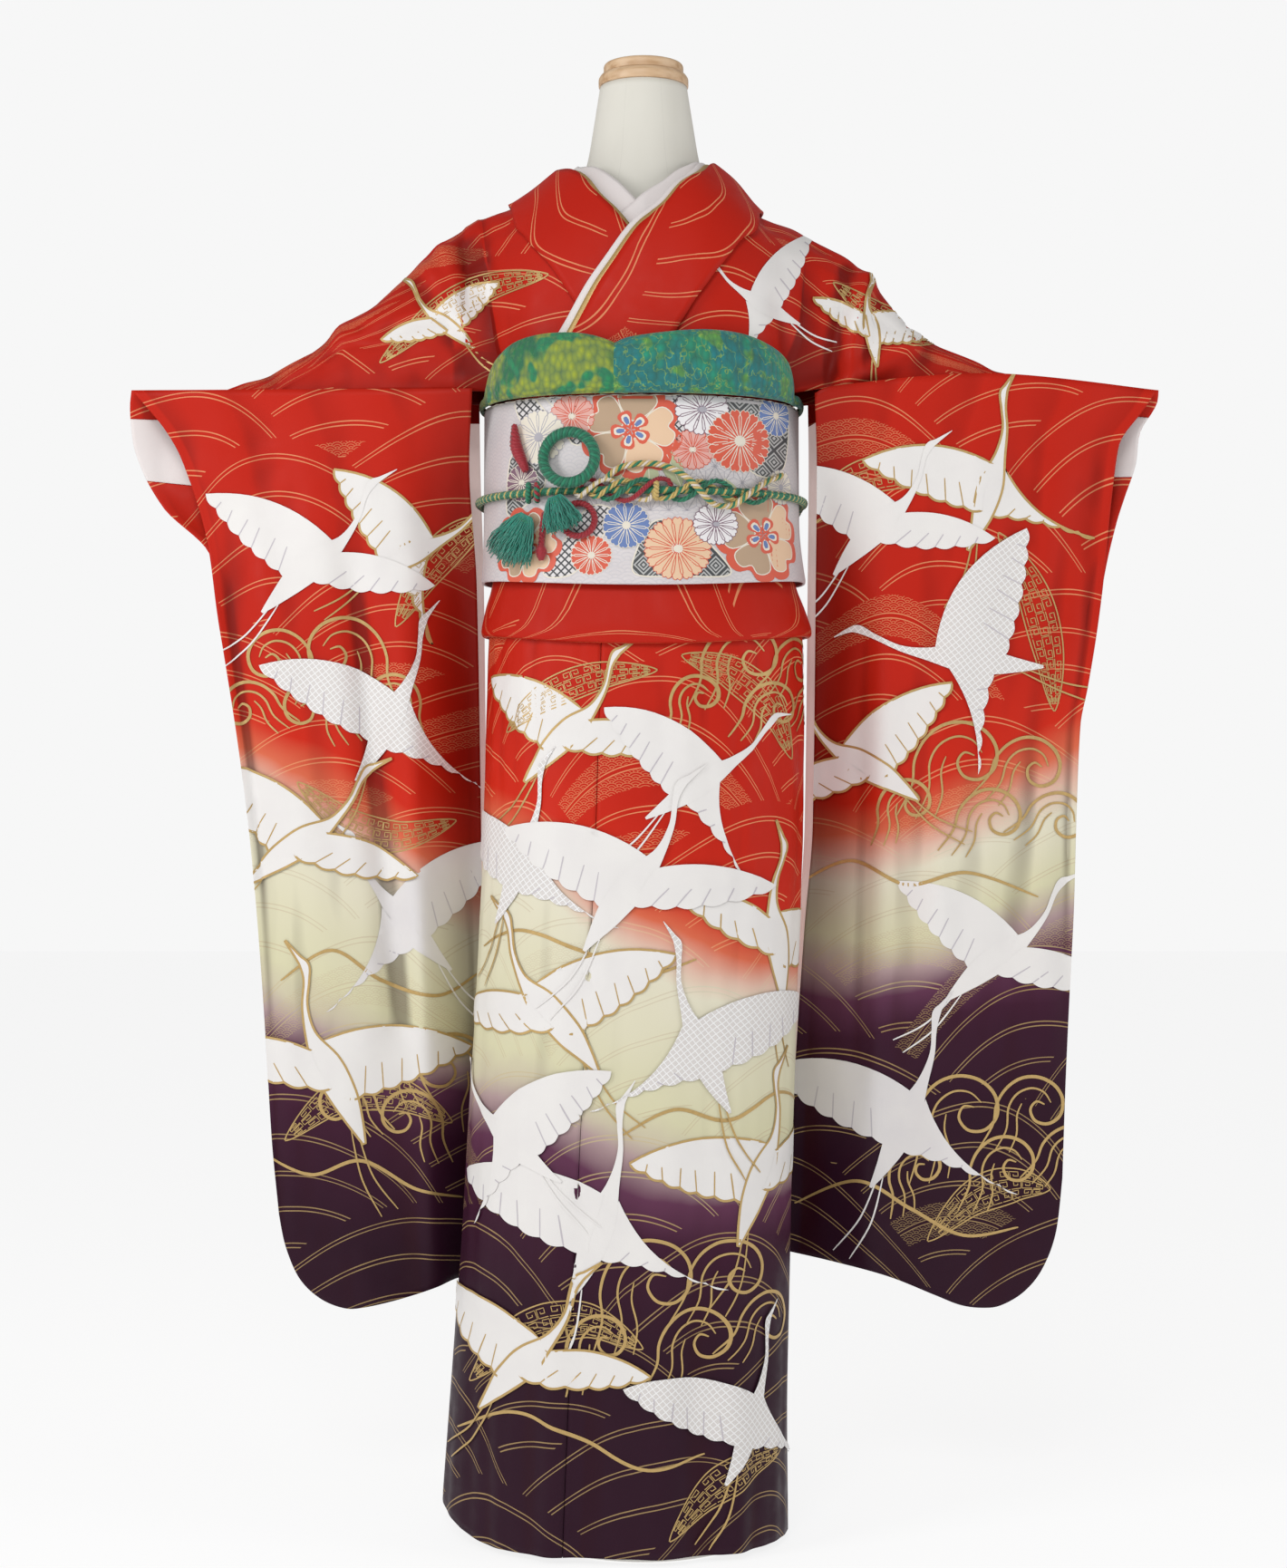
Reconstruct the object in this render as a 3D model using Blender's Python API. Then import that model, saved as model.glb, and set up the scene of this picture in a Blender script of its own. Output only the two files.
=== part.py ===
"""Furisode, a long-sleeved kimono, with its sash set on a limbless dress form.

Metres, +Z up, front towards -Y, floor at z = 0.
Each piece that a maker cuts and sews is its own closed solid.
"""
import math

import bpy
import bmesh
from mathutils import Vector

MM = 0.001

# Cloth thicknesses
SILK = 1.8 * MM
BODICE_CLOTH = 2.0 * MM
COLLAR_CLOTH = 2.8 * MM
INNER_COLLAR_CLOTH = 1.3 * MM
LINING = 1.2 * MM
TRIM_CLOTH = 1.2 * MM
SASH_CLOTH = 3.5 * MM
SEAM_GAP = 0.3 * MM

# Distance of each layer's inner face from the bed that it lies on
INNER_COLLAR_UNDER = 0.0 * MM
INNER_COLLAR_OVER = 2.2 * MM
BODICE_UNDER = 4.6 * MM
COLLAR_UNDER = 8.8 * MM
BODICE_OVER = 13.4 * MM
TRIM_GOLD = 15.6 * MM
COLLAR_OVER = 18.6 * MM
SASH = 22.2 * MM
SKIRT_UNDER = 0.0 * MM
SKIRT_OVER = 3.4 * MM
OVER_DROP = 8.2 * MM

# Heights
HEM = 0.007
SKIRT_TOP = 0.925
SASH_TOP = 1.107
CHEST = 1.165
SCARF_FOOT = 1.1074

COLUMN_POWER = 2.3
ANGLE_STEP = 7.5

# Bed of skirt and sash: height, middle x, half width, half depth
COLUMN = (
    (0.000, -0.017, 0.1560, 0.1200),
    (0.180, -0.014, 0.1540, 0.1190),
    (0.350, -0.010, 0.1530, 0.1185),
    (0.530, -0.0045, 0.1525, 0.1185),
    (0.700, 0.0017, 0.1533, 0.1190),
    (0.885, 0.0030, 0.1500, 0.1180),
    (0.915, 0.0015, 0.1430, 0.1130),
    (0.940, 0.0000, 0.1350, 0.1070),
    (1.000, -0.002, 0.1305, 0.1050),
    (1.107, -0.002, 0.1300, 0.1050),
    (1.200, -0.002, 0.1300, 0.1050),
)

# Soft folds that run up the skirt: angle, spread, height at the hem, top
SKIRT_FOLDS = (
    (-24.0, 5.0, 5.0 * MM, 0.80),
    (-12.0, 7.0, -3.0 * MM, 0.70),
    (9.0, 6.0, 5.0 * MM, 0.72),
    (24.0, 6.0, -3.5 * MM, 0.66),
    (38.0, 7.0, 4.5 * MM, 0.62),
    (140.0, 9.0, 5.0 * MM, 0.70),
    (168.0, 8.0, -3.5 * MM, 0.70),
    (-150.0, 9.0, 5.0 * MM, 0.70),
    (-118.0, 7.0, 3.5 * MM, 0.60),
)

# Shoulder line of the bed: distance from the middle, height
SHOULDER_LEFT = (
    (0.000, 1.366), (0.045, 1.360), (0.062, 1.352), (0.080, 1.338),
    (0.108, 1.316), (0.131, 1.303), (0.146, 1.299), (0.168, 1.287),
    (0.189, 1.274), (0.209, 1.258), (0.230, 1.239), (0.252, 1.218),
    (0.276, 1.196), (0.297, 1.182), (0.324, 1.162), (0.347, 1.150),
    (0.369, 1.137), (0.395, 1.130), (0.420, 1.121),
)
SHOULDER_RIGHT = (
    (0.000, 1.366), (0.045, 1.358), (0.060, 1.346), (0.081, 1.329),
    (0.102, 1.304), (0.114, 1.294), (0.145, 1.284), (0.172, 1.269),
    (0.200, 1.253), (0.219, 1.234), (0.235, 1.216), (0.248, 1.198),
    (0.260, 1.181), (0.280, 1.172), (0.292, 1.166), (0.322, 1.154),
    (0.349, 1.142), (0.385, 1.135), (0.420, 1.126),
)
# Depth of the bed from the shoulder line: distance from the middle, front, back
CHEST_DEPTH = (
    (0.000, 0.1060, 0.1180),
    (0.050, 0.1040, 0.1150),
    (0.100, 0.0900, 0.0980),
    (0.130, 0.0620, 0.0700),
    (0.150, 0.0420, 0.0500),
    (0.170, 0.0370, 0.0430),
    (0.200, 0.0360, 0.0410),
    (0.250, 0.0330, 0.0360),
    (0.300, 0.0280, 0.0270),
    (0.350, 0.0200, 0.0130),
    (0.420, 0.0110, 0.0080),
)
BACK_POWER = ((0.000, 3.4), (0.080, 2.8), (0.130, 2.2), (0.420, 2.0))
FRONT_POWER = 2.0
DROP_PER_DEGREE = 0.18 / 90.0
# Least rise of the shoulder line above the chest line, towards the sleeve tops
SHOULDER_RISE = 0.018

# Creases of the bodice front: x and z of both ends, spread, height
CREASES_LEFT = (
    (-0.166, 1.296, -0.161, 1.250, 0.007, 3.5 * MM),
    (-0.192, 1.258, -0.162, 1.160, 0.010, 5.0 * MM),
    (-0.172, 1.262, -0.144, 1.150, 0.008, -3.0 * MM),
    (-0.205, 1.240, -0.174, 1.175, 0.010, 4.0 * MM),
    (-0.290, 1.180, -0.200, 1.200, 0.014, 3.5 * MM),
)
CREASES_RIGHT = (
    (0.198, 1.238, 0.180, 1.130, 0.009, -3.0 * MM),
    (0.213, 1.230, 0.196, 1.130, 0.010, 5.5 * MM),
    (0.157, 1.146, 0.150, 1.120, 0.012, 6.0 * MM),
    (0.168, 1.115, 0.258, 1.168, 0.012, 5.0 * MM),
    (0.120, 1.200, 0.140, 1.125, 0.012, -2.5 * MM),
)


def table(rows, at, column=1):
    """Value of one column of a table, between its rows in step with the first column."""
    if at <= rows[0][0]:
        return rows[0][column]
    for low, high in zip(rows, rows[1:]):
        if at <= high[0]:
            share = (at - low[0]) / (high[0] - low[0])
            return low[column] + (high[column] - low[column]) * share
    return rows[-1][column]


def ease(value):
    """Smooth step from 0 to 1."""
    value = min(max(value, 0.0), 1.0)
    return value * value * (3.0 - 2.0 * value)


def power(value, exponent):
    """Signed power."""
    return math.copysign(abs(value) ** exponent, value)


def fold_height(angle, height):
    """Rise of the soft skirt folds at an angle and a height."""
    rise = 0.0
    for middle, spread, size, top in SKIRT_FOLDS:
        turn = (angle - middle + 180.0) % 360.0 - 180.0
        rise += size * math.exp(-(turn / spread) ** 2) * ease((top - height) / top)
    return rise


def column(angle, height, out):
    """Point on the bed of skirt and sash. Angle 0 is the front, 90 is +X."""
    middle = table(COLUMN, height, 1)
    half_width = table(COLUMN, height, 2)
    half_depth = table(COLUMN, height, 3)
    sine = math.sin(math.radians(angle))
    cosine = math.cos(math.radians(angle))
    x = half_width * power(sine, 2.0 / COLUMN_POWER)
    y = -half_depth * power(cosine, 2.0 / COLUMN_POWER)
    normal = Vector((
        power(x / half_width, COLUMN_POWER - 1.0) / half_width,
        power(y / half_depth, COLUMN_POWER - 1.0) / half_depth,
        0.0,
    )).normalized()
    reach = out + fold_height(angle, height)
    return Vector((middle + x, y, height)) + normal * reach


def shoulder(x):
    """Height of the bed's shoulder line at x."""
    return table(SHOULDER_LEFT if x < 0.0 else SHOULDER_RIGHT, abs(x))


def chest(x):
    """Height where the bed turns from the shoulder slope to the upright front."""
    return min(CHEST, shoulder(x) - SHOULDER_RISE)


def bed(x, turn):
    """Point of the chest bed at x. Turn 0 is the chest front, 90 the shoulder line,
    180 the back. Below 0 and past 180 the bed goes down inside the sash."""
    back = turn > 90.0
    lift = 180.0 - turn if back else turn
    depth = table(CHEST_DEPTH, abs(x), 2 if back else 1)
    side = 1.0 if back else -1.0
    if lift >= 0.0:
        exponent = 2.0 / (table(BACK_POWER, abs(x)) if back else FRONT_POWER)
        rise = math.sin(math.radians(lift)) ** exponent
        reach = max(math.cos(math.radians(lift)), 0.0) ** exponent
        height = chest(x) + (shoulder(x) - chest(x)) * rise
        return Vector((x, side * depth * reach, height))
    height = chest(x) + lift * DROP_PER_DEGREE
    middle = table(COLUMN, height, 1)
    share = min(abs(x - middle) / table(COLUMN, height, 2), 0.955)
    flat = (1.0 - share ** COLUMN_POWER) ** (1.0 / COLUMN_POWER)
    tucked = min(table(COLUMN, height, 3) * flat, depth)
    blend = ease((CHEST - height) / (CHEST - SCARF_FOOT))
    return Vector((x, side * (depth + (tucked - depth) * blend), height))


def bed_turn(x, height):
    """Turn of the bed's front point at x and a height."""
    if height < CHEST:
        return (height - CHEST) / DROP_PER_DEGREE
    rise = min((height - CHEST) / (shoulder(x) - CHEST), 1.0)
    return math.degrees(math.asin(rise ** (FRONT_POWER / 2.0)))


def on_bed(x, turn, out):
    """Point above the chest bed by a distance."""
    step_x, step_turn = 0.004, 3.0
    across = bed(x + step_x, turn) - bed(x - step_x, turn)
    along = bed(x, turn + step_turn) - bed(x, turn - step_turn)
    normal = across.cross(along).normalized()
    return bed(x, turn) + normal * out


def make_material(name, colour, roughness, metallic=0.0):
    """Plain material for one solid."""
    material = bpy.data.materials.new(name)
    material.use_nodes = True
    shader = material.node_tree.nodes["Principled BSDF"]
    shader.inputs["Base Color"].default_value = (*colour, 1.0)
    shader.inputs["Roughness"].default_value = roughness
    shader.inputs["Metallic"].default_value = metallic
    return material


def add_solid(name, points, faces, look, smooth=True):
    """Object from points and faces, welded and facing out."""
    mesh = bpy.data.meshes.new(name)
    mesh.from_pydata([tuple(point) for point in points], [], faces)
    work = bmesh.new()
    work.from_mesh(mesh)
    bmesh.ops.remove_doubles(work, verts=work.verts, dist=0.00001)
    bmesh.ops.recalc_face_normals(work, faces=work.faces)
    work.to_mesh(mesh)
    work.free()
    for face in mesh.polygons:
        face.use_smooth = smooth
    mesh.materials.append(make_material(name, *look))
    solid = bpy.data.objects.new(name, mesh)
    bpy.context.collection.objects.link(solid)
    return solid


def shell(name, inner, outer, look, keep=None, ring=False):
    """Closed sheet between two grids of points with the same rows and columns.
    keep(row, column) tells which fields stay; ring joins the last column to the first."""
    rows, columns = len(outer), len(outer[0])
    points = [point for grid in (outer, inner) for row in grid for point in row]
    layer = rows * columns
    faces = []
    edges = {}
    for row in range(rows - 1):
        for place in range(columns if ring else columns - 1):
            if keep and not keep(row, place):
                continue
            after = (place + 1) % columns
            corners = (
                row * columns + place,
                row * columns + after,
                (row + 1) * columns + after,
                (row + 1) * columns + place,
            )
            for pick in ((0, 1, 2), (0, 2, 3)):
                one, two, three = (corners[index] for index in pick)
                faces.append((one, two, three))
                faces.append((three + layer, two + layer, one + layer))
            for start, end in zip(corners, corners[1:] + corners[:1]):
                if (end, start) in edges:
                    del edges[(end, start)]
                else:
                    edges[(start, end)] = True
    for start, end in edges:
        faces.append((end, start, start + layer, end + layer))
    return add_solid(name, points, faces, look)


def spread(start, end, count):
    """Evenly spaced values from start to end."""
    return [start + (end - start) * index / (count - 1) for index in range(count)]


# Colours of the cloths and parts: colour, roughness
RED_SILK = ((0.55, 0.022, 0.008), 0.5)
DYED_SILK = ((0.50, 0.045, 0.025), 0.5)
WHITE_SILK = ((0.86, 0.80, 0.76), 0.6)
PINK_SILK = ((0.85, 0.50, 0.45), 0.6)
GOLD_CLOTH = ((0.62, 0.36, 0.09), 0.45)
SASH_BROCADE = ((0.62, 0.58, 0.56), 0.5)
GREEN_CREPE = ((0.05, 0.25, 0.12), 0.8)
TEAL_CREPE = ((0.01, 0.18, 0.24), 0.8)
GREEN_CORD = ((0.0, 0.22, 0.10), 0.7)
RED_CORD = ((0.35, 0.0, 0.015), 0.7)
GOLD_CORD = ((0.70, 0.52, 0.14), 0.6)
FORM_CLOTH = ((0.80, 0.78, 0.72), 0.8)
LIGHT_WOOD = ((0.62, 0.42, 0.25), 0.5)
BASE_PAINT = ((0.75, 0.73, 0.69), 0.4, 0.2)


# Skirt
SIDE_SEAM = 95.0
UNDER_SEAM = 17.0
UNDER_EDGE = 66.0
SKIRT_ROWS = (0.0, 0.14, 0.32, 0.52, 0.74, 0.89, 0.9564, 1.0)
# Front seam of the over panel: height, angle
OKUMI_SEAM = ((0.0, -19.0), (0.45, -16.0), (0.95, -13.0))
# Free edge of the over panel, round the wearer's right side: height, angle, flare
FREE_EDGE = (
    (0.00, -104.0, 0.026),
    (0.18, -102.0, 0.017),
    (0.35, -100.0, 0.010),
    (0.53, -98.0, 0.005),
    (0.70, -97.0, 0.002),
    (0.95, -97.0, 0.000),
)
HEM_RISE = 0.032


def hem(angle):
    """Height of the hem, which rises to the free edge on the left."""
    return HEM + HEM_RISE * ease((-angle - 45.0) / 60.0)


def skirt_panel(name, start, end, level, flare=False):
    """Skirt panel between two edges that are angles or tables of height and angle."""
    steps = 2 + round(abs(table(end, 0.5) - table(start, 0.5)) / ANGLE_STEP)
    inner, outer = [], []
    for share in SKIRT_ROWS:
        inner_row, outer_row = [], []
        for place in spread(0.0, 1.0, steps):
            middle = 0.5 * SKIRT_TOP
            guess = table(start, middle) + (table(end, middle) - table(start, middle)) * place
            height = hem(guess) + (SKIRT_TOP - hem(guess)) * share
            low, high = table(start, height), table(end, height)
            angle = low + (high - low) * place
            lift = level(angle)
            if flare:
                lift += table(FREE_EDGE, height, 2) * ease((-angle - 50.0) / 50.0)
            inner_row.append(column(angle, height, lift))
            outer_row.append(column(angle, height, lift + SILK))
        inner.append(inner_row)
        outer.append(outer_row)
    shell(name, inner, outer, DYED_SILK)


def fixed(angle, shift=0.0):
    """Panel edge at one angle."""
    return ((0.0, angle + shift), (1.0, angle + shift))


def seam_step(rows, shift):
    """Edge table moved by an angle."""
    return tuple((row[0], row[1] + shift) for row in rows)


SEAM_ANGLE = 0.12


def over_level(angle):
    """The over panel starts at the side seam on the bed and rises over the under panel."""
    return SKIRT_OVER * ease((SIDE_SEAM - angle) / 22.0)


def under_level(angle):
    """Panels that lie on the bed."""
    return SKIRT_UNDER


def make_skirt():
    """Seven panels round the form: two back, under front and over front with their overlaps."""
    skirt_panel("skirt_back_left", fixed(-180.0, SEAM_ANGLE / 2.0),
                fixed(-SIDE_SEAM, -SEAM_ANGLE), under_level)
    skirt_panel("skirt_back_right", fixed(SIDE_SEAM, SEAM_ANGLE),
                fixed(180.0, -SEAM_ANGLE / 2.0), under_level)
    skirt_panel("skirt_front_under", fixed(-SIDE_SEAM), fixed(UNDER_SEAM), under_level)
    skirt_panel("overlap_under", fixed(UNDER_SEAM, 2 * SEAM_ANGLE),
                fixed(UNDER_EDGE), under_level)
    skirt_panel("skirt_front_over", seam_step(OKUMI_SEAM, SEAM_ANGLE),
                fixed(SIDE_SEAM, -SEAM_ANGLE), over_level)
    skirt_panel("overlap_over", FREE_EDGE, seam_step(OKUMI_SEAM, -SEAM_ANGLE),
                over_level, flare=True)


TUCK_DIP = 0.012


def make_waist_tuck():
    """Cloth folded up under the sash, a ring with a soft fold at its foot."""
    angles = spread(-180.0, 180.0 - ANGLE_STEP, round(360.0 / ANGLE_STEP))
    path = (
        (0.915, 6.0, 7.8),
        (0.8880, 6.8, 8.6),
        (0.8850, 10.6, 10.6),
        (0.8890, 13.8, 12.0),
        (0.9050, 14.2, 12.4),
        (0.962, 13.8, 12.0),
    )
    thick = (0.0, 0.8, 1.9, 0.9, 0.0, 0.0)
    outside, inside = [], []
    for (height, far, near), lift in zip(path, thick):
        drop = [TUCK_DIP * ease(1.0 - abs(angle) / 90.0) * ease((0.95 - height) / 0.04)
                for angle in angles]
        outside.append([column(angle, height - fall, far * MM)
                        for angle, fall in zip(angles, drop)])
        inside.append([column(angle, height - fall + lift * MM, near * MM)
                       for angle, fall in zip(angles, drop)])
    shell("waist_tuck", inside, outside, RED_SILK, ring=True)


# Turns of the bodice rows, from the front foot over the shoulder to the back foot
BODICE_TURNS = (
    -95.0, -60.0, -40.0, -29.0, -20.5, -12.0, 0.0, 10.0, 20.0, 29.0, 38.0, 47.0, 56.0, 65.0,
    74.0, 82.0, 90.0, 98.0, 106.0, 115.0, 124.0, 133.0, 142.0, 151.0, 165.0, 180.0, 192.0,
    200.5, 209.0, 240.0, 275.0,
)
WING_TURNS = (-20.5, 200.5)
# Stations of the shoulder cloth past the body, distance from the middle
WING_STATIONS = (
    0.172, 0.188, 0.204, 0.225, 0.255, 0.290, 0.330, 0.375, 0.420,
)
BODY_STATIONS = 5
# Side of the body part: rise of the turn above the foot, distance from the middle
BODY_SIDE = ((-29.0, 0.123), (-20.5, 0.128), (-10.0, 0.135), (0.0, 0.142), (45.0, 0.155), (90.0, 0.160))
PANEL_TUCK = 0.003

# Collars row by row from the nape to the sash: x and turn of the inner edge,
# x and turn of the outer edge at the back, x and height of both at the front
BACK_COLLAR = (
    (0.00015, 122.0, 0.00015, 152.0),
    (0.024, 120.0, 0.036, 149.0),
    (0.046, 114.0, 0.070, 138.0),
    (0.064, 104.0, 0.100, 122.0),
)
COLLAR_LEFT_TOP = ((0.079, 96.0, 0.122, 106.0), (0.084, 86.0, 0.130, 88.0))
COLLAR_RIGHT_TOP = ((0.065, 96.0, 0.108, 106.0), (0.066, 86.0, 0.112, 88.0))
COLLAR_LEFT_FRONT = (
    (-0.074, 1.334, -0.118, 1.278),
    (-0.045, 1.306, -0.100, 1.2516),
    (-0.0105, 1.264, -0.068, 1.205),
    (0.013, 1.234, -0.045, 1.171),
    (0.035, 1.205, -0.024, 1.140),
)
COLLAR_RIGHT_FRONT = (
    (0.050, 1.322, 0.098, 1.266),
    (0.022, 1.2895, 0.0744, 1.2376),
    (-0.0087, 1.2594, 0.054, 1.207),
    (-0.0433, 1.2083, 0.0275, 1.164),
    (-0.0773, 1.1498, 0.003, 1.118),
    (-0.100, 1.107, -0.012, 1.085),
    (-0.106, 1.060, -0.026, 1.050),
)
BACK_INNER_COLLAR = (
    (0.00015, 112.0, 0.00015, 138.0),
    (0.022, 111.0, 0.030, 135.0),
    (0.043, 107.0, 0.058, 126.0),
)
INNER_LEFT_TOP = ((0.064, 96.0, 0.096, 104.0), (0.067, 86.0, 0.103, 88.0))
INNER_RIGHT_TOP = ((0.058, 96.0, 0.090, 104.0), (0.058, 86.0, 0.094, 88.0))
INNER_LEFT_FRONT = (
    (-0.0605, 1.344, -0.094, 1.312),
    (-0.035, 1.333, -0.066, 1.287),
    (-0.007, 1.303, -0.036, 1.258),
    (0.020, 1.270, -0.008, 1.225),
    (0.040, 1.235, 0.010, 1.195),
)
INNER_RIGHT_FRONT = (
    (0.0445, 1.343, 0.080, 1.312),
    (0.020, 1.323, 0.050, 1.285),
    (-0.0035, 1.305, 0.030, 1.262),
    (-0.020, 1.289, 0.008, 1.243),
    (-0.040, 1.262, -0.007, 1.222),
    (-0.060, 1.225, -0.022, 1.190),
)


def collar_rows(side, back, top, front):
    """Rows of a collar as x and turn of both edges, side -1 on the left and 1 on the right."""
    rows = [(side * row[0], row[1], side * row[2], row[3]) for row in back + top]
    for x_in, z_in, x_out, z_out in front:
        rows.append((x_in, bed_turn(x_in, z_in), x_out, bed_turn(x_out, z_out)))
    finer = []
    for row, after in zip(rows, rows[1:]):
        finer.append(row)
        finer.append(tuple((one + two) / 2.0 for one, two in zip(row, after)))
    return finer + rows[-1:]


LEFT_ROWS = collar_rows(-1.0, BACK_COLLAR, COLLAR_LEFT_TOP, COLLAR_LEFT_FRONT)
RIGHT_ROWS = collar_rows(1.0, BACK_COLLAR, COLLAR_RIGHT_TOP, COLLAR_RIGHT_FRONT)
INNER_LEFT_ROWS = collar_rows(-1.0, BACK_INNER_COLLAR, INNER_LEFT_TOP, INNER_LEFT_FRONT)
INNER_RIGHT_ROWS = collar_rows(1.0, BACK_INNER_COLLAR, INNER_RIGHT_TOP, INNER_RIGHT_FRONT)


def under(level):
    """Layer at a constant distance from the bed."""
    return lambda turn: level


def over(level):
    """Layer that lies over the under panel in front and drops to the bed on the shoulder."""
    return lambda turn: level - OVER_DROP * ease((turn - 40.0) / 30.0)


def crease_height(x, height, creases):
    """Rise of the creases at a point of the bodice front."""
    rise = 0.0
    for x_one, z_one, x_two, z_two, width, size in creases:
        along_x, along_z = x_two - x_one, z_two - z_one
        share = ((x - x_one) * along_x + (height - z_one) * along_z) / (along_x ** 2 + along_z ** 2)
        share = min(max(share, 0.0), 1.0)
        away = math.hypot(x - x_one - share * along_x, height - z_one - share * along_z)
        rise += size * math.exp(-(away / width) ** 2)
    return rise


def band(name, rows, shares, level, thick, look, count=None):
    """Collar band over the rows, between shares of its width."""
    inner, outer = [], []
    for x_in, turn_in, x_out, turn_out in rows[:count]:
        inner_row, outer_row = [], []
        for share in shares:
            x = x_in + (x_out - x_in) * share
            turn = turn_in + (turn_out - turn_in) * share
            inner_row.append(on_bed(x, turn, level(turn)))
            outer_row.append(on_bed(x, turn, level(turn) + thick))
        inner.append(inner_row)
        outer.append(outer_row)
    shell(name, inner, outer, look)


def make_collars():
    """Red collars with their gold and white layers, and the white inner collar."""
    full = spread(0.0, 1.0, 4)
    band("inner_collar_left", INNER_LEFT_ROWS, full, under(INNER_COLLAR_UNDER),
         INNER_COLLAR_CLOTH, WHITE_SILK)
    band("inner_collar_right", INNER_RIGHT_ROWS, full, under(INNER_COLLAR_OVER),
         INNER_COLLAR_CLOTH, WHITE_SILK)
    band("collar_left", LEFT_ROWS, full, under(COLLAR_UNDER), COLLAR_CLOTH, RED_SILK)
    band("collar_right", RIGHT_ROWS, full, over(COLLAR_OVER), COLLAR_CLOTH, RED_SILK)
    band("collar_trim_left", LEFT_ROWS, (-0.06, 0.07, 0.20), under(BODICE_UNDER), TRIM_CLOTH,
         GOLD_CLOTH, -2)
    band("collar_trim_white", RIGHT_ROWS, (-0.135, 0.03, 0.20), over(BODICE_OVER), TRIM_CLOTH,
         WHITE_SILK, -3)
    band("collar_trim_right", RIGHT_ROWS, (-0.06, 0.07, 0.20), over(TRIM_GOLD), TRIM_CLOTH,
         GOLD_CLOTH, -3)


def panel_edge(rows, foot):
    """Table of turn and x of the seam between panel and collar, from the front foot."""
    edge = [(row[3], row[2]) for row in reversed(rows)]
    return [(BODICE_TURNS[0], foot)] + edge + [(BODICE_TURNS[-1], rows[0][2])]


def bodice(name, side, edge, level, creases):
    """Panel from the front foot over the shoulder to the back foot."""
    inner, outer = [], []
    for turn in BODICE_TURNS:
        lift = 180.0 - turn if turn > 90.0 else turn
        start = table(edge, turn) - side * PANEL_TUCK * ease((150.0 - turn) / 10.0)
        end = side * table(BODY_SIDE, lift)
        stations = spread(start, end, BODY_STATIONS) + [side * x for x in WING_STATIONS]
        inner_row, outer_row = [], []
        for x in stations:
            out = level(turn)
            out -= (out - BODICE_UNDER) * ease((abs(x) - 0.170) / 0.080)
            if turn < 90.0:
                out += crease_height(x, bed(x, turn).z, creases)
            inner_row.append(on_bed(x, turn, out))
            outer_row.append(on_bed(x, turn, out + BODICE_CLOTH))
        inner.append(inner_row)
        outer.append(outer_row)
    low = BODICE_TURNS.index(WING_TURNS[0])
    high = BODICE_TURNS.index(WING_TURNS[1])
    shell(name, inner, outer, RED_SILK,
          keep=lambda row, place: place < BODY_STATIONS - 1 or low <= row < high)


def make_bodice():
    """Two body panels with shoulder and back."""
    bodice("bodice_left", -1.0, panel_edge(LEFT_ROWS, 0.045), under(BODICE_UNDER), CREASES_LEFT)
    bodice("bodice_right", 1.0, panel_edge(RIGHT_ROWS, -0.050), over(BODICE_OVER), CREASES_RIGHT)


# Sleeve outlines, distance from the middle and height. Inner edges run up beside the body,
# outer edges from the rounded corner up past the cuff, feet from the body to the corner.
LEFT_INNER = ((0.150, 0.2585), (0.158, 0.500), (0.1656, 0.938), (0.173, 1.057), (0.170, 1.133))
LEFT_INNER_BACK = ((0.150, 0.2585), (0.154, 0.50), (0.1585, 0.938), (0.162, 1.057), (0.163, 1.128))
LEFT_FOOT = (
    (0.150, 0.2585), (0.1845, 0.2495), (0.207, 0.2396), (0.243, 0.228), (0.279, 0.2198),
    (0.299, 0.2198), (0.322, 0.2297), (0.342, 0.2495), (0.3555, 0.281), (0.362, 0.3125),
)
LEFT_OUTER = (
    (0.362, 0.3125), (0.369, 0.3845), (0.375, 0.4835), (0.3825, 0.5915), (0.3915, 0.6905),
    (0.403, 0.7805), (0.417, 0.870), (0.423, 0.9065), (0.433, 0.979), (0.459, 1.063),
    (0.474, 1.090), (0.508, 1.131),
)
LEFT_OUTER_BACK = LEFT_OUTER[:8] + (
    (0.430, 0.965), (0.477, 1.0145), (0.4995, 1.055), (0.5075, 1.082), (0.510, 1.115),
    (0.5085, 1.131),
)
RIGHT_INNER = (
    (0.142, 0.2765), (0.150, 0.45), (0.160, 0.60), (0.168, 0.70), (0.171, 0.938),
    (0.172, 1.057), (0.170, 1.128),
)
RIGHT_INNER_BACK = (
    (0.142, 0.2765), (0.147, 0.45), (0.154, 0.60), (0.160, 0.70), (0.163, 0.938),
    (0.164, 1.057), (0.163, 1.124),
)
RIGHT_FOOT = (
    (0.142, 0.2765), (0.189, 0.2657), (0.243, 0.251), (0.288, 0.233), (0.315, 0.2225),
    (0.3375, 0.2198), (0.3555, 0.2225), (0.378, 0.236), (0.396, 0.2585), (0.4095, 0.2945),
    (0.416, 0.3485),
)
RIGHT_OUTER = (
    (0.416, 0.3485), (0.419, 0.4385), (0.423, 0.5285), (0.4275, 0.6185), (0.430, 0.7085),
    (0.434, 0.7985), (0.441, 0.8345), (0.450, 0.8885), (0.457, 0.9425), (0.464, 1.0145),
    (0.469, 1.057), (0.4725, 1.077), (0.497, 1.112), (0.510, 1.131),
)
RIGHT_OUTER_BACK = RIGHT_OUTER[:9] + (
    (0.470, 1.000), (0.478, 1.025), (0.4896, 1.061), (0.492, 1.085), (0.511, 1.1225),
    (0.5115, 1.131),
)
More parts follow.
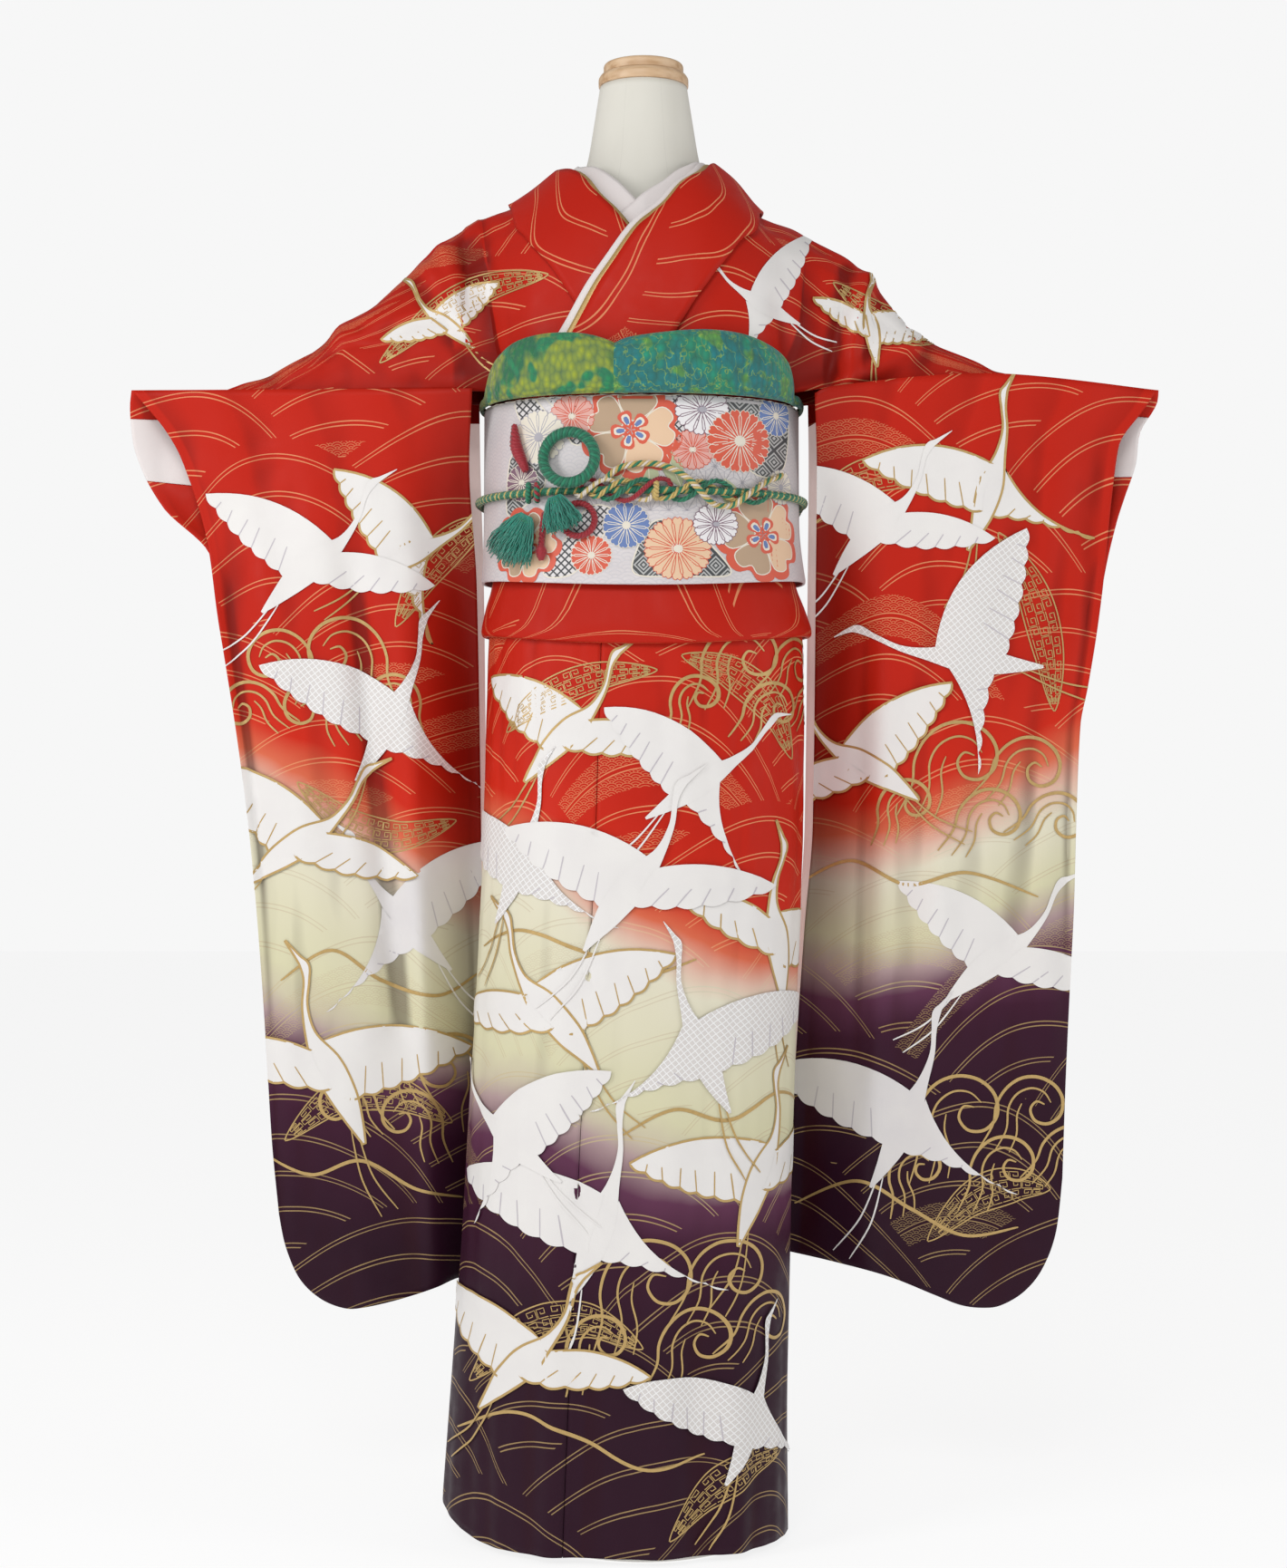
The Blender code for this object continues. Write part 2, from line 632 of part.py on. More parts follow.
# Depth of the front layer: height, then y at five stations from the body to the outer edge
LEFT_DEPTH = (
    (0.22, 0.068, 0.018, 0.004, 0.004, 0.010),
    (0.40, 0.060, 0.006, -0.004, 0.000, 0.008),
    (0.55, 0.050, -0.006, -0.012, -0.004, 0.006),
    (0.75, 0.030, -0.022, -0.022, -0.010, 0.002),
    (0.93, -0.004, -0.038, -0.032, -0.018, -0.004),
    (1.05, -0.034, -0.048, -0.040, -0.026, -0.010),
    (1.10, -0.060, -0.053, -0.042, -0.030, -0.012),
    (1.133, -0.078, -0.056, -0.044, -0.033, -0.012),
)
RIGHT_DEPTH = LEFT_DEPTH[:5] + (
    (1.05, -0.040, -0.052, -0.042, -0.0230, -0.010),
    (1.10, -0.066, -0.056, -0.043, -0.028, -0.012),
    (1.148, -0.084, -0.060, -0.044, -0.033, -0.012),
)
# Room between the front and back layers, the same stations
SLEEVE_ROOM = (
    (0.22, 0.012, 0.012, 0.012, 0.010, 0.0),
    (0.40, 0.022, 0.026, 0.026, 0.016, 0.0),
    (0.55, 0.026, 0.036, 0.032, 0.020, 0.0),
    (0.75, 0.038, 0.050, 0.040, 0.025, 0.0),
    (0.93, 0.072, 0.065, 0.050, 0.032, 0.0),
    (0.98, 0.086, 0.076, 0.058, 0.038, 0.006),
    (1.05, 0.110, 0.092, 0.068, 0.047, 0.030),
    (1.10, 0.142, 0.108, 0.082, 0.062, 0.024),
    (1.148, 0.168, 0.124, 0.092, 0.070, 0.0),
)
SLEEVE_ROWS = (
    0.0, 0.03, 0.07, 0.13, 0.23, 0.35, 0.48, 0.60, 0.70, 0.78,
    0.84, 0.89, 0.93, 0.965, 1.0,
)
SLEEVE_COLUMNS = (0.0, 0.07, 0.16, 0.29, 0.45, 0.62, 0.77, 0.90, 1.0)
SLEEVE_CLOSE = 0.06
EYE_DISTANCE = 2.6
EYE_HEIGHT = 0.74


def along(points, share):
    """Point at a share of the length of a line of points."""
    lengths = [math.dist(one, two) for one, two in zip(points, points[1:])]
    rest = share * sum(lengths)
    for one, two, length in zip(points, points[1:], lengths):
        if rest <= length:
            part = rest / length
            return tuple(a + (b - a) * part for a, b in zip(one, two))
        rest -= length
    return points[-1]


def at_height(points, share):
    """Point of an edge line at a share of its height."""
    low, high = points[0][1], points[-1][1]
    height = low + (high - low) * share
    rows = [(point[1], point[0]) for point in points]
    return table(rows, height), height


def across(rows, height, place):
    """Value of a table with five stations between height rows."""
    spot = min(place * 4.0, 3.9999)
    column_low = int(spot)
    low = table(rows, height, 1 + column_low)
    high = table(rows, height, 2 + column_low)
    return low + (high - low) * ease(spot - column_low)


def sleeve_point(style, back, place, share):
    """Outer face of a sleeve layer: place runs from the body outward, share from foot to top."""
    side, inner, outer, foot, top, depth = style
    inner, outer = (line[1 if back else 0] for line in (inner, outer))
    x_in, z_in = at_height(inner, share)
    x_out, z_out = at_height(outer, share)
    x_foot, z_foot = along(foot, place)
    x_top, z_top = along((inner[-1],) + top + (outer[-1],), place)
    near, far = 1.0 - place, 1.0 - share
    x = (near * x_in + place * x_out + far * x_foot + share * x_top
         - near * far * foot[0][0] - place * far * foot[-1][0]
         - near * share * inner[-1][0] - place * share * outer[-1][0])
    z = (near * z_in + place * z_out + far * z_foot + share * z_top
         - near * far * foot[0][1] - place * far * foot[-1][1]
         - near * share * inner[-1][1] - place * share * outer[-1][1])
    front_y = across(depth, z, place)
    room = across(SLEEVE_ROOM, z, place)
    flat = 2.0 * SILK + SEAM_GAP
    rise = max(z - table([(p[0], p[1]) for p in foot], x), 0.0) / SLEEVE_CLOSE
    closed = max(flat, flat + (room - flat) * math.sin(min(rise, 1.0) * math.pi / 2.0))
    y = front_y + room / 2.0 + (closed / 2.0 if back else -closed / 2.0)
    scale = 1.0 + y / EYE_DISTANCE
    return Vector((side * x * scale, y, EYE_HEIGHT + (z - EYE_HEIGHT) * scale))


LEFT_SLEEVE = (-1.0, (LEFT_INNER, LEFT_INNER_BACK), (LEFT_OUTER, LEFT_OUTER_BACK), LEFT_FOOT,
               (), LEFT_DEPTH)
RIGHT_SLEEVE = (1.0, (RIGHT_INNER, RIGHT_INNER_BACK), (RIGHT_OUTER, RIGHT_OUTER_BACK),
                RIGHT_FOOT, ((0.200, 1.137), (0.3465, 1.148)), RIGHT_DEPTH)


def sleeve_layer(name, style, back, look, places=SLEEVE_COLUMNS, shares=SLEEVE_ROWS,
                 lift=0.0, thick=SILK):
    """Layer of a sleeve, or a lining that lies inside it by a distance."""
    inward = Vector((0.0, -1.0 if back else 1.0, 0.0))
    inner, outer = [], []
    for share in shares:
        row = [sleeve_point(style, back, place, share) for place in places]
        outer.append([point + inward * lift for point in row])
        inner.append([point + inward * (lift + thick) for point in row])
    shell(name, inner, outer, look)


def make_sleeves():
    """Sleeves as front and back layers, with the linings that show at their open edges."""
    inside = SILK + SEAM_GAP
    for word, style in (("left", LEFT_SLEEVE), ("right", RIGHT_SLEEVE)):
        sleeve_layer("sleeve_%s_front" % word, style, False, DYED_SILK)
        sleeve_layer("sleeve_%s_back" % word, style, True, DYED_SILK)
        sleeve_layer("sleeve_%s_edge_lining" % word, style, True, PINK_SILK,
                     SLEEVE_COLUMNS[:3], SLEEVE_ROWS[3:-1], inside, LINING)
        sleeve_layer("sleeve_%s_cuff_lining" % word, style, True, WHITE_SILK,
                     SLEEVE_COLUMNS[-3:], SLEEVE_ROWS[-4:-1], inside, LINING)


# Sash drum at the back, one strip seen from the side: y and height
DRUM_WIDTH = 0.290
DRUM_PATH = (
    (0.1322, 0.985), (0.1322, 1.085), (0.1370, 1.116), (0.1520, 1.131), (0.1760, 1.131),
    (0.1930, 1.117), (0.2030, 1.085), (0.2080, 1.040), (0.2090, 0.985), (0.2070, 0.930),
    (0.1990, 0.903), (0.1800, 0.895), (0.1600, 0.904), (0.1495, 0.935), (0.1465, 0.985),
)
FLAP_PATH = ((0.1388, 1.010), (0.1385, 0.950), (0.1385, 0.890), (0.1410, 0.835))
FLAP_WIDTH = 0.284
HAND_PATH = ((0.1394, 0.950), (0.1394, 1.070))
HAND_WIDTH = 0.296
HAND_CLOTH = 6.0 * MM
SCARF_BACK_CLOTH = 4.0 * MM
DRUM_BOW = 0.4756
DRUM_CLOTH = 3.0 * MM


SASH_FOOT = 0.938
SASH_DIP = 0.010
SASH_SOFT = 1.0 * MM


def make_sash():
    """Sash wound round the waist."""
    angles = spread(-180.0, 180.0 - ANGLE_STEP, round(360.0 / ANGLE_STEP))
    inner, outer = [], []
    for share in (0.0, 0.06, 0.5, 0.94, 1.0):
        soft = SASH_SOFT if share in (0.0, 1.0) else 0.0
        inner_row, outer_row = [], []
        for angle in angles:
            foot = SASH_FOOT - SASH_DIP * ease(1.0 - abs(angle) / 90.0)
            height = foot + (SASH_TOP - foot) * share
            inner_row.append(column(angle, height, SASH))
            outer_row.append(column(angle, height, SASH + SASH_CLOTH - soft))
        inner.append(inner_row)
        outer.append(outer_row)
    shell("sash_wrap", inner, outer, SASH_BROCADE, ring=True)


def strip(name, path, width, thick, look, lift=0.0, columns=7):
    """Cloth strip that follows a path of y and height, with its sides bowed to the body."""
    inner, outer = [], []
    for index, (y, z) in enumerate(path):
        before, after = path[max(index - 1, 0)], path[min(index + 1, len(path) - 1)]
        along_y, along_z = after[0] - before[0], after[1] - before[1]
        length = math.hypot(along_y, along_z)
        normal = Vector((0.0, -along_z / length, along_y / length))
        inner_row, outer_row = [], []
        for x in spread(-width / 2.0, width / 2.0, columns):
            point = Vector((x, y - DRUM_BOW * x ** 2, z)) + normal * lift
            outer_row.append(point)
            inner_row.append(point - normal * thick)
        inner.append(inner_row)
        outer.append(outer_row)
    shell(name, inner, outer, look)


def make_drum():
    """Plain drum knot: drum, flap below it and the hand that passes through it."""
    strip("sash_drum", DRUM_PATH, DRUM_WIDTH, DRUM_CLOTH, SASH_BROCADE)
    strip("sash_flap", FLAP_PATH, FLAP_WIDTH, DRUM_CLOTH, SASH_BROCADE)
    strip("sash_hand", HAND_PATH, HAND_WIDTH, HAND_CLOTH, SASH_BROCADE)


def loft(name, rings, look, closed=False, smooth=True):
    """Closed solid over rings of points, capped at both ends or closed to a loop."""
    sides, count = len(rings[0]), len(rings)
    faces = []
    for index in range(count if closed else count - 1):
        for corner in range(sides):
            one = index * sides + corner
            two = index * sides + (corner + 1) % sides
            far_one = (index + 1) % count * sides + corner
            far_two = (index + 1) % count * sides + (corner + 1) % sides
            faces.append((one, two, far_two))
            faces.append((one, far_two, far_one))
    if not closed:
        faces.append(tuple(reversed(range(sides))))
        faces.append(tuple(range((count - 1) * sides, count * sides)))
    return add_solid(name, [point for ring in rings for point in ring], faces, look, smooth)


def tube(name, path, radii, look, sides=6, closed=False):
    """Round cord along a path."""
    count = len(path)
    rings = []
    for index, point in enumerate(path):
        before = path[index - 1] if closed or index else path[0]
        after = path[(index + 1) % count] if closed else path[min(index + 1, count - 1)]
        ahead = (Vector(after) - Vector(before)).normalized()
        side = ahead.cross(Vector((0.0, 1.0, 0.0))).normalized()
        up = side.cross(ahead).normalized()
        radius = radii[index] if isinstance(radii, (list, tuple)) else radii
        rings.append([Vector(point)
                      + side * math.cos(math.tau * corner / sides) * radius
                      + up * math.sin(math.tau * corner / sides) * radius
                      for corner in range(sides)])
    return loft(name, rings, look, closed)


def smooth_path(points, count, ring=False):
    """Points of a smooth curve through the given points, evenly shared."""
    size = len(points)
    spans = size if ring else size - 1
    path = []
    for index in range(count):
        spot = spans * index / (count if ring else count - 1)
        base = min(int(spot), spans - 1)
        part = spot - base
        picks = [base - 1, base, base + 1, base + 2]
        picks = [pick % size if ring else min(max(pick, 0), size - 1) for pick in picks]
        p0, p1, p2, p3 = (Vector(points[pick]) for pick in picks)
        path.append(0.5 * (2.0 * p1 + (p2 - p0) * part
                           + (2.0 * p0 - 5.0 * p1 + 4.0 * p2 - p3) * part ** 2
                           + (3.0 * p1 - p0 - 3.0 * p2 + p3) * part ** 3))
    return path


def on_sash(x, height, lift):
    """Point in front of the sash at x and a height, lifted from its face."""
    middle = table(COLUMN, height, 1)
    reach = SASH + SASH_CLOTH
    half_width = table(COLUMN, height, 2) + reach
    half_depth = table(COLUMN, height, 3) + reach
    share = min(abs(x - middle) / half_width, 1.0)
    y = -half_depth * (1.0 - share ** COLUMN_POWER) ** (1.0 / COLUMN_POWER)
    return Vector((x, y - lift, height))


# Padded scarf above the sash: angle, foot height, top height, thickness
SCARF_LEFT = (
    (-8.52, SCARF_FOOT, 1.150, 0.014),
    (-12.0, SCARF_FOOT, 1.160, 0.019),
    (-20.0, SCARF_FOOT, 1.165, 0.021),
    (-32.0, SCARF_FOOT, 1.166, 0.021),
    (-44.0, SCARF_FOOT, 1.162, 0.020),
    (-54.0, SCARF_FOOT, 1.152, 0.016),
    (-61.0, SCARF_FOOT, 1.143, 0.012),
    (-67.0, SCARF_FOOT, 1.130, 0.008),
    (-72.0, SCARF_FOOT, 1.118, 0.006),
    (-80.0, SCARF_FOOT, 1.1165, 0.005),
    (-100.0, SCARF_FOOT, 1.1160, 0.005),
    (-118.0, SCARF_FOOT, 1.1160, 0.006),
)
SCARF_RIGHT = (
    (-8.30, SCARF_FOOT, 1.150, 0.014),
    (-4.0, SCARF_FOOT, 1.159, 0.019),
    (7.0, SCARF_FOOT, 1.165, 0.022),
    (20.0, SCARF_FOOT, 1.168, 0.023),
    (34.0, SCARF_FOOT, 1.166, 0.022),
    (47.0, SCARF_FOOT, 1.158, 0.019),
    (56.0, SCARF_FOOT, 1.149, 0.015),
    (62.0, SCARF_FOOT, 1.136, 0.010),
    (67.0, SCARF_FOOT, 1.1195, 0.005),
    (72.0, SCARF_FOOT, 1.118, 0.006),
    (80.0, SCARF_FOOT, 1.1165, 0.005),
    (100.0, SCARF_FOOT, 1.1160, 0.005),
    (118.0, SCARF_FOOT, 1.1160, 0.006),
)
SCARF_SIDES = 10
SCARF_BED = 0.0258


def scarf_roll(name, rows, look):
    """Padded roll of scarf from the front dip round one side."""
    rings = []
    for angle, foot, top, thick in rows:
        ring = []
        for corner in range(SCARF_SIDES):
            turn = math.tau * corner / SCARF_SIDES
            height = (foot + top) / 2.0 - math.cos(turn) * (top - foot) / 2.0
            out = SCARF_BED + thick / 2.0 + power(math.sin(turn), 0.8) * thick / 2.0
            point = column(angle, SASH_TOP, out)
            ring.append(Vector((point.x, point.y, height)))
        rings.append(ring)
    loft(name, rings, look)


def make_scarf():
    """Scarf: two padded rolls in front and the strip that passes over the drum."""
    scarf_roll("scarf_left", SCARF_LEFT, GREEN_CREPE)
    scarf_roll("scarf_right", SCARF_RIGHT, TEAL_CREPE)
    strip("scarf_back", DRUM_PATH[2:6], DRUM_WIDTH, SCARF_BACK_CLOTH, TEAL_CREPE,
          SCARF_BACK_CLOTH + CORD_REST)


# Braided cord over the sash
BELT_HEIGHT = 1.017
RING_RISE = 0.0052
BELT_RADIUS = 0.0042
CORD_REST = 0.0004
# Half of the cord behind the sash, over the drum: x, y, height
BELT_BACK = (
    (0.1560, 0.060, 1.015), (0.1550, 0.110, 1.012), (0.1555, 0.160, 1.009),
    (0.1535, 0.198, 1.006), (0.1420, 0.2095, 1.005), (0.1000, 0.2110, 1.004),
    (0.0500, 0.2140, 1.004), (0.0000, 0.2152, 1.004),
)
# Loose cords in front: x, height, lift of the middle line from the sash
GOLD_STRAND = (
    (-0.036, 1.027, 0.0060), (-0.022, 1.038, 0.0046),
    (0.002, 1.042, 0.0040), (0.022, 1.039, 0.0042), (0.040, 1.029, 0.0090),
    (0.053, 1.016, 0.0146), (0.067, 1.004, 0.0090), (0.085, 1.004, 0.0080),
    (0.100, 1.015, 0.0146), (0.118, 1.029, 0.0086), (0.134, 1.037, 0.0050),
)
GOLD_RADIUS = 0.0032
RING_MIDDLE = (-0.0704, 1.0480)
RING_SIZE = 0.0245
RING_RADIUS = 0.0056
RED_LOOP_MIDDLE = (-0.0617, 0.9895)
RED_LOOP_SIZE = 0.0155
RED_RADIUS = 0.0034
RED_END = ((-0.1235, 1.0830, 0.0070), (-0.1215, 1.0620, 0.0070), (-0.1150, 1.0460, 0.0056),
           (-0.1120, 1.0385, 0.0042))
RED_END_RADII = (0.0030, 0.0064, 0.0052, 0.0038)
RED_STEM = ((-0.0935, 0.9970, 0.0038), (-0.0955, 0.9850, 0.0038), (-0.0970, 0.9680, 0.0044),
            (-0.0970, 0.9600, 0.0066), (-0.0970, 0.9530, 0.0050))
RED_STEM_RADII = (0.0034, 0.0034, 0.0034, 0.0058, 0.0030)
WRAPS = (("cord_wrap_knot_left", -0.1095, GREEN_CORD), ("cord_wrap_knot_right", -0.1010, RED_CORD),
         ("cord_wrap_gold", 0.0120, GOLD_CORD))
WRAP_SIZE = 0.0078
WRAP_RADIUS = 0.0030


def make_cords():
    """Cord round the sash and drum, with the loops, ends and wraps of its knot."""
    reach = SASH + SASH_CLOTH + BELT_RADIUS + CORD_REST
    front = []
    for angle in spread(-98.0, 98.0, 29):
        point = column(angle, BELT_HEIGHT, reach)
        front.append(point)
    back = [Vector(point) for point in BELT_BACK]
    mirrored = [Vector((-point.x, point.y, point.z)) for point in reversed(back[:-1])]
    tube("cord_belt", front + back + mirrored, BELT_RADIUS, GREEN_CORD, closed=True)
    strand = smooth_path([on_sash(*row) for row in GOLD_STRAND], 26)
    tube("cord_gold_strand", strand, GOLD_RADIUS, GOLD_CORD)
    ring = []
    for index in range(20):
        angle = math.tau * index / 20
        lift = RING_RADIUS - CORD_REST + RING_RISE * (1.0 - math.cos(angle))
        ring.append(on_sash(RING_MIDDLE[0] + RING_SIZE * math.sin(angle),
                            RING_MIDDLE[1] + RING_SIZE * math.cos(angle), lift))
    tube("cord_loop_green", ring, RING_RADIUS, GREEN_CORD, closed=True)
    loop = []
    for index in range(16):
        angle = math.tau * index / 16
        loop.append(on_sash(RED_LOOP_MIDDLE[0] + RED_LOOP_SIZE * math.sin(angle),
                            RED_LOOP_MIDDLE[1] + RED_LOOP_SIZE * math.cos(angle),
                            RED_RADIUS + CORD_REST))
    tube("cord_loop_red", loop, RED_RADIUS, RED_CORD, closed=True)
    tube("cord_end_red", [on_sash(*row) for row in RED_END], RED_END_RADII, RED_CORD)
    tube("cord_stem_red", [on_sash(*row) for row in RED_STEM], RED_STEM_RADII, RED_CORD)
    for name, x, look in WRAPS:
        path = []
        for turn in spread(-95.0, 95.0, 9):
            rise = WRAP_SIZE * math.sin(math.radians(turn))
            lift = CORD_REST + BELT_RADIUS + WRAP_SIZE * math.cos(math.radians(turn))
            path.append(on_sash(x, BELT_HEIGHT + rise, lift))
        tube(name, path, WRAP_RADIUS, look)


# Tassels: root x, height and lift, direction of the strands, length, spread, rows and columns
TASSELS = (
    ("tassel_left", (-0.1170, 0.9850, 0.0085), (-0.50, -0.87), 0.036, 0.030, 3, 7),
    ("tassel_right", (-0.0806, 1.0000, 0.0124), (0.30, -0.95), 0.022, 0.020, 3, 5),
)
TASSEL_HEAD = (0.012, 0.0044)
STRAND_SHARE = 0.62


def tassel(name, root, heading, length, fan, rows, columns):
    """Head with strands drawn out of its end, all one solid."""
    side = (-heading[1], heading[0])
    half_wide, half_thick = 0.8 * TASSEL_HEAD[0], TASSEL_HEAD[1]

    def place(across, deep, ahead):
        x = root[0] + heading[0] * ahead + side[0] * across
        z = root[1] + heading[1] * ahead + side[1] * across
        return on_sash(x, z, root[2] + deep)

    points, faces = [], []

    def add(point):
        points.append(point)
        return len(points) - 1

    def cap(ahead, size):
        return [[add(place(half_wide * size * (2.0 * column_at / columns - 1.0),
                           half_thick * size * (2.0 * row / rows - 1.0), ahead))
                 for column_at in range(columns + 1)] for row in range(rows + 1)]

    near = cap(-0.014, 0.55)
    far = cap(0.0, 1.0)
    rim = ([(0, c) for c in range(columns)] + [(r, columns) for r in range(rows)]
           + [(rows, c) for c in range(columns, 0, -1)] + [(r, 0) for r in range(rows, 0, -1)])
    for (row, spot), (row_after, spot_after) in zip(rim, rim[1:] + rim[:1]):
        faces.append((near[row][spot], near[row_after][spot_after],
                      far[row_after][spot_after], far[row][spot]))
    for row in range(rows):
        for spot in range(columns):
            faces.append((near[row][spot], near[row + 1][spot],
                          near[row + 1][spot + 1], near[row][spot + 1]))
            cell = (far[row][spot], far[row][spot + 1], far[row + 1][spot + 1], far[row + 1][spot])
            across = (2.0 * (spot + 0.5) / columns - 1.0)
            deep = (2.0 * (row + 0.5) / rows - 1.0)
            reach = length * (1.0 - 0.10 * ((spot * 5 + row * 3) % 4) / 3.0 - 0.10 * across ** 2)
            rings = [cell]
            for share, size in ((0.04, STRAND_SHARE), (1.0, 0.30)):
                middle_across = half_wide * across + fan * 0.5 * across * share
                middle_deep = half_thick * deep + 0.0030 * deep * share
                half_a = size * half_wide / columns
                half_d = size * half_thick / rows
                rings.append([add(place(middle_across + a * half_a, middle_deep + d * half_d,
                                        reach * share))
                              for a, d in ((-1, -1), (1, -1), (1, 1), (-1, 1))])
            for low, high in zip(rings, rings[1:]):
                for corner in range(4):
                    after = (corner + 1) % 4
                    faces.append((low[corner], low[after], high[after], high[corner]))
            faces.append(tuple(rings[-1]))
    add_solid(name, points, faces, GREEN_CORD, smooth=False)


def make_tassels():
    """Two tufts of the braided cord's ends."""
    for name, root, heading, length, fan, rows, columns in TASSELS:
        tassel(name, root, heading, length, fan, rows, columns)


# Dress form: height, half width, half depth, middle y
FORM_FOOT = 0.700
FORM_HIPS = (0.712, 0.824, 0.885, 0.925, 0.950, 1.000, 1.107)
FORM = (
    (1.160, 0.1290, 0.1050, 0.000),
    (1.200, 0.1300, 0.1038, 0.000),
    (1.240, 0.1280, 0.0972, 0.000),
    (1.270, 0.1180, 0.0830, 0.000),
    (1.295, 0.0960, 0.0680, 0.002),
    (1.315, 0.0770, 0.0580, 0.004),
    (1.335, 0.0630, 0.0510, 0.005),
    (1.356, 0.0560, 0.0480, 0.005),
    (1.395, 0.0490, 0.0460, 0.003),
    (1.431, 0.0432, 0.0432, 0.002),
)
FORM_GAP = 0.6 * MM
FORM_ANGLES = [2.0 * ANGLE_STEP * step for step in range(round(180.0 / ANGLE_STEP))]
CAP_MIDDLE = 0.002
CAP_LOWER = ((1.4313, 0.0446), (1.4395, 0.0446), (1.4435, 0.0418))
CAP_UPPER = ((1.4438, 0.0396), (1.4520, 0.0396), (1.4540, 0.0380))
POLE_RADIUS = 0.012
POLE = ((0.0183, POLE_RADIUS), (0.6997, POLE_RADIUS))
BASE = ((0.000, 0.1120), (0.006, 0.1120), (0.009, 0.1090), (0.012, 0.0400), (0.018, 0.0180))


def turned(name, rows, look, middle=0.0, sides=24, smooth=True):
    """Round piece on an upright axis from rows of height and radius."""
    rings = [[Vector((radius * math.cos(math.tau * corner / sides),
                      middle + radius * math.sin(math.tau * corner / sides), height))
              for corner in range(sides)] for height, radius in rows]
    loft(name, rings, look, smooth=smooth)


def make_form():
    """Limbless form with its wooden neck cap, pole and round base."""
    rings = [[column(angle, FORM_FOOT, -25.0 * MM) for angle in FORM_ANGLES]]
    for height in FORM_HIPS:
        gap = FORM_GAP + 6.0 * MM * ease((0.824 - height) / 0.1)
        rings.append([column(angle, height, -gap) for angle in FORM_ANGLES])
    for height, half_width, half_depth, middle in FORM:
        ring = []
        for angle in FORM_ANGLES:
            blend = ease((height - 1.25) / 0.08)
            exponent = 2.0 / (2.25 - 0.25 * blend)
            sine, cosine = math.sin(math.radians(angle)), math.cos(math.radians(angle))
            ring.append(Vector((table(COLUMN, height, 1) * (1.0 - blend)
                                + half_width * power(sine, exponent),
                                middle - half_depth * power(cosine, exponent), height)))
        rings.append(ring)
    loft("form_body", rings, FORM_CLOTH)
    turned("neck_cap_lower", CAP_LOWER, LIGHT_WOOD, CAP_MIDDLE, smooth=False)
    turned("neck_cap_upper", CAP_UPPER, LIGHT_WOOD, CAP_MIDDLE, smooth=False)
    turned("form_pole", POLE, BASE_PAINT, sides=12)
    turned("form_base", BASE, BASE_PAINT, smooth=False)


def clear_scene():
    """Remove what a new scene starts with."""
    for item in list(bpy.data.objects):
        bpy.data.objects.remove(item, do_unlink=True)


clear_scene()
make_skirt()
make_waist_tuck()
make_collars()
make_bodice()
make_sleeves()
make_sash()
make_drum()
make_scarf()
make_cords()
make_tassels()
make_form()
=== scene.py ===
import bisect
import math

import bpy
import bmesh
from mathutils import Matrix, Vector, geometry, noise
from mathutils.bvhtree import BVHTree


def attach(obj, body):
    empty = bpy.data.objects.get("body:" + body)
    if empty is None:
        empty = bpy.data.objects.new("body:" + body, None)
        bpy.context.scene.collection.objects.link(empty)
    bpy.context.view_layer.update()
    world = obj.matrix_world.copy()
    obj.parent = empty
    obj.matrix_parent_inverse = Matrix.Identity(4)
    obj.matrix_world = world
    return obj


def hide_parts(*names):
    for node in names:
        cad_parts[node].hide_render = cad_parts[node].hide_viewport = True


# Looks of the furisode on its dress form. Metres, +Z up, front towards -Y.
# The forms repeat the design of the solids, sampled finer, with soft folds added.
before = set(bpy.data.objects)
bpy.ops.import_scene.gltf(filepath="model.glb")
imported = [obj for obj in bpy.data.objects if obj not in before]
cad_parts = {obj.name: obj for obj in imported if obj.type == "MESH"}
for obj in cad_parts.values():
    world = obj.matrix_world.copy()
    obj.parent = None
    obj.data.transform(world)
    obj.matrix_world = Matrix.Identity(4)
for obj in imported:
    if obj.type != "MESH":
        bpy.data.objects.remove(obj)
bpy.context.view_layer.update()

MM = 0.001

# Eye of the camera: distance from the upright middle plane, and height
EYE_DISTANCE = 2.6
EYE_HEIGHT = 0.74

# Cloth thicknesses
SILK = 1.8 * MM
COLLAR_CLOTH = 2.8 * MM
TRIM_CLOTH = 1.2 * MM
SASH_CLOTH = 3.5 * MM
SASH_SOFT = 1.0 * MM
SASH_FOOT = 0.938
SASH_DIP = 0.010
LINING = 1.2 * MM
SEAM_GAP = 0.3 * MM

# Distance of each layer's inner face from the bed that it lies on
INNER_COLLAR_UNDER = 0.0 * MM
INNER_COLLAR_OVER = 2.2 * MM
BODICE_UNDER = 4.6 * MM
COLLAR_UNDER = 8.8 * MM
BODICE_OVER = 13.4 * MM
TRIM_GOLD = 15.6 * MM
COLLAR_OVER = 18.6 * MM
SASH = 22.2 * MM
SKIRT_UNDER = 0.0 * MM
SKIRT_OVER = 3.4 * MM
OVER_DROP = 8.2 * MM
# Turns of the bed where the over panel starts to drop, and over which it drops
DROP_TURN, DROP_RUN = 40.0, 30.0

# Heights
HEM = 0.007
SKIRT_TOP = 0.925
SASH_TOP = 1.107
CHEST = 1.165
SCARF_FOOT = 1.1074

COLUMN_POWER = 2.3

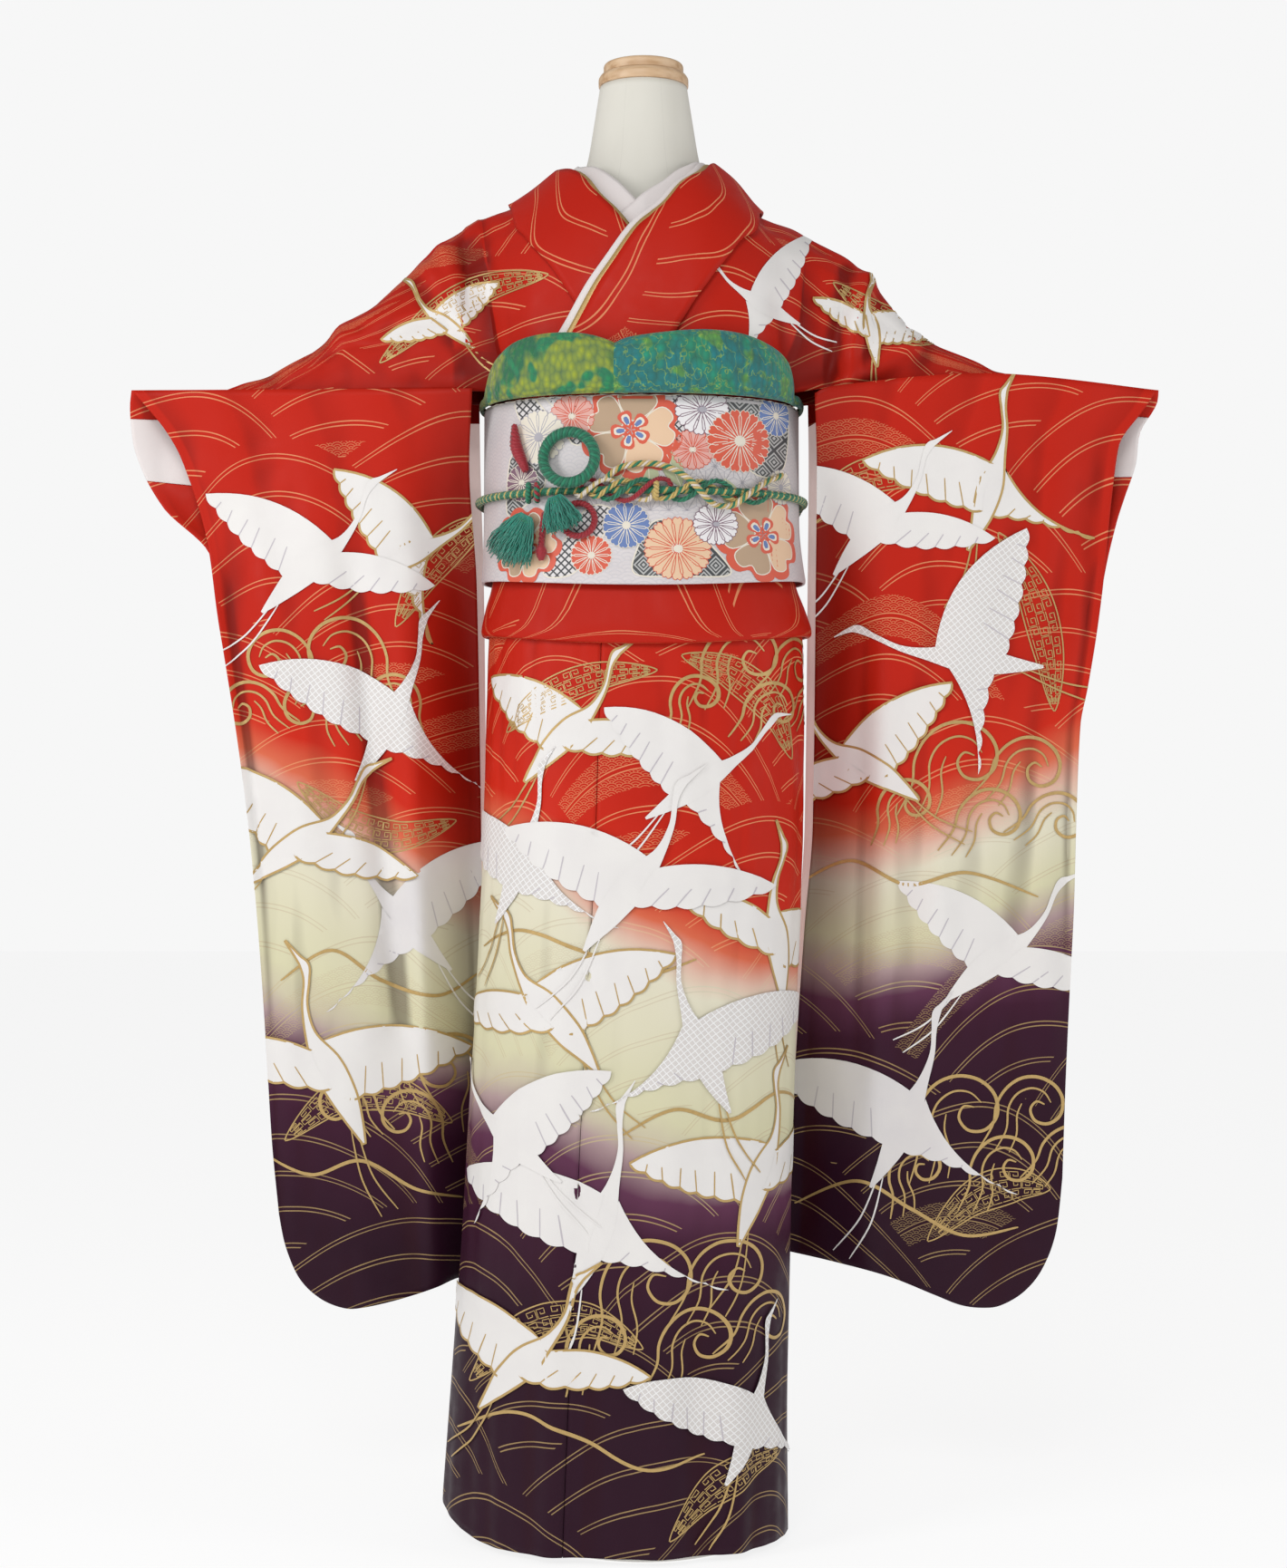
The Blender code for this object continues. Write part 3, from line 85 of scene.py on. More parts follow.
# Bed of skirt and sash: height, middle x, half width, half depth
COLUMN = (
    (0.000, -0.017, 0.1560, 0.1200),
    (0.180, -0.014, 0.1540, 0.1190),
    (0.350, -0.010, 0.1530, 0.1185),
    (0.530, -0.0045, 0.1525, 0.1185),
    (0.700, 0.0017, 0.1533, 0.1190),
    (0.885, 0.0030, 0.1500, 0.1180),
    (0.915, 0.0015, 0.1430, 0.1130),
    (0.940, 0.0000, 0.1350, 0.1070),
    (1.000, -0.002, 0.1305, 0.1050),
    (1.107, -0.002, 0.1300, 0.1050),
    (1.200, -0.002, 0.1300, 0.1050),
)

# Soft folds that run up the skirt: angle, spread, height at the hem, top
SKIRT_FOLDS = (
    (-24.0, 5.0, 5.0 * MM, 0.80),
    (-12.0, 7.0, -3.0 * MM, 0.70),
    (9.0, 6.0, 5.0 * MM, 0.72),
    (24.0, 6.0, -3.5 * MM, 0.66),
    (38.0, 7.0, 4.5 * MM, 0.62),
    (140.0, 9.0, 5.0 * MM, 0.70),
    (168.0, 8.0, -3.5 * MM, 0.70),
    (-150.0, 9.0, 5.0 * MM, 0.70),
    (-118.0, 7.0, 3.5 * MM, 0.60),
)

# Shoulder line of the bed: distance from the middle, height
SHOULDER_LEFT = (
    (0.000, 1.366), (0.045, 1.360), (0.062, 1.352), (0.080, 1.338),
    (0.108, 1.316), (0.131, 1.303), (0.146, 1.299), (0.168, 1.287),
    (0.189, 1.274), (0.209, 1.258), (0.230, 1.239), (0.252, 1.218),
    (0.276, 1.196), (0.297, 1.182), (0.324, 1.162), (0.347, 1.150),
    (0.369, 1.137), (0.395, 1.130), (0.420, 1.121),
)
SHOULDER_RIGHT = (
    (0.000, 1.366), (0.045, 1.358), (0.060, 1.346), (0.081, 1.329),
    (0.102, 1.304), (0.114, 1.294), (0.145, 1.284), (0.172, 1.269),
    (0.200, 1.253), (0.219, 1.234), (0.235, 1.216), (0.248, 1.198),
    (0.260, 1.181), (0.280, 1.172), (0.292, 1.166), (0.322, 1.154),
    (0.349, 1.142), (0.385, 1.135), (0.420, 1.126),
)
# Depth of the bed from the shoulder line: distance from the middle, front, back
CHEST_DEPTH = (
    (0.000, 0.1060, 0.1180),
    (0.050, 0.1040, 0.1150),
    (0.100, 0.0900, 0.0980),
    (0.130, 0.0620, 0.0700),
    (0.150, 0.0420, 0.0500),
    (0.170, 0.0370, 0.0430),
    (0.200, 0.0360, 0.0410),
    (0.250, 0.0330, 0.0360),
    (0.300, 0.0280, 0.0270),
    (0.350, 0.0200, 0.0130),
    (0.420, 0.0110, 0.0080),
)
BACK_POWER = ((0.000, 3.4), (0.080, 2.8), (0.130, 2.2), (0.420, 2.0))
FRONT_POWER = 2.0
DROP_PER_DEGREE = 0.18 / 90.0
SHOULDER_RISE = 0.018

# Creases of the bodice front: x and z of both ends, spread, height
CREASES_LEFT = (
    (-0.166, 1.296, -0.161, 1.250, 0.007, 3.5 * MM),
    (-0.192, 1.258, -0.162, 1.160, 0.010, 5.0 * MM),
    (-0.172, 1.262, -0.144, 1.150, 0.008, -3.0 * MM),
    (-0.205, 1.240, -0.174, 1.175, 0.010, 4.0 * MM),
    (-0.290, 1.180, -0.200, 1.200, 0.014, 3.5 * MM),
)
CREASES_RIGHT = (
    (0.198, 1.238, 0.180, 1.130, 0.009, -3.0 * MM),
    (0.213, 1.230, 0.196, 1.130, 0.010, 5.5 * MM),
    (0.157, 1.146, 0.150, 1.120, 0.012, 6.0 * MM),
    (0.168, 1.115, 0.258, 1.168, 0.012, 5.0 * MM),
    (0.120, 1.200, 0.140, 1.125, 0.012, -2.5 * MM),
)

SLOPES = {}


def slopes(rows, column):
    """Slopes of a smooth curve through one column of a table, without overshoot."""
    key = (id(rows), column)
    if key not in SLOPES:
        steps = [(two[column] - one[column]) / (two[0] - one[0])
                 for one, two in zip(rows, rows[1:])]
        inner = [0.0 if one * two <= 0.0 else 2.0 * one * two / (one + two)
                 for one, two in zip(steps, steps[1:])]
        starts = [row[0] for row in rows]
        SLOPES[key] = ([steps[0]] + inner + [steps[-1]], starts, rows)
    return SLOPES[key]


def table(rows, at, column=1):
    """Value of one column of a table, on a smooth curve over the first column."""
    tangents, starts, _ = slopes(rows, column)
    if at <= starts[0]:
        return rows[0][column]
    if at >= starts[-1]:
        return rows[-1][column]
    index = bisect.bisect_right(starts, at) - 1
    low, high = rows[index], rows[index + 1]
    gap = high[0] - low[0]
    part = (at - low[0]) / gap
    rest = 1.0 - part
    return (rest * rest * ((1.0 + 2.0 * part) * low[column] + part * gap * tangents[index])
            + part * part * ((1.0 + 2.0 * rest) * high[column] - rest * gap * tangents[index + 1]))


def ease(value):
    """Smooth step from 0 to 1."""
    value = min(max(value, 0.0), 1.0)
    return value * value * (3.0 - 2.0 * value)


def power(value, exponent):
    """Signed power."""
    return math.copysign(abs(value) ** exponent, value)


def fold_height(angle, height):
    """Rise of the soft skirt folds at an angle and a height."""
    rise = 0.0
    for middle, spread, size, top in SKIRT_FOLDS:
        turn = (angle - middle + 180.0) % 360.0 - 180.0
        rise += size * math.exp(-(turn / spread) ** 2) * ease((top - height) / top)
    return rise


def column(angle, height, out):
    """Point on the bed of skirt and sash. Angle 0 is the front, 90 is +X."""
    middle = table(COLUMN, height, 1)
    half_width = table(COLUMN, height, 2)
    half_depth = table(COLUMN, height, 3)
    sine = math.sin(math.radians(angle))
    cosine = math.cos(math.radians(angle))
    x = half_width * power(sine, 2.0 / COLUMN_POWER)
    y = -half_depth * power(cosine, 2.0 / COLUMN_POWER)
    normal = Vector((
        power(x / half_width, COLUMN_POWER - 1.0) / half_width,
        power(y / half_depth, COLUMN_POWER - 1.0) / half_depth,
        0.0,
    )).normalized()
    reach = out + fold_height(angle, height)
    return Vector((middle + x, y, height)) + normal * reach


def shoulder(x):
    """Height of the bed's shoulder line at x."""
    return table(SHOULDER_LEFT if x < 0.0 else SHOULDER_RIGHT, abs(x))


def chest(x):
    """Height where the bed turns from the shoulder slope to the upright front."""
    return min(CHEST, shoulder(x) - SHOULDER_RISE)


def bed(x, turn):
    """Point of the chest bed at x. Turn 0 is the chest front, 90 the shoulder line,
    180 the back. Below 0 and past 180 the bed goes down inside the sash."""
    back = turn > 90.0
    lift = 180.0 - turn if back else turn
    depth = table(CHEST_DEPTH, abs(x), 2 if back else 1)
    side = 1.0 if back else -1.0
    if lift >= 0.0:
        exponent = 2.0 / (table(BACK_POWER, abs(x)) if back else FRONT_POWER)
        rise = math.sin(math.radians(lift)) ** exponent
        reach = max(math.cos(math.radians(lift)), 0.0) ** exponent
        height = chest(x) + (shoulder(x) - chest(x)) * rise
        return Vector((x, side * depth * reach, height))
    height = chest(x) + lift * DROP_PER_DEGREE
    middle = table(COLUMN, height, 1)
    share = min(abs(x - middle) / table(COLUMN, height, 2), 0.955)
    flat = (1.0 - share ** COLUMN_POWER) ** (1.0 / COLUMN_POWER)
    tucked = min(table(COLUMN, height, 3) * flat, depth)
    blend = ease((CHEST - height) / (CHEST - SCARF_FOOT))
    return Vector((x, side * (depth + (tucked - depth) * blend), height))


def bed_turn(x, height):
    """Turn of the bed's front point at x and a height."""
    if height < CHEST:
        return (height - CHEST) / DROP_PER_DEGREE
    rise = min((height - CHEST) / (shoulder(x) - CHEST), 1.0)
    return math.degrees(math.asin(rise ** (FRONT_POWER / 2.0)))


def on_bed(x, turn, out):
    """Point above the chest bed by a distance."""
    step_x, step_turn = 0.004, 3.0
    across = bed(x + step_x, turn) - bed(x - step_x, turn)
    along = bed(x, turn + step_turn) - bed(x, turn - step_turn)
    normal = across.cross(along).normalized()
    return bed(x, turn) + normal * out


def spread(start, end, count):
    """Evenly spaced values from start to end."""
    return [start + (end - start) * index / (count - 1) for index in range(count)]


# Skirt
SIDE_SEAM = 95.0
# Front seam of the over panel: height, angle
OKUMI_SEAM = ((0.0, -19.0), (0.45, -16.0), (0.95, -13.0))
# Free edge of the over panel, round the wearer's right side: height, angle, flare
FREE_EDGE = (
    (0.00, -104.0, 0.026),
    (0.18, -102.0, 0.017),
    (0.35, -100.0, 0.010),
    (0.53, -98.0, 0.005),
    (0.70, -97.0, 0.002),
    (0.95, -97.0, 0.000),
)

# Rise of the hem towards the free edge: height, angle where it starts, angle that it takes
HEM_RISE = 0.032
HEM_TURN, HEM_RUN = 45.0, 60.0


def hem(angle):
    """Height of the hem, which rises to the free edge on the left."""
    return HEM + HEM_RISE * ease((-angle - HEM_TURN) / HEM_RUN)


# Turns of the bodice rows, from the front foot over the shoulder to the back foot
BODICE_TURNS = (
    -95.0, -60.0, -40.0, -29.0, -20.5, -12.0, 0.0, 10.0, 20.0, 29.0, 38.0, 47.0, 56.0, 65.0,
    74.0, 82.0, 90.0, 98.0, 106.0, 115.0, 124.0, 133.0, 142.0, 151.0, 165.0, 180.0, 192.0,
    200.5, 209.0, 240.0, 275.0,
)
WING_TURNS = (-20.5, 200.5)
# Stations of the shoulder cloth past the body: first and last distance from the middle, count
WING_STATIONS = (0.172, 0.420, 66)
# Side of the body part: rise of the turn above the foot, distance from the middle
BODY_SIDE = ((-29.0, 0.123), (-20.5, 0.128), (-10.0, 0.135), (0.0, 0.142), (45.0, 0.155), (90.0, 0.160))
PANEL_TUCK = 0.003

# Collars row by row from the nape to the sash: x and turn of the inner edge,
# x and turn of the outer edge at the back, x and height of both at the front
BACK_COLLAR = (
    (0.00015, 122.0, 0.00015, 152.0),
    (0.024, 120.0, 0.036, 149.0),
    (0.046, 114.0, 0.070, 138.0),
    (0.064, 104.0, 0.100, 122.0),
)
COLLAR_LEFT_TOP = ((0.079, 96.0, 0.122, 106.0), (0.084, 86.0, 0.130, 88.0))
COLLAR_RIGHT_TOP = ((0.065, 96.0, 0.108, 106.0), (0.066, 86.0, 0.112, 88.0))
COLLAR_LEFT_FRONT = (
    (-0.074, 1.334, -0.118, 1.278),
    (-0.045, 1.306, -0.100, 1.2516),
    (-0.0105, 1.264, -0.068, 1.205),
    (0.013, 1.234, -0.045, 1.171),
    (0.035, 1.205, -0.024, 1.140),
)
COLLAR_RIGHT_FRONT = (
    (0.050, 1.322, 0.098, 1.266),
    (0.022, 1.2895, 0.0744, 1.2376),
    (-0.0087, 1.2594, 0.054, 1.207),
    (-0.0433, 1.2083, 0.0275, 1.164),
    (-0.0773, 1.1498, 0.003, 1.118),
    (-0.100, 1.107, -0.012, 1.085),
    (-0.106, 1.060, -0.026, 1.050),
)
BACK_INNER_COLLAR = (
    (0.00015, 112.0, 0.00015, 138.0),
    (0.022, 111.0, 0.030, 135.0),
    (0.043, 107.0, 0.058, 126.0),
)
INNER_LEFT_TOP = ((0.064, 96.0, 0.096, 104.0), (0.067, 86.0, 0.103, 88.0))
INNER_RIGHT_TOP = ((0.058, 96.0, 0.090, 104.0), (0.058, 86.0, 0.094, 88.0))
INNER_LEFT_FRONT = (
    (-0.0605, 1.344, -0.094, 1.312),
    (-0.035, 1.333, -0.066, 1.287),
    (-0.007, 1.303, -0.036, 1.258),
    (0.020, 1.270, -0.008, 1.225),
    (0.040, 1.235, 0.010, 1.195),
)
INNER_RIGHT_FRONT = (
    (0.0445, 1.343, 0.080, 1.312),
    (0.020, 1.323, 0.050, 1.285),
    (-0.0035, 1.305, 0.030, 1.262),
    (-0.020, 1.289, 0.008, 1.243),
    (-0.040, 1.262, -0.007, 1.222),
    (-0.060, 1.225, -0.022, 1.190),
)


def collar_rows(side, back, top, front):
    """Rows of a collar as x and turn of both edges, side -1 on the left and 1 on the right."""
    rows = [(side * row[0], row[1], side * row[2], row[3]) for row in back + top]
    for x_in, z_in, x_out, z_out in front:
        rows.append((x_in, bed_turn(x_in, z_in), x_out, bed_turn(x_out, z_out)))
    finer = []
    for row, after in zip(rows, rows[1:]):
        finer.append(row)
        finer.append(tuple((one + two) / 2.0 for one, two in zip(row, after)))
    return finer + rows[-1:]


LEFT_ROWS = collar_rows(-1.0, BACK_COLLAR, COLLAR_LEFT_TOP, COLLAR_LEFT_FRONT)
RIGHT_ROWS = collar_rows(1.0, BACK_COLLAR, COLLAR_RIGHT_TOP, COLLAR_RIGHT_FRONT)
INNER_LEFT_ROWS = collar_rows(-1.0, BACK_INNER_COLLAR, INNER_LEFT_TOP, INNER_LEFT_FRONT)
INNER_RIGHT_ROWS = collar_rows(1.0, BACK_INNER_COLLAR, INNER_RIGHT_TOP, INNER_RIGHT_FRONT)


def under(level):
    """Layer at a constant distance from the bed."""
    return lambda _: level


def over(level):
    """Layer that lies over the under panel in front and drops to the bed on the shoulder."""
    return lambda turn: level - OVER_DROP * ease((turn - DROP_TURN) / DROP_RUN)


def crease_height(x, height, creases):
    """Rise of the creases at a point of the bodice front."""
    rise = 0.0
    for x_one, z_one, x_two, z_two, width, size in creases:
        along_x, along_z = x_two - x_one, z_two - z_one
        share = ((x - x_one) * along_x + (height - z_one) * along_z) / (along_x ** 2 + along_z ** 2)
        share = min(max(share, 0.0), 1.0)
        away = math.hypot(x - x_one - share * along_x, height - z_one - share * along_z)
        rise += size * math.exp(-(away / width) ** 2)
    return rise


def panel_edge(rows, foot):
    """Table of turn and x of the seam between panel and collar, from the front foot."""
    edge = [(row[3], row[2]) for row in reversed(rows)]
    return [(BODICE_TURNS[0], foot)] + edge + [(BODICE_TURNS[-1], rows[0][2])]


# Sleeve outlines, distance from the middle and height. Inner edges run up beside the body,
# outer edges from the rounded corner up past the cuff, feet from the body to the corner.
LEFT_INNER = ((0.150, 0.2585), (0.158, 0.500), (0.1656, 0.938), (0.173, 1.057), (0.170, 1.133))
LEFT_INNER_BACK = ((0.150, 0.2585), (0.154, 0.50), (0.1585, 0.938), (0.162, 1.057), (0.163, 1.128))
LEFT_FOOT = (
    (0.150, 0.2585), (0.1845, 0.2495), (0.207, 0.2396), (0.243, 0.228), (0.279, 0.2198),
    (0.299, 0.2198), (0.322, 0.2297), (0.342, 0.2495), (0.3555, 0.281), (0.362, 0.3125),
)
LEFT_OUTER = (
    (0.362, 0.3125), (0.369, 0.3845), (0.375, 0.4835), (0.3825, 0.5915), (0.3915, 0.6905),
    (0.403, 0.7805), (0.417, 0.870), (0.423, 0.9065), (0.433, 0.979), (0.459, 1.063),
    (0.474, 1.090), (0.508, 1.131),
)
LEFT_OUTER_BACK = LEFT_OUTER[:8] + (
    (0.430, 0.965), (0.477, 1.0145), (0.4995, 1.055), (0.5075, 1.082), (0.510, 1.115),
    (0.5085, 1.131),
)
RIGHT_INNER = (
    (0.142, 0.2765), (0.150, 0.45), (0.160, 0.60), (0.168, 0.70), (0.171, 0.938),
    (0.172, 1.057), (0.170, 1.128),
)
RIGHT_INNER_BACK = (
    (0.142, 0.2765), (0.147, 0.45), (0.154, 0.60), (0.160, 0.70), (0.163, 0.938),
    (0.164, 1.057), (0.163, 1.124),
)
RIGHT_FOOT = (
    (0.142, 0.2765), (0.189, 0.2657), (0.243, 0.251), (0.288, 0.233), (0.315, 0.2225),
    (0.3375, 0.2198), (0.3555, 0.2225), (0.378, 0.236), (0.396, 0.2585), (0.4095, 0.2945),
    (0.416, 0.3485),
)
RIGHT_OUTER = (
    (0.416, 0.3485), (0.419, 0.4385), (0.423, 0.5285), (0.4275, 0.6185), (0.430, 0.7085),
    (0.434, 0.7985), (0.441, 0.8345), (0.450, 0.8885), (0.457, 0.9425), (0.464, 1.0145),
    (0.469, 1.057), (0.4725, 1.077), (0.497, 1.112), (0.510, 1.131),
)
RIGHT_OUTER_BACK = RIGHT_OUTER[:9] + (
    (0.470, 1.000), (0.478, 1.025), (0.4896, 1.061), (0.492, 1.085), (0.511, 1.1225),
    (0.5115, 1.131),
)
# Depth of the front layer: height, then y at five stations from the body to the outer edge
LEFT_DEPTH = (
    (0.22, 0.068, 0.018, 0.004, 0.004, 0.010),
    (0.40, 0.060, 0.006, -0.004, 0.000, 0.008),
    (0.55, 0.050, -0.006, -0.012, -0.004, 0.006),
    (0.75, 0.030, -0.022, -0.022, -0.010, 0.002),
    (0.93, -0.004, -0.038, -0.032, -0.018, -0.004),
    (1.05, -0.034, -0.048, -0.040, -0.026, -0.010),
    (1.10, -0.060, -0.053, -0.042, -0.030, -0.012),
    (1.133, -0.078, -0.056, -0.044, -0.033, -0.012),
)
RIGHT_DEPTH = LEFT_DEPTH[:5] + (
    (1.05, -0.040, -0.052, -0.042, -0.0230, -0.010),
    (1.10, -0.066, -0.056, -0.043, -0.028, -0.012),
    (1.148, -0.084, -0.060, -0.044, -0.033, -0.012),
)
# Room between the front and back layers, the same stations
SLEEVE_ROOM = (
    (0.22, 0.012, 0.012, 0.012, 0.010, 0.0),
    (0.40, 0.022, 0.026, 0.026, 0.016, 0.0),
    (0.55, 0.026, 0.036, 0.032, 0.020, 0.0),
    (0.75, 0.038, 0.050, 0.040, 0.025, 0.0),
    (0.93, 0.072, 0.065, 0.050, 0.032, 0.0),
    (0.98, 0.086, 0.076, 0.058, 0.038, 0.006),
    (1.05, 0.110, 0.092, 0.068, 0.047, 0.030),
    (1.10, 0.142, 0.108, 0.082, 0.062, 0.024),
    (1.148, 0.168, 0.124, 0.092, 0.070, 0.0),
)

# Height above its foot over which a sleeve opens, stations of its depth tables
SLEEVE_CLOSE = 0.06
STATIONS = 5
# Folds fade in from the sides and the top in steps of 1 over these, and over a run at their
# ends; they lean about a height
EDGE_EASE, TOP_EASE = 12.0, 8.0
FOLD_END = 0.12
FOLD_MIDDLE = 0.7
# Rise of the waves, of the slanted ripples near the shoulder and of the small ripples; height
# and run where the slanted ones set in
SLEEVE_WAVE, SLEEVE_SLANT, SLEEVE_RIPPLE = 5.0 * MM, 2.2 * MM, 0.9 * MM
SLANT_FOOT, SLANT_RUN = 0.95, 0.15


def across(rows, height, place):
    """Value of a table with five stations between height rows."""
    spot = min(place * (STATIONS - 1.0), STATIONS - 1.0001)
    column_low = int(spot)
    low = table(rows, height, 1 + column_low)
    high = table(rows, height, 2 + column_low)
    return low + (high - low) * ease(spot - column_low)


# Sash drum at the back, one strip seen from the side: y and height
DRUM_WIDTH = 0.290
DRUM_PATH = (
    (0.1322, 0.985), (0.1322, 1.085), (0.1370, 1.116), (0.1520, 1.131), (0.1760, 1.131),
    (0.1930, 1.117), (0.2030, 1.085), (0.2080, 1.040), (0.2090, 0.985), (0.2070, 0.930),
    (0.1990, 0.903), (0.1800, 0.895), (0.1600, 0.904), (0.1495, 0.935), (0.1465, 0.985),
)
FLAP_PATH = ((0.1388, 1.010), (0.1385, 0.950), (0.1385, 0.890), (0.1410, 0.835))
FLAP_WIDTH = 0.284
HAND_PATH = ((0.1394, 0.950), (0.1394, 1.070))
HAND_WIDTH = 0.296
HAND_CLOTH = 6.0 * MM
SCARF_BACK_CLOTH = 4.0 * MM
DRUM_BOW = 0.4756
# Padded scarf above the sash: angle, top height, thickness
SCARF_LEFT = (
    (-3.5, 1.146, 0.009),
    (-6.5, 1.153, 0.017),
    (-12.0, 1.160, 0.021),
    (-20.0, 1.165, 0.021),
    (-32.0, 1.166, 0.021),
    (-44.0, 1.162, 0.020),
    (-54.0, 1.152, 0.016),
    (-61.0, 1.143, 0.012),
    (-67.0, 1.130, 0.008),
    (-72.0, 1.118, 0.006),
    (-80.0, 1.1165, 0.005),
    (-100.0, 1.1160, 0.005),
    (-118.0, 1.1160, 0.006),
)
SCARF_RIGHT = (
    (-12.5, 1.148, 0.012),
    (-8.0, 1.154, 0.018),
    (-3.0, 1.160, 0.021),
    (7.0, 1.165, 0.022),
    (20.0, 1.168, 0.023),
    (34.0, 1.166, 0.022),
    (47.0, 1.158, 0.019),
    (56.0, 1.149, 0.015),
    (62.0, 1.136, 0.010),
    (67.0, 1.1195, 0.005),
    (72.0, 1.118, 0.006),
    (80.0, 1.1165, 0.005),
    (100.0, 1.1160, 0.005),
    (118.0, 1.1160, 0.006),
)
SCARF_BED = 0.0258
# Braided cord over the sash
BELT_HEIGHT = 1.017
BELT_RADIUS = 0.0042
RING_RISE = 0.0052
CORD_REST = 0.0004
# Half of the cord behind the sash, over the drum: x, y, height
BELT_BACK = (
    (0.1560, 0.060, 1.015), (0.1550, 0.110, 1.012), (0.1555, 0.160, 1.009),
    (0.1535, 0.198, 1.006), (0.1420, 0.2095, 1.005), (0.1000, 0.2110, 1.004),
    (0.0500, 0.2140, 1.004), (0.0000, 0.2152, 1.004),
)
# Loose cords in front: x, height, lift of the middle line from the sash
GOLD_STRAND = (
    (-0.036, 1.027, 0.0060), (-0.022, 1.038, 0.0046),
    (0.002, 1.042, 0.0040), (0.022, 1.039, 0.0042), (0.040, 1.029, 0.0090),
    (0.053, 1.016, 0.0146), (0.067, 1.004, 0.0090), (0.085, 1.004, 0.0080),
    (0.100, 1.015, 0.0146), (0.118, 1.029, 0.0086), (0.134, 1.037, 0.0050),
)
GOLD_RADIUS = 0.0032
RING_MIDDLE = (-0.0704, 1.0480)
RING_SIZE = 0.0245
RING_RADIUS = 0.0056
RED_LOOP_MIDDLE = (-0.0617, 0.9895)
RED_LOOP_SIZE = 0.0155
RED_RADIUS = 0.0034
RED_END = ((-0.1235, 1.0830, 0.0070), (-0.1215, 1.0620, 0.0070), (-0.1150, 1.0460, 0.0056),
           (-0.1120, 1.0385, 0.0042))
RED_END_RADII = (0.0030, 0.0064, 0.0052, 0.0038)
RED_STEM = ((-0.0935, 0.9970, 0.0038), (-0.0955, 0.9850, 0.0038), (-0.0970, 0.9680, 0.0044),
            (-0.0970, 0.9600, 0.0066), (-0.0970, 0.9530, 0.0050))
RED_STEM_RADII = (0.0034, 0.0034, 0.0034, 0.0058, 0.0030)
WRAP_SIZE = 0.0078
WRAP_RADIUS = 0.0030
# Tassels: root x, height and lift, direction of the strands, length, spread, rows and columns
TASSELS = (
    ("tassel_left", (-0.1170, 0.9850, 0.0085), (-0.50, -0.87), 0.036, 0.030, 3, 7),
    ("tassel_right", (-0.0806, 1.0000, 0.0124), (0.30, -0.95), 0.022, 0.020, 3, 5),
)
TASSEL_HEAD = (0.012, 0.0044)
STRAND_RADIUS = 0.55 * MM
# Dress form: height, half width, half depth, middle y
FORM_FOOT = 0.700
FORM = (
    (1.160, 0.1290, 0.1050, 0.000),
    (1.200, 0.1300, 0.1038, 0.000),
    (1.240, 0.1280, 0.0972, 0.000),
    (1.270, 0.1180, 0.0830, 0.000),
    (1.295, 0.0960, 0.0680, 0.002),
    (1.315, 0.0770, 0.0580, 0.004),
    (1.335, 0.0630, 0.0510, 0.005),
    (1.356, 0.0560, 0.0480, 0.005),
    (1.395, 0.0490, 0.0460, 0.003),
    (1.431, 0.0432, 0.0432, 0.002),
)
FORM_GAP = 0.6 * MM
CAP_MIDDLE = 0.002
CAP_LOWER_LINE = ((1.4313, 0.0446), (1.4395, 0.0446), (1.4435, 0.0418))
CAP_UPPER_LINE = ((1.4438, 0.0396), (1.4520, 0.0396), (1.4540, 0.0380))
POLE_RADIUS = 0.012
POLE = ((0.0183, POLE_RADIUS), (0.6997, POLE_RADIUS))
BASE = ((0.000, 0.1120), (0.006, 0.1120), (0.009, 0.1090), (0.012, 0.0400), (0.018, 0.0180))


def on_sash(x, height, lift):
    """Point in front of the sash at x and a height, lifted from its face."""
    middle = table(COLUMN, height, 1)
    reach = SASH + SASH_CLOTH
    half_width = table(COLUMN, height, 2) + reach
    half_depth = table(COLUMN, height, 3) + reach
    share = min(abs(x - middle) / half_width, 1.0)
    y = -half_depth * (1.0 - share ** COLUMN_POWER) ** (1.0 / COLUMN_POWER)
    return Vector((x, y - lift, height))


def smooth_path(points, count, ring=False):
    """Points of a smooth curve through the given points, evenly shared."""
    size = len(points)
    spans = size if ring else size - 1
    path = []
    for index in range(count):
        spot = spans * index / (count if ring else count - 1)
        base = min(int(spot), spans - 1)
        part = spot - base
        picks = [base - 1, base, base + 1, base + 2]
        picks = [pick % size if ring else min(max(pick, 0), size - 1) for pick in picks]
        p0, p1, p2, p3 = (Vector(points[pick]) for pick in picks)
        path.append(0.5 * (2.0 * p1 + (p2 - p0) * part
                           + (2.0 * p0 - 5.0 * p1 + 4.0 * p2 - p3) * part ** 2
                           + (3.0 * p1 - p0 - 3.0 * p2 + p3) * part ** 3))
    return path


def ripple(x, z, size, seed):
    """Smooth uneven rise between -1 and 1 of creases about one size apart."""
    return noise.noise(Vector((x / size, z / size, seed)))


# Shells


def add_mesh(name, points, faces, look, spots=None, dye=None, shade=None):
    """Object from points and faces, with flat places of its points in metres, its dye and its painted shade.
    """
    mesh = bpy.data.meshes.new(name)
    mesh.from_pydata([tuple(point) for point in points], [], faces)
    if spots:
        layer = mesh.uv_layers.new(name="flat")
        flat = []
        for loop in mesh.loops:
            flat.extend(spots[loop.vertex_index])
        layer.data.foreach_set("uv", flat)
    for word, values in (("dye", dye), ("shade", shade)):
        if values:
            layer = mesh.attributes.new(word, "FLOAT", "POINT")
            layer.data.foreach_set("value", values)
    work = bmesh.new()
    work.from_mesh(mesh)
    bmesh.ops.recalc_face_normals(work, faces=work.faces)
    work.to_mesh(mesh)
    work.free()
    mesh.polygons.foreach_set("use_smooth", [True] * len(mesh.polygons))
    mesh.materials.append(look)
    piece = bpy.data.objects.new(name, mesh)
    bpy.context.collection.objects.link(piece)
    return piece
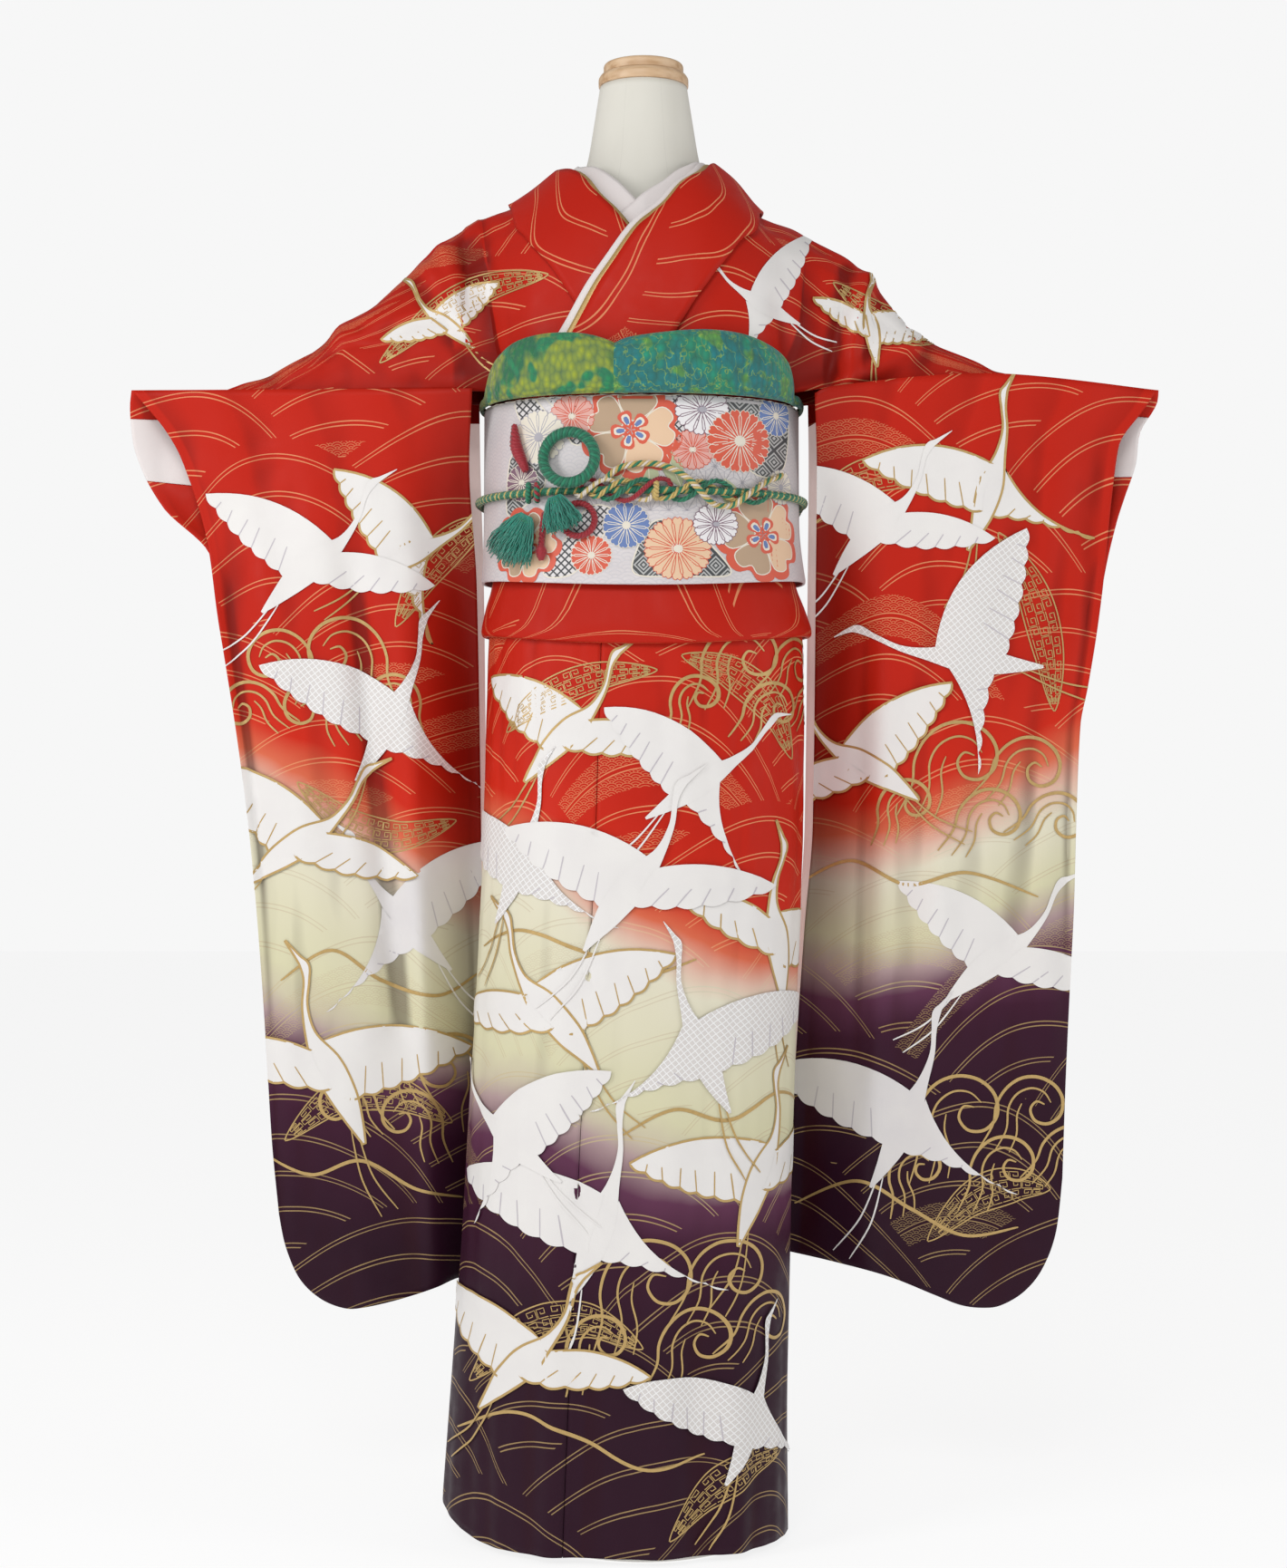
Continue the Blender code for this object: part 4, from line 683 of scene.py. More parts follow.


# Painted shade in the valleys of folds: steps to the neighbours looked at, least span, strength, most shade
HOLLOW_REACH = 4
HOLLOW_SPAN = 4.0 * MM
HOLLOW_DARK = 6.0
HOLLOW_MOST = 0.7


def hollows(inner, outer, extra=None):
    """Painted shade of each point of a sheet: how far it lies in the valley of a fold, with an extra painted
    shade.
    """
    values = []
    for row, (under, over) in enumerate(zip(inner, outer)):
        for place, point in enumerate(over):
            before = after = point
            if HOLLOW_REACH <= place < len(over) - HOLLOW_REACH:
                before, after = over[place - HOLLOW_REACH], over[place + HOLLOW_REACH]
            out = (point - under[place]).normalized()
            deep = (0.5 * (before + after) - point).dot(out) / max((after - before).length, HOLLOW_SPAN)
            value = min(max(deep * HOLLOW_DARK, 0.0), HOLLOW_MOST)
            values.append(max(value, extra[row][place]) if extra else value)
    return values


def shell(name, inner, outer, look, spots=None, dye=None, keep=None, ring=False, extra=None):
    """Closed sheet between two grids of points with the same rows and columns.
    keep(row, column) tells which fields stay; ring joins the last column to the first."""
    rows, columns = len(outer), len(outer[0])
    points = [point for grid in (outer, inner) for row in grid for point in row]
    layer = rows * columns
    faces = []
    edges = {}
    for row in range(rows - 1):
        for place in range(columns if ring else columns - 1):
            if keep and not keep(row, place):
                continue
            one, two = row * columns + place, row * columns + (place + 1) % columns
            corners = (one, two, two + columns, one + columns)
            faces.append(corners)
            faces.append(tuple(corner + layer for corner in reversed(corners)))
            for start, end in zip(corners, corners[1:] + corners[:1]):
                if (end, start) in edges:
                    del edges[(end, start)]
                else:
                    edges[(start, end)] = True
    faces.extend((end, start, start + layer, end + layer) for start, end in edges)
    flat = [spot for row in spots for spot in row] * 2 if spots else None
    values = [value for row in dye for value in row] * 2 if dye else None
    # The shade attribute carries painted shade from fold valleys and any extra painted shade
    return add_mesh(name, points, faces, look, flat, values, shade=hollows(inner, outer, extra) * 2)


# Materials

# Depth of the weave on a surface, and of finer threads and grain
WEAVE_DEPTH = 0.6 * MM
FINE_DEPTH = 0.4 * MM

# Small fans: rings in each, middle and half width of a line, step between the names of rows
FAN_RINGS = 3.0
FAN_LINE = 0.84
FAN_LINE_HALF = 0.15
FAN_NAME_STEP = 5.3

# Wave pattern: hill length, step between rows, rise of the hills, shift and name step of a row
HILL_LENGTH, HILL_STEP, HILL_RISE = 0.290, 0.080, 0.135
HILL_SHIFT = 0.382
HILL_NAME_STEP = 7.31
# Wave lines: push and its size, lines to a step, gap of a double line, width where it is thin
# and how much more it has between the worn spots
WAVE_PUSH, WAVE_PUSH_SIZE = 0.085, 0.34
LINES_TO_A_STEP = 2.1
DOUBLE_GAP = 0.058
LINE_THIN, LINE_WEAR = 0.008, 0.014
WORN_SPOTS = 0.030
# Bands of small fans between wave lines: share left out, margin, size of a fan
BANDS_LEFT_OUT = 0.90
BAND_MARGIN = 0.09
BAND_NAME_STEP = 3.17
BAND_FAN = 6.8 * MM

RED = (0.50, 0.016, 0.006)
DEEP_RED = (0.34, 0.008, 0.004)
# Colour of the painted shade laid into the valleys of folds and on the sleeves near the body
PAINTED_SHADE_COLOUR = (0.030, 0.002, 0.002)
GOLD = (0.60, 0.40, 0.15)
GOLD_SHADE = (0.432, 0.288, 0.108)
CRANE_WHITE = (0.82, 0.80, 0.77)
LINE_ON_RED = (0.74, 0.30, 0.14)

# Dye of the cloth down its length: share of the way from red to plum, colour
DYE_STOPS = (
    (0.00, RED), (0.16, (0.58, 0.022, 0.008)), (0.25, (0.66, 0.14, 0.07)),
    (0.33, (0.72, 0.48, 0.38)), (0.40, (0.74, 0.70, 0.55)), (0.55, (0.66, 0.63, 0.42)),
    (0.64, (0.42, 0.30, 0.30)), (0.72, (0.115, 0.035, 0.075)), (0.84, (0.048, 0.010, 0.028)),
    (1.00, (0.026, 0.006, 0.016)),
)
# Wave lines on the dyed cloth, the same way
LINE_STOPS = (
    (0.0, LINE_ON_RED), (0.24, LINE_ON_RED), (0.36, (0.66, 0.60, 0.46)),
    (0.62, (0.55, 0.45, 0.26)), (0.80, (0.42, 0.28, 0.12)), (1.0, (0.40, 0.27, 0.12)),
)
# Tie-dye squares from the middle to the edge
SQUARE_STOPS = (
    (0.0, (0.50, 0.47, 0.50)), (0.12, (0.72, 0.69, 0.66)), (0.34, (0.62, 0.58, 0.56)),
    (0.42, (0.82, 0.81, 0.80)), (0.50, (0.86, 0.85, 0.85)),
)
WOOD_STOPS = ((0.30, (0.48, 0.29, 0.15)), (0.50, (0.62, 0.42, 0.25)), (0.70, (0.70, 0.50, 0.32)))

# Silk: soft edge of the dye and its spots, deeper red in patches, strength of the lines,
# of the bands and of the painted shade in folds and near the body, gloss
DYE_DRIFT, DYE_SPOTS = 0.05, 0.060
RED_PATCHES, RED_PATCH_SHARE = 0.090, 0.35
LINE_STRENGTH, BAND_STRENGTH, FOLD_STRENGTH = 0.80, 0.55, 0.85
SILK_GLOSS = 0.13
# Tie-dye squares to a metre, and their turn in radians
SQUARES_A_METRE = 205.0
SQUARE_TURN = 0.9
# Sash ground: size and strength of its fans, and its threads
SASH_FAN, SASH_FAN_STRENGTH = 0.011, 0.45
THREADS = 260.0
# Dark fields of the sash: cells to a metre, share of a net cell that is dark, nested diamonds
NET_CELLS_A_METRE, DIAMONDS_A_METRE = 190.0, 62.0
NET_CELL = 0.36
NESTED_DIAMONDS = 6.0
# Crepe: scale, shade and depth of its knots, size, width and colour of its curling threads
KNOTS, KNOT_SHADE, KNOT_DEPTH = 175.0, 0.85, 2.2 * MM
KNOT_DARK = (0.02, 0.10, 0.07)
CURL_SIZE, CURL_WIDTH = 0.011, 0.014
CURL_COLOUR = (0.30, 0.48, 0.07)
# Cover of the form: width of a panel, half width of a seam as a share of it
FORM_PANEL, FORM_SEAM = 0.102, 0.006
GRAIN_STRETCH = (9.0, 120.0, 170.0)
# Strength of the painted glow of the thin pink lining, an emission that stands in for light coming through it
LINING_PAINTED_GLOW = 0.30


def new_look(name, roughness=0.5, metallic=0.0, sheen=0.0, colour=(0.5, 0.5, 0.5)):
    """Material with its node tree and shader."""
    look = bpy.data.materials.new(name)
    look.use_nodes = True
    shader = look.node_tree.nodes["Principled BSDF"]
    shader.inputs["Base Color"].default_value = (*colour, 1.0)
    shader.inputs["Roughness"].default_value = roughness
    shader.inputs["Metallic"].default_value = metallic
    shader.inputs["Sheen Weight"].default_value = sheen
    return look, look.node_tree, shader


def add_node(tree, kind, inputs=(), **settings):
    """Node with its settings, and inputs that are values or outputs of other nodes."""
    item = tree.nodes.new("ShaderNode" + kind)
    for word, value in settings.items():
        setattr(item, word, value)
    for socket, value in dict(inputs).items():
        if isinstance(value, bpy.types.NodeSocket):
            tree.links.new(value, item.inputs[socket])
        else:
            item.inputs[socket].default_value = value
    return item


def sum_of(tree, operation, *values):
    """Output of a Math node over values and outputs."""
    inputs = {place: value for place, value in enumerate(values)}
    return add_node(tree, "Math", inputs, operation=operation).outputs[0]


def blend(tree, factor, one, two):
    """Colour between two colours by a factor."""
    item = add_node(tree, "Mix", data_type="RGBA")
    for socket, value in ((0, factor), (6, one), (7, two)):
        if isinstance(value, bpy.types.NodeSocket):
            tree.links.new(value, item.inputs[socket])
        else:
            item.inputs[socket].default_value = value if socket == 0 else (*value, 1.0)
    return item.outputs[2]


def flat_place(tree):
    """Place on the flat cloth in metres."""
    return add_node(tree, "UVMap", uv_map="flat").outputs[0]


def uneven(tree, place, size, detail=2.0):
    """Smooth noise between 0 and 1 with spots of about one size in metres."""
    return add_node(tree, "TexNoise", {"Vector": place, "Scale": 1.0 / size, "Detail": detail}).outputs[0]


def ramp(tree, factor, stops):
    """Colours at stops along a factor."""
    item = add_node(tree, "ValToRGB", {"Fac": factor})
    elements = item.color_ramp.elements
    while len(elements) < len(stops):
        elements.new(0.5)
    for element, (at, colour) in zip(elements, stops):
        element.position = at
        element.color = (*colour, 1.0)
    return item.outputs[0]


def moved(tree, place, amount, size):
    """Place pushed about by noise of a size."""
    push = add_node(tree, "TexNoise", {"Vector": place, "Scale": 1.0 / size, "Detail": 1.0})
    centred = add_node(tree, "VectorMath", {0: push.outputs[1], 1: (0.5, 0.5, 0.5)}, operation="SUBTRACT")
    scaled = add_node(tree, "VectorMath", {0: centred.outputs[0], "Scale": amount}, operation="SCALE")
    return add_node(tree, "VectorMath", {0: place, 1: scaled.outputs[0]}, operation="ADD").outputs[0]


def fans(tree, place, size):
    """Overlapping fans: distance from the middle of the fan on top, and a number for that fan."""
    split = add_node(tree, "SeparateXYZ", {0: place})
    across = sum_of(tree, "DIVIDE", split.outputs[0], size)
    up = sum_of(tree, "DIVIDE", split.outputs[1], size)
    row = sum_of(tree, "FLOOR", sum_of(tree, "MULTIPLY", up, 2.0))
    distance, number = None, None
    for step in (1.0, 0.0, -1.0):
        this_row = sum_of(tree, "ADD", row, step)
        shift = sum_of(tree, "FLOORED_MODULO", this_row, 2.0)
        shifted = sum_of(tree, "SUBTRACT", across, shift)
        middle = sum_of(tree, "SNAP", sum_of(tree, "ADD", shifted, 1.0), 2.0)
        off = sum_of(tree, "SUBTRACT", shifted, middle)
        rise = sum_of(tree, "MULTIPLY_ADD", this_row, -0.5, up)
        away = sum_of(tree, "SQRT", sum_of(tree, "MULTIPLY_ADD", off, off,
                                           sum_of(tree, "MULTIPLY", rise, rise)))
        name = sum_of(tree, "MULTIPLY_ADD", this_row, FAN_NAME_STEP, middle)
        distance, number = on_top(tree, distance, number, away, name, "LESS_THAN", away, 1.0)
    return distance, number


def on_top(tree, value, number, new_value, new_number, test, tested, limit):
    """A shape's value and number, or those of a new shape that lies over it where a test holds."""
    if value is None:
        return new_value, new_number
    inside = sum_of(tree, test, tested, limit)
    return tuple(add_node(tree, "Mix", {0: inside, 2: old, 3: new}).outputs[0]
                 for old, new in ((value, new_value), (number, new_number)))


def lines(tree, value, middle, half_width):
    """1 where a value is close to a middle value."""
    away = sum_of(tree, "ABSOLUTE", sum_of(tree, "SUBTRACT", value, middle))
    return sum_of(tree, "LESS_THAN", away, half_width)


def small_fans(tree, place, size):
    """Fine lines of the traditional overlapping-circle pattern."""
    distance, _ = fans(tree, place, size)
    part = sum_of(tree, "FRACT", sum_of(tree, "MULTIPLY", distance, FAN_RINGS))
    return lines(tree, part, FAN_LINE, FAN_LINE_HALF)


def hills(tree, place):
    """Overlapping hills: depth below the crest of the hill in front, and a number for that hill."""
    split = add_node(tree, "SeparateXYZ", {0: place})
    across = sum_of(tree, "DIVIDE", split.outputs[0], HILL_LENGTH)
    up = sum_of(tree, "DIVIDE", split.outputs[1], HILL_STEP)
    row = sum_of(tree, "FLOOR", up)
    depth, number = None, None
    half_rise = 0.5 * HILL_RISE / HILL_STEP
    for ahead in (1.0, 0.0, -1.0):
        this_row = sum_of(tree, "ADD", row, ahead)
        along = sum_of(tree, "MULTIPLY_ADD", this_row, HILL_SHIFT, across)
        part = sum_of(tree, "SUBTRACT", sum_of(tree, "FRACT", along), 0.5)
        name = sum_of(tree, "MULTIPLY_ADD", this_row, HILL_NAME_STEP, sum_of(tree, "FLOOR", along))
        chance = add_node(tree, "TexWhiteNoise", {"W": name}, noise_dimensions="1D").outputs[0]
        size = sum_of(tree, "MULTIPLY_ADD", chance, half_rise, half_rise)
        bow = sum_of(tree, "MULTIPLY_ADD", sum_of(tree, "MULTIPLY", part, part), -4.0, 1.0)
        crest = sum_of(tree, "MULTIPLY_ADD", bow, size, this_row)
        below = sum_of(tree, "SUBTRACT", crest, up)
        depth, number = on_top(tree, depth, number, below, name, "GREATER_THAN", below, 0.0)
    return depth, number


def wave_lines(tree, place):
    """Double wave lines and bands of small fans between some of them."""
    depth, number = hills(tree, moved(tree, place, WAVE_PUSH, WAVE_PUSH_SIZE))
    rings = sum_of(tree, "MULTIPLY", depth, LINES_TO_A_STEP)
    folded = sum_of(tree, "ABSOLUTE", sum_of(tree, "SUBTRACT", sum_of(tree, "FRACT", rings), 0.5))
    width = sum_of(tree, "MULTIPLY_ADD", uneven(tree, place, WORN_SPOTS), LINE_WEAR, LINE_THIN)
    double = lines(tree, folded, DOUBLE_GAP, width)
    name = sum_of(tree, "MULTIPLY_ADD", number, BAND_NAME_STEP, sum_of(tree, "FLOOR", rings))
    picked = add_node(tree, "TexWhiteNoise", {"W": name}, noise_dimensions="1D").outputs[0]
    band = sum_of(tree, "MULTIPLY", sum_of(tree, "GREATER_THAN", picked, BANDS_LEFT_OUT),
                  sum_of(tree, "GREATER_THAN", folded, BAND_MARGIN))
    return double, sum_of(tree, "MULTIPLY", band, small_fans(tree, place, BAND_FAN))


def painted_with(tree, shader, colour):
    """Links a colour to a shader."""
    tree.links.new(colour, shader.inputs["Base Color"])


def raised(tree, shader, height, strength, depth):
    """Bumps a surface by a height."""
    bump = add_node(tree, "Bump", {"Height": height, "Strength": strength, "Distance": depth})
    tree.links.new(bump.outputs[0], shader.inputs["Normal"])
    return bump


def weave_bump(tree, shader, place, size, strength, extra=None):
    """Fine weave raised on a surface, with another height if given."""
    weave = uneven(tree, place, size, 3.0)
    height = weave if extra is None else sum_of(tree, "ADD", weave, extra)
    raised(tree, shader, height, strength, WEAVE_DEPTH)


def silk(name, dyed):
    """Figured silk with printed wave lines, red or dyed down its length."""
    look, tree, shader = new_look(name)
    shader.inputs["Specular IOR Level"].default_value = SILK_GLOSS
    place = flat_place(tree)
    if dyed:
        dye = add_node(tree, "Attribute", attribute_name="dye").outputs[2]
        soft = sum_of(tree, "MULTIPLY_ADD", uneven(tree, place, DYE_SPOTS), DYE_DRIFT, dye)
        ground = ramp(tree, sum_of(tree, "SUBTRACT", soft, 0.5 * DYE_DRIFT), DYE_STOPS)
        line_colour = ramp(tree, dye, LINE_STOPS)
    else:
        patches = uneven(tree, place, RED_PATCHES, 3.0)
        ground = blend(tree, sum_of(tree, "MULTIPLY", patches, RED_PATCH_SHARE), RED, DEEP_RED)
        line_colour = LINE_ON_RED
    double, fine = wave_lines(tree, place)
    # Painted shade: the shade attribute darkens the cloth towards the painted shade colour in fold valleys
    # and, on the sleeves, near the body
    shade = add_node(tree, "Attribute", attribute_name="shade").outputs[2]
    for factor, strength, colour in ((fine, BAND_STRENGTH, line_colour),
                                     (double, LINE_STRENGTH, line_colour),
                                     (shade, FOLD_STRENGTH, PAINTED_SHADE_COLOUR)):
        ground = blend(tree, sum_of(tree, "MULTIPLY", factor, strength), ground, colour)
    painted_with(tree, shader, ground)
    rough = add_node(tree, "MapRange", {"Value": uneven(tree, place, 0.020, 4.0), "From Min": 0.3,
                                        "From Max": 0.7, "To Min": 0.40, "To Max": 0.56})
    tree.links.new(rough.outputs[0], shader.inputs["Roughness"])
    weave_bump(tree, shader, place, 1.2 * MM, 0.12)
    return look


def plain_cloth(name, colour, shade, roughness=0.6):
    """Plain woven cloth that is a little uneven."""
    look, tree, shader = new_look(name, roughness, sheen=0.15)
    place = flat_place(tree)
    painted_with(tree, shader, blend(tree, uneven(tree, place, 0.035, 3.0), colour, shade))
    weave_bump(tree, shader, place, 1.2 * MM, 0.15)
    return look


def cells(tree, place, axes):
    """Reach from the middle of a square cell to its edge, 0 to 0.5, over two axes of a place."""
    split = add_node(tree, "SeparateXYZ", {0: place})
    sides = [sum_of(tree, "ABSOLUTE", sum_of(tree, "SUBTRACT",
                                             sum_of(tree, "FRACT", split.outputs[axis]), 0.5))
             for axis in axes]
    return sum_of(tree, "MAXIMUM", *sides)


def mapped(tree, place, scale, turn=(0.0, 0.0, 0.0)):
    """Place scaled and turned."""
    return add_node(tree, "Mapping", {"Vector": place, "Rotation": turn, "Scale": scale}).outputs[0]


def kanoko(name):
    """White cloth with small slanted tie-dye squares."""
    look, tree, shader = new_look(name, 0.6, sheen=0.1)
    place = flat_place(tree)
    slanted = mapped(tree, place, (SQUARES_A_METRE,) * 3, (0.0, 0.0, SQUARE_TURN))
    edge = cells(tree, moved(tree, slanted, 0.35, 4.0), (0, 1))
    painted_with(tree, shader, ramp(tree, edge, SQUARE_STOPS))
    weave_bump(tree, shader, place, 1.0 * MM, 0.1, sum_of(tree, "MULTIPLY", edge, -1.5))
    return look


def gold_paint(name):
    """Gold leaf and thread on cloth."""
    look, tree, shader = new_look(name, 0.42, metallic=0.35)
    place = flat_place(tree)
    painted_with(tree, shader, blend(tree, uneven(tree, place, 4.0 * MM), GOLD, GOLD_SHADE))
    weave_bump(tree, shader, place, 0.9 * MM, 0.3)
    return look


def brocade(name):
    """White and silver figured ground of the sash."""
    look, tree, shader = new_look(name, 0.42, metallic=0.10, sheen=0.1)
    place = flat_place(tree)
    ground = blend(tree, uneven(tree, place, 0.030, 3.0), (0.72, 0.68, 0.68), (0.58, 0.54, 0.55))
    faint = sum_of(tree, "MULTIPLY", small_fans(tree, place, SASH_FAN), SASH_FAN_STRENGTH)
    painted_with(tree, shader, blend(tree, faint, ground, (0.52, 0.50, 0.53)))
    thread = add_node(tree, "TexWave", {"Vector": place, "Scale": THREADS, "Distortion": 1.5},
                      bands_direction="Y").outputs[1]
    weave_bump(tree, shader, place, 1.0 * MM, 0.25, sum_of(tree, "MULTIPLY", thread, 0.6))
    return look


def sash_field(name, cell_net):
    """Dark figured field of the sash: nested diamonds, or a net of small cells."""
    look, tree, shader = new_look(name, 0.5)
    place = add_node(tree, "TexCoord").outputs[3]
    flat = mapped(tree, place, (1.0, 0.0, 1.0))
    scale = NET_CELLS_A_METRE if cell_net else DIAMONDS_A_METRE
    reach = cells(tree, mapped(tree, flat, (scale,) * 3, (0.0, math.radians(45.0), 0.0)), (0, 2))
    if cell_net:
        marked = blend(tree, sum_of(tree, "LESS_THAN", reach, NET_CELL), (0.045, 0.045, 0.05),
                       (0.70, 0.67, 0.67))
    else:
        ring = sum_of(tree, "FRACT", sum_of(tree, "MULTIPLY", reach, NESTED_DIAMONDS))
        marked = blend(tree, sum_of(tree, "GREATER_THAN", ring, 0.5), (0.46, 0.46, 0.45),
                       (0.060, 0.063, 0.066))
    painted_with(tree, shader, marked)
    weave_bump(tree, shader, place, 1.0 * MM, 0.2, sum_of(tree, "MULTIPLY", reach, 0.8))
    return look


def spots_of(tree, value, low, high):
    """0 below a low value and 1 above a high one."""
    return add_node(tree, "MapRange", {"Value": value, "From Min": low, "From Max": high}).outputs[0]


def tie_dyed(name, one, two, three, bias, curls):
    """Crepe with raised tie-dye knots, in patches of colours, and fine curling threads."""
    look, tree, shader = new_look(name, 0.75, sheen=0.2)
    place = flat_place(tree)
    patch = spots_of(tree, sum_of(tree, "ADD", uneven(tree, place, 0.045), bias), 0.46, 0.54)
    knots = add_node(tree, "TexVoronoi", {"Vector": place, "Scale": KNOTS, "Randomness": 0.7})
    tone = blend(tree, patch, one, two)
    tone = blend(tree, spots_of(tree, uneven(tree, place, 0.028), 0.56, 0.60), tone, three)
    thread = sum_of(tree, "ABSOLUTE", sum_of(tree, "SUBTRACT", uneven(tree, place, CURL_SIZE, 3.0), 0.5))
    thread = sum_of(tree, "MULTIPLY", sum_of(tree, "LESS_THAN", thread, CURL_WIDTH), curls)
    tone = blend(tree, thread, tone, CURL_COLOUR)
    dark = sum_of(tree, "SUBTRACT", 1.0, sum_of(tree, "MULTIPLY", knots.outputs[0], KNOT_SHADE))
    painted_with(tree, shader, blend(tree, dark, KNOT_DARK, tone))
    raised(tree, shader, knots.outputs[0], 0.9, KNOT_DEPTH).invert = True
    return look


def corded(name, colour, shade):
    """Braided silk cord strand."""
    look, tree, shader = new_look(name, 0.5, sheen=0.3)
    place = add_node(tree, "TexCoord").outputs[3]
    painted_with(tree, shader, blend(tree, uneven(tree, place, 2.2 * MM), shade, colour))
    raised(tree, shader, uneven(tree, place, 0.7 * MM), 0.5, FINE_DEPTH)
    return look


def form_cloth(name):
    """Off-white cover of the form, with faint upright seams."""
    look, tree, shader = new_look(name, 0.75, sheen=0.1)
    place = flat_place(tree)
    split = add_node(tree, "SeparateXYZ", {0: place})
    part = sum_of(tree, "FRACT", sum_of(tree, "DIVIDE", split.outputs[0], FORM_PANEL))
    seam = lines(tree, part, 0.5, FORM_SEAM)
    ground = blend(tree, uneven(tree, place, 0.05, 3.0), (0.72, 0.70, 0.63), (0.68, 0.66, 0.59))
    painted_with(tree, shader, blend(tree, sum_of(tree, "MULTIPLY", seam, 0.18), ground,
                                     (0.45, 0.43, 0.38)))
    weave_bump(tree, shader, place, 0.8 * MM, 0.15, sum_of(tree, "MULTIPLY", seam, -2.0))
    return look


def light_wood(name):
    """Pale lacquered wood with fine grain."""
    look, tree, shader = new_look(name, 0.42)
    place = mapped(tree, add_node(tree, "TexCoord").outputs[3], GRAIN_STRETCH)
    grain = add_node(tree, "TexNoise", {"Vector": place, "Scale": 1.0, "Detail": 4.0}).outputs[0]
    painted_with(tree, shader, ramp(tree, grain, WOOD_STOPS))
    raised(tree, shader, grain, 0.1, FINE_DEPTH)
    return look


def painted(name):
    """Satin paint of the pole and base."""
    look, tree, shader = new_look(name, 0.4, metallic=0.2)
    place = add_node(tree, "TexCoord").outputs[3]
    painted_with(tree, shader, blend(tree, uneven(tree, place, 0.05), (0.75, 0.73, 0.69),
                                     (0.68, 0.66, 0.62)))
    raised(tree, shader, uneven(tree, place, 1.5 * MM), 0.05, FINE_DEPTH)
    return look


RED_LOOK = silk("red_silk", False)
DYED_LOOK = silk("dyed_silk", True)
WHITE_LOOK = plain_cloth("white_silk", (0.80, 0.75, 0.74), (0.74, 0.67, 0.65))
PINK_LOOK = plain_cloth("pink_silk", (0.90, 0.74, 0.70), (0.86, 0.66, 0.60))
PINK_SHADER = PINK_LOOK.node_tree.nodes["Principled BSDF"]
# Painted glow: the pink lining emits light so that it looks lit through its thin silk
PINK_SHADER.inputs["Emission Color"].default_value = (0.90, 0.72, 0.68, 1.0)
PINK_SHADER.inputs["Emission Strength"].default_value = LINING_PAINTED_GLOW
GOLD_LOOK = gold_paint("gold_cloth")
CRANE_LOOK = plain_cloth("crane_white", CRANE_WHITE, (0.75, 0.72, 0.71), 0.5)
PALE_LOOK = plain_cloth("crane_pale", (0.76, 0.73, 0.71), (0.68, 0.65, 0.66), 0.5)
KANOKO_LOOK = kanoko("crane_tied")
SHADE_LOOK = plain_cloth("crane_shade", (0.56, 0.52, 0.55), (0.50, 0.46, 0.50), 0.5)
SASH_LOOK = brocade("sash_brocade")
SASH_TONES = {"diamond": sash_field("sash_diamonds", False), "net": sash_field("sash_net", True)}
for word, colour, shade in (
        ("coral", (0.70, 0.105, 0.050), (0.62, 0.085, 0.045)),
        ("sand", (0.50, 0.345, 0.225), (0.44, 0.30, 0.19)),
        ("peach", (0.80, 0.56, 0.37), (0.74, 0.50, 0.32)),
        ("cream", (0.80, 0.74, 0.62), (0.74, 0.68, 0.58)),
        ("rose", (0.76, 0.42, 0.36), (0.72, 0.36, 0.32)),
        ("blue", (0.14, 0.22, 0.46), (0.10, 0.17, 0.40)),
        ("plum", (0.22, 0.12, 0.17), (0.17, 0.09, 0.13)),
        ("white", (0.84, 0.82, 0.82), (0.78, 0.75, 0.77)),
        ("silver", (0.44, 0.42, 0.46), (0.38, 0.36, 0.41)),
        ("leaf", (0.50, 0.54, 0.34), (0.42, 0.47, 0.28))):
    SASH_TONES[word] = plain_cloth("sash_" + word, colour, shade, 0.5)
GREEN_LOOK = tie_dyed("green_crepe", (0.010, 0.17, 0.05), (0.34, 0.40, 0.02), (0.01, 0.26, 0.09),
                      0.03, 0.15)
TEAL_LOOK = tie_dyed("teal_crepe", (0.004, 0.20, 0.22), (0.008, 0.30, 0.16), (0.12, 0.34, 0.05),
                     -0.01, 0.75)
GREEN_CORD_LOOK = corded("green_cord", (0.002, 0.24, 0.12), (0.001, 0.12, 0.06))
DARK_CORD_LOOK = corded("dark_green_cord", (0.003, 0.15, 0.08), (0.001, 0.08, 0.04))
GOLD_CORD_LOOK = corded("gold_cord", (0.62, 0.46, 0.14), (0.48, 0.33, 0.10))
RED_CORD_LOOK = corded("red_cord", (0.38, 0.004, 0.018), (0.24, 0.002, 0.010))
WHITE_CORD_LOOK = corded("white_cord", (0.74, 0.68, 0.60), (0.62, 0.54, 0.46))
TASSEL_LOOK = corded("tassel_silk", (0.004, 0.32, 0.22), (0.001, 0.11, 0.08))
FORM_LOOK = form_cloth("form_cloth")
WOOD_LOOK = light_wood("light_wood")
PAINT_LOOK = painted("base_paint")

# Cloth pieces

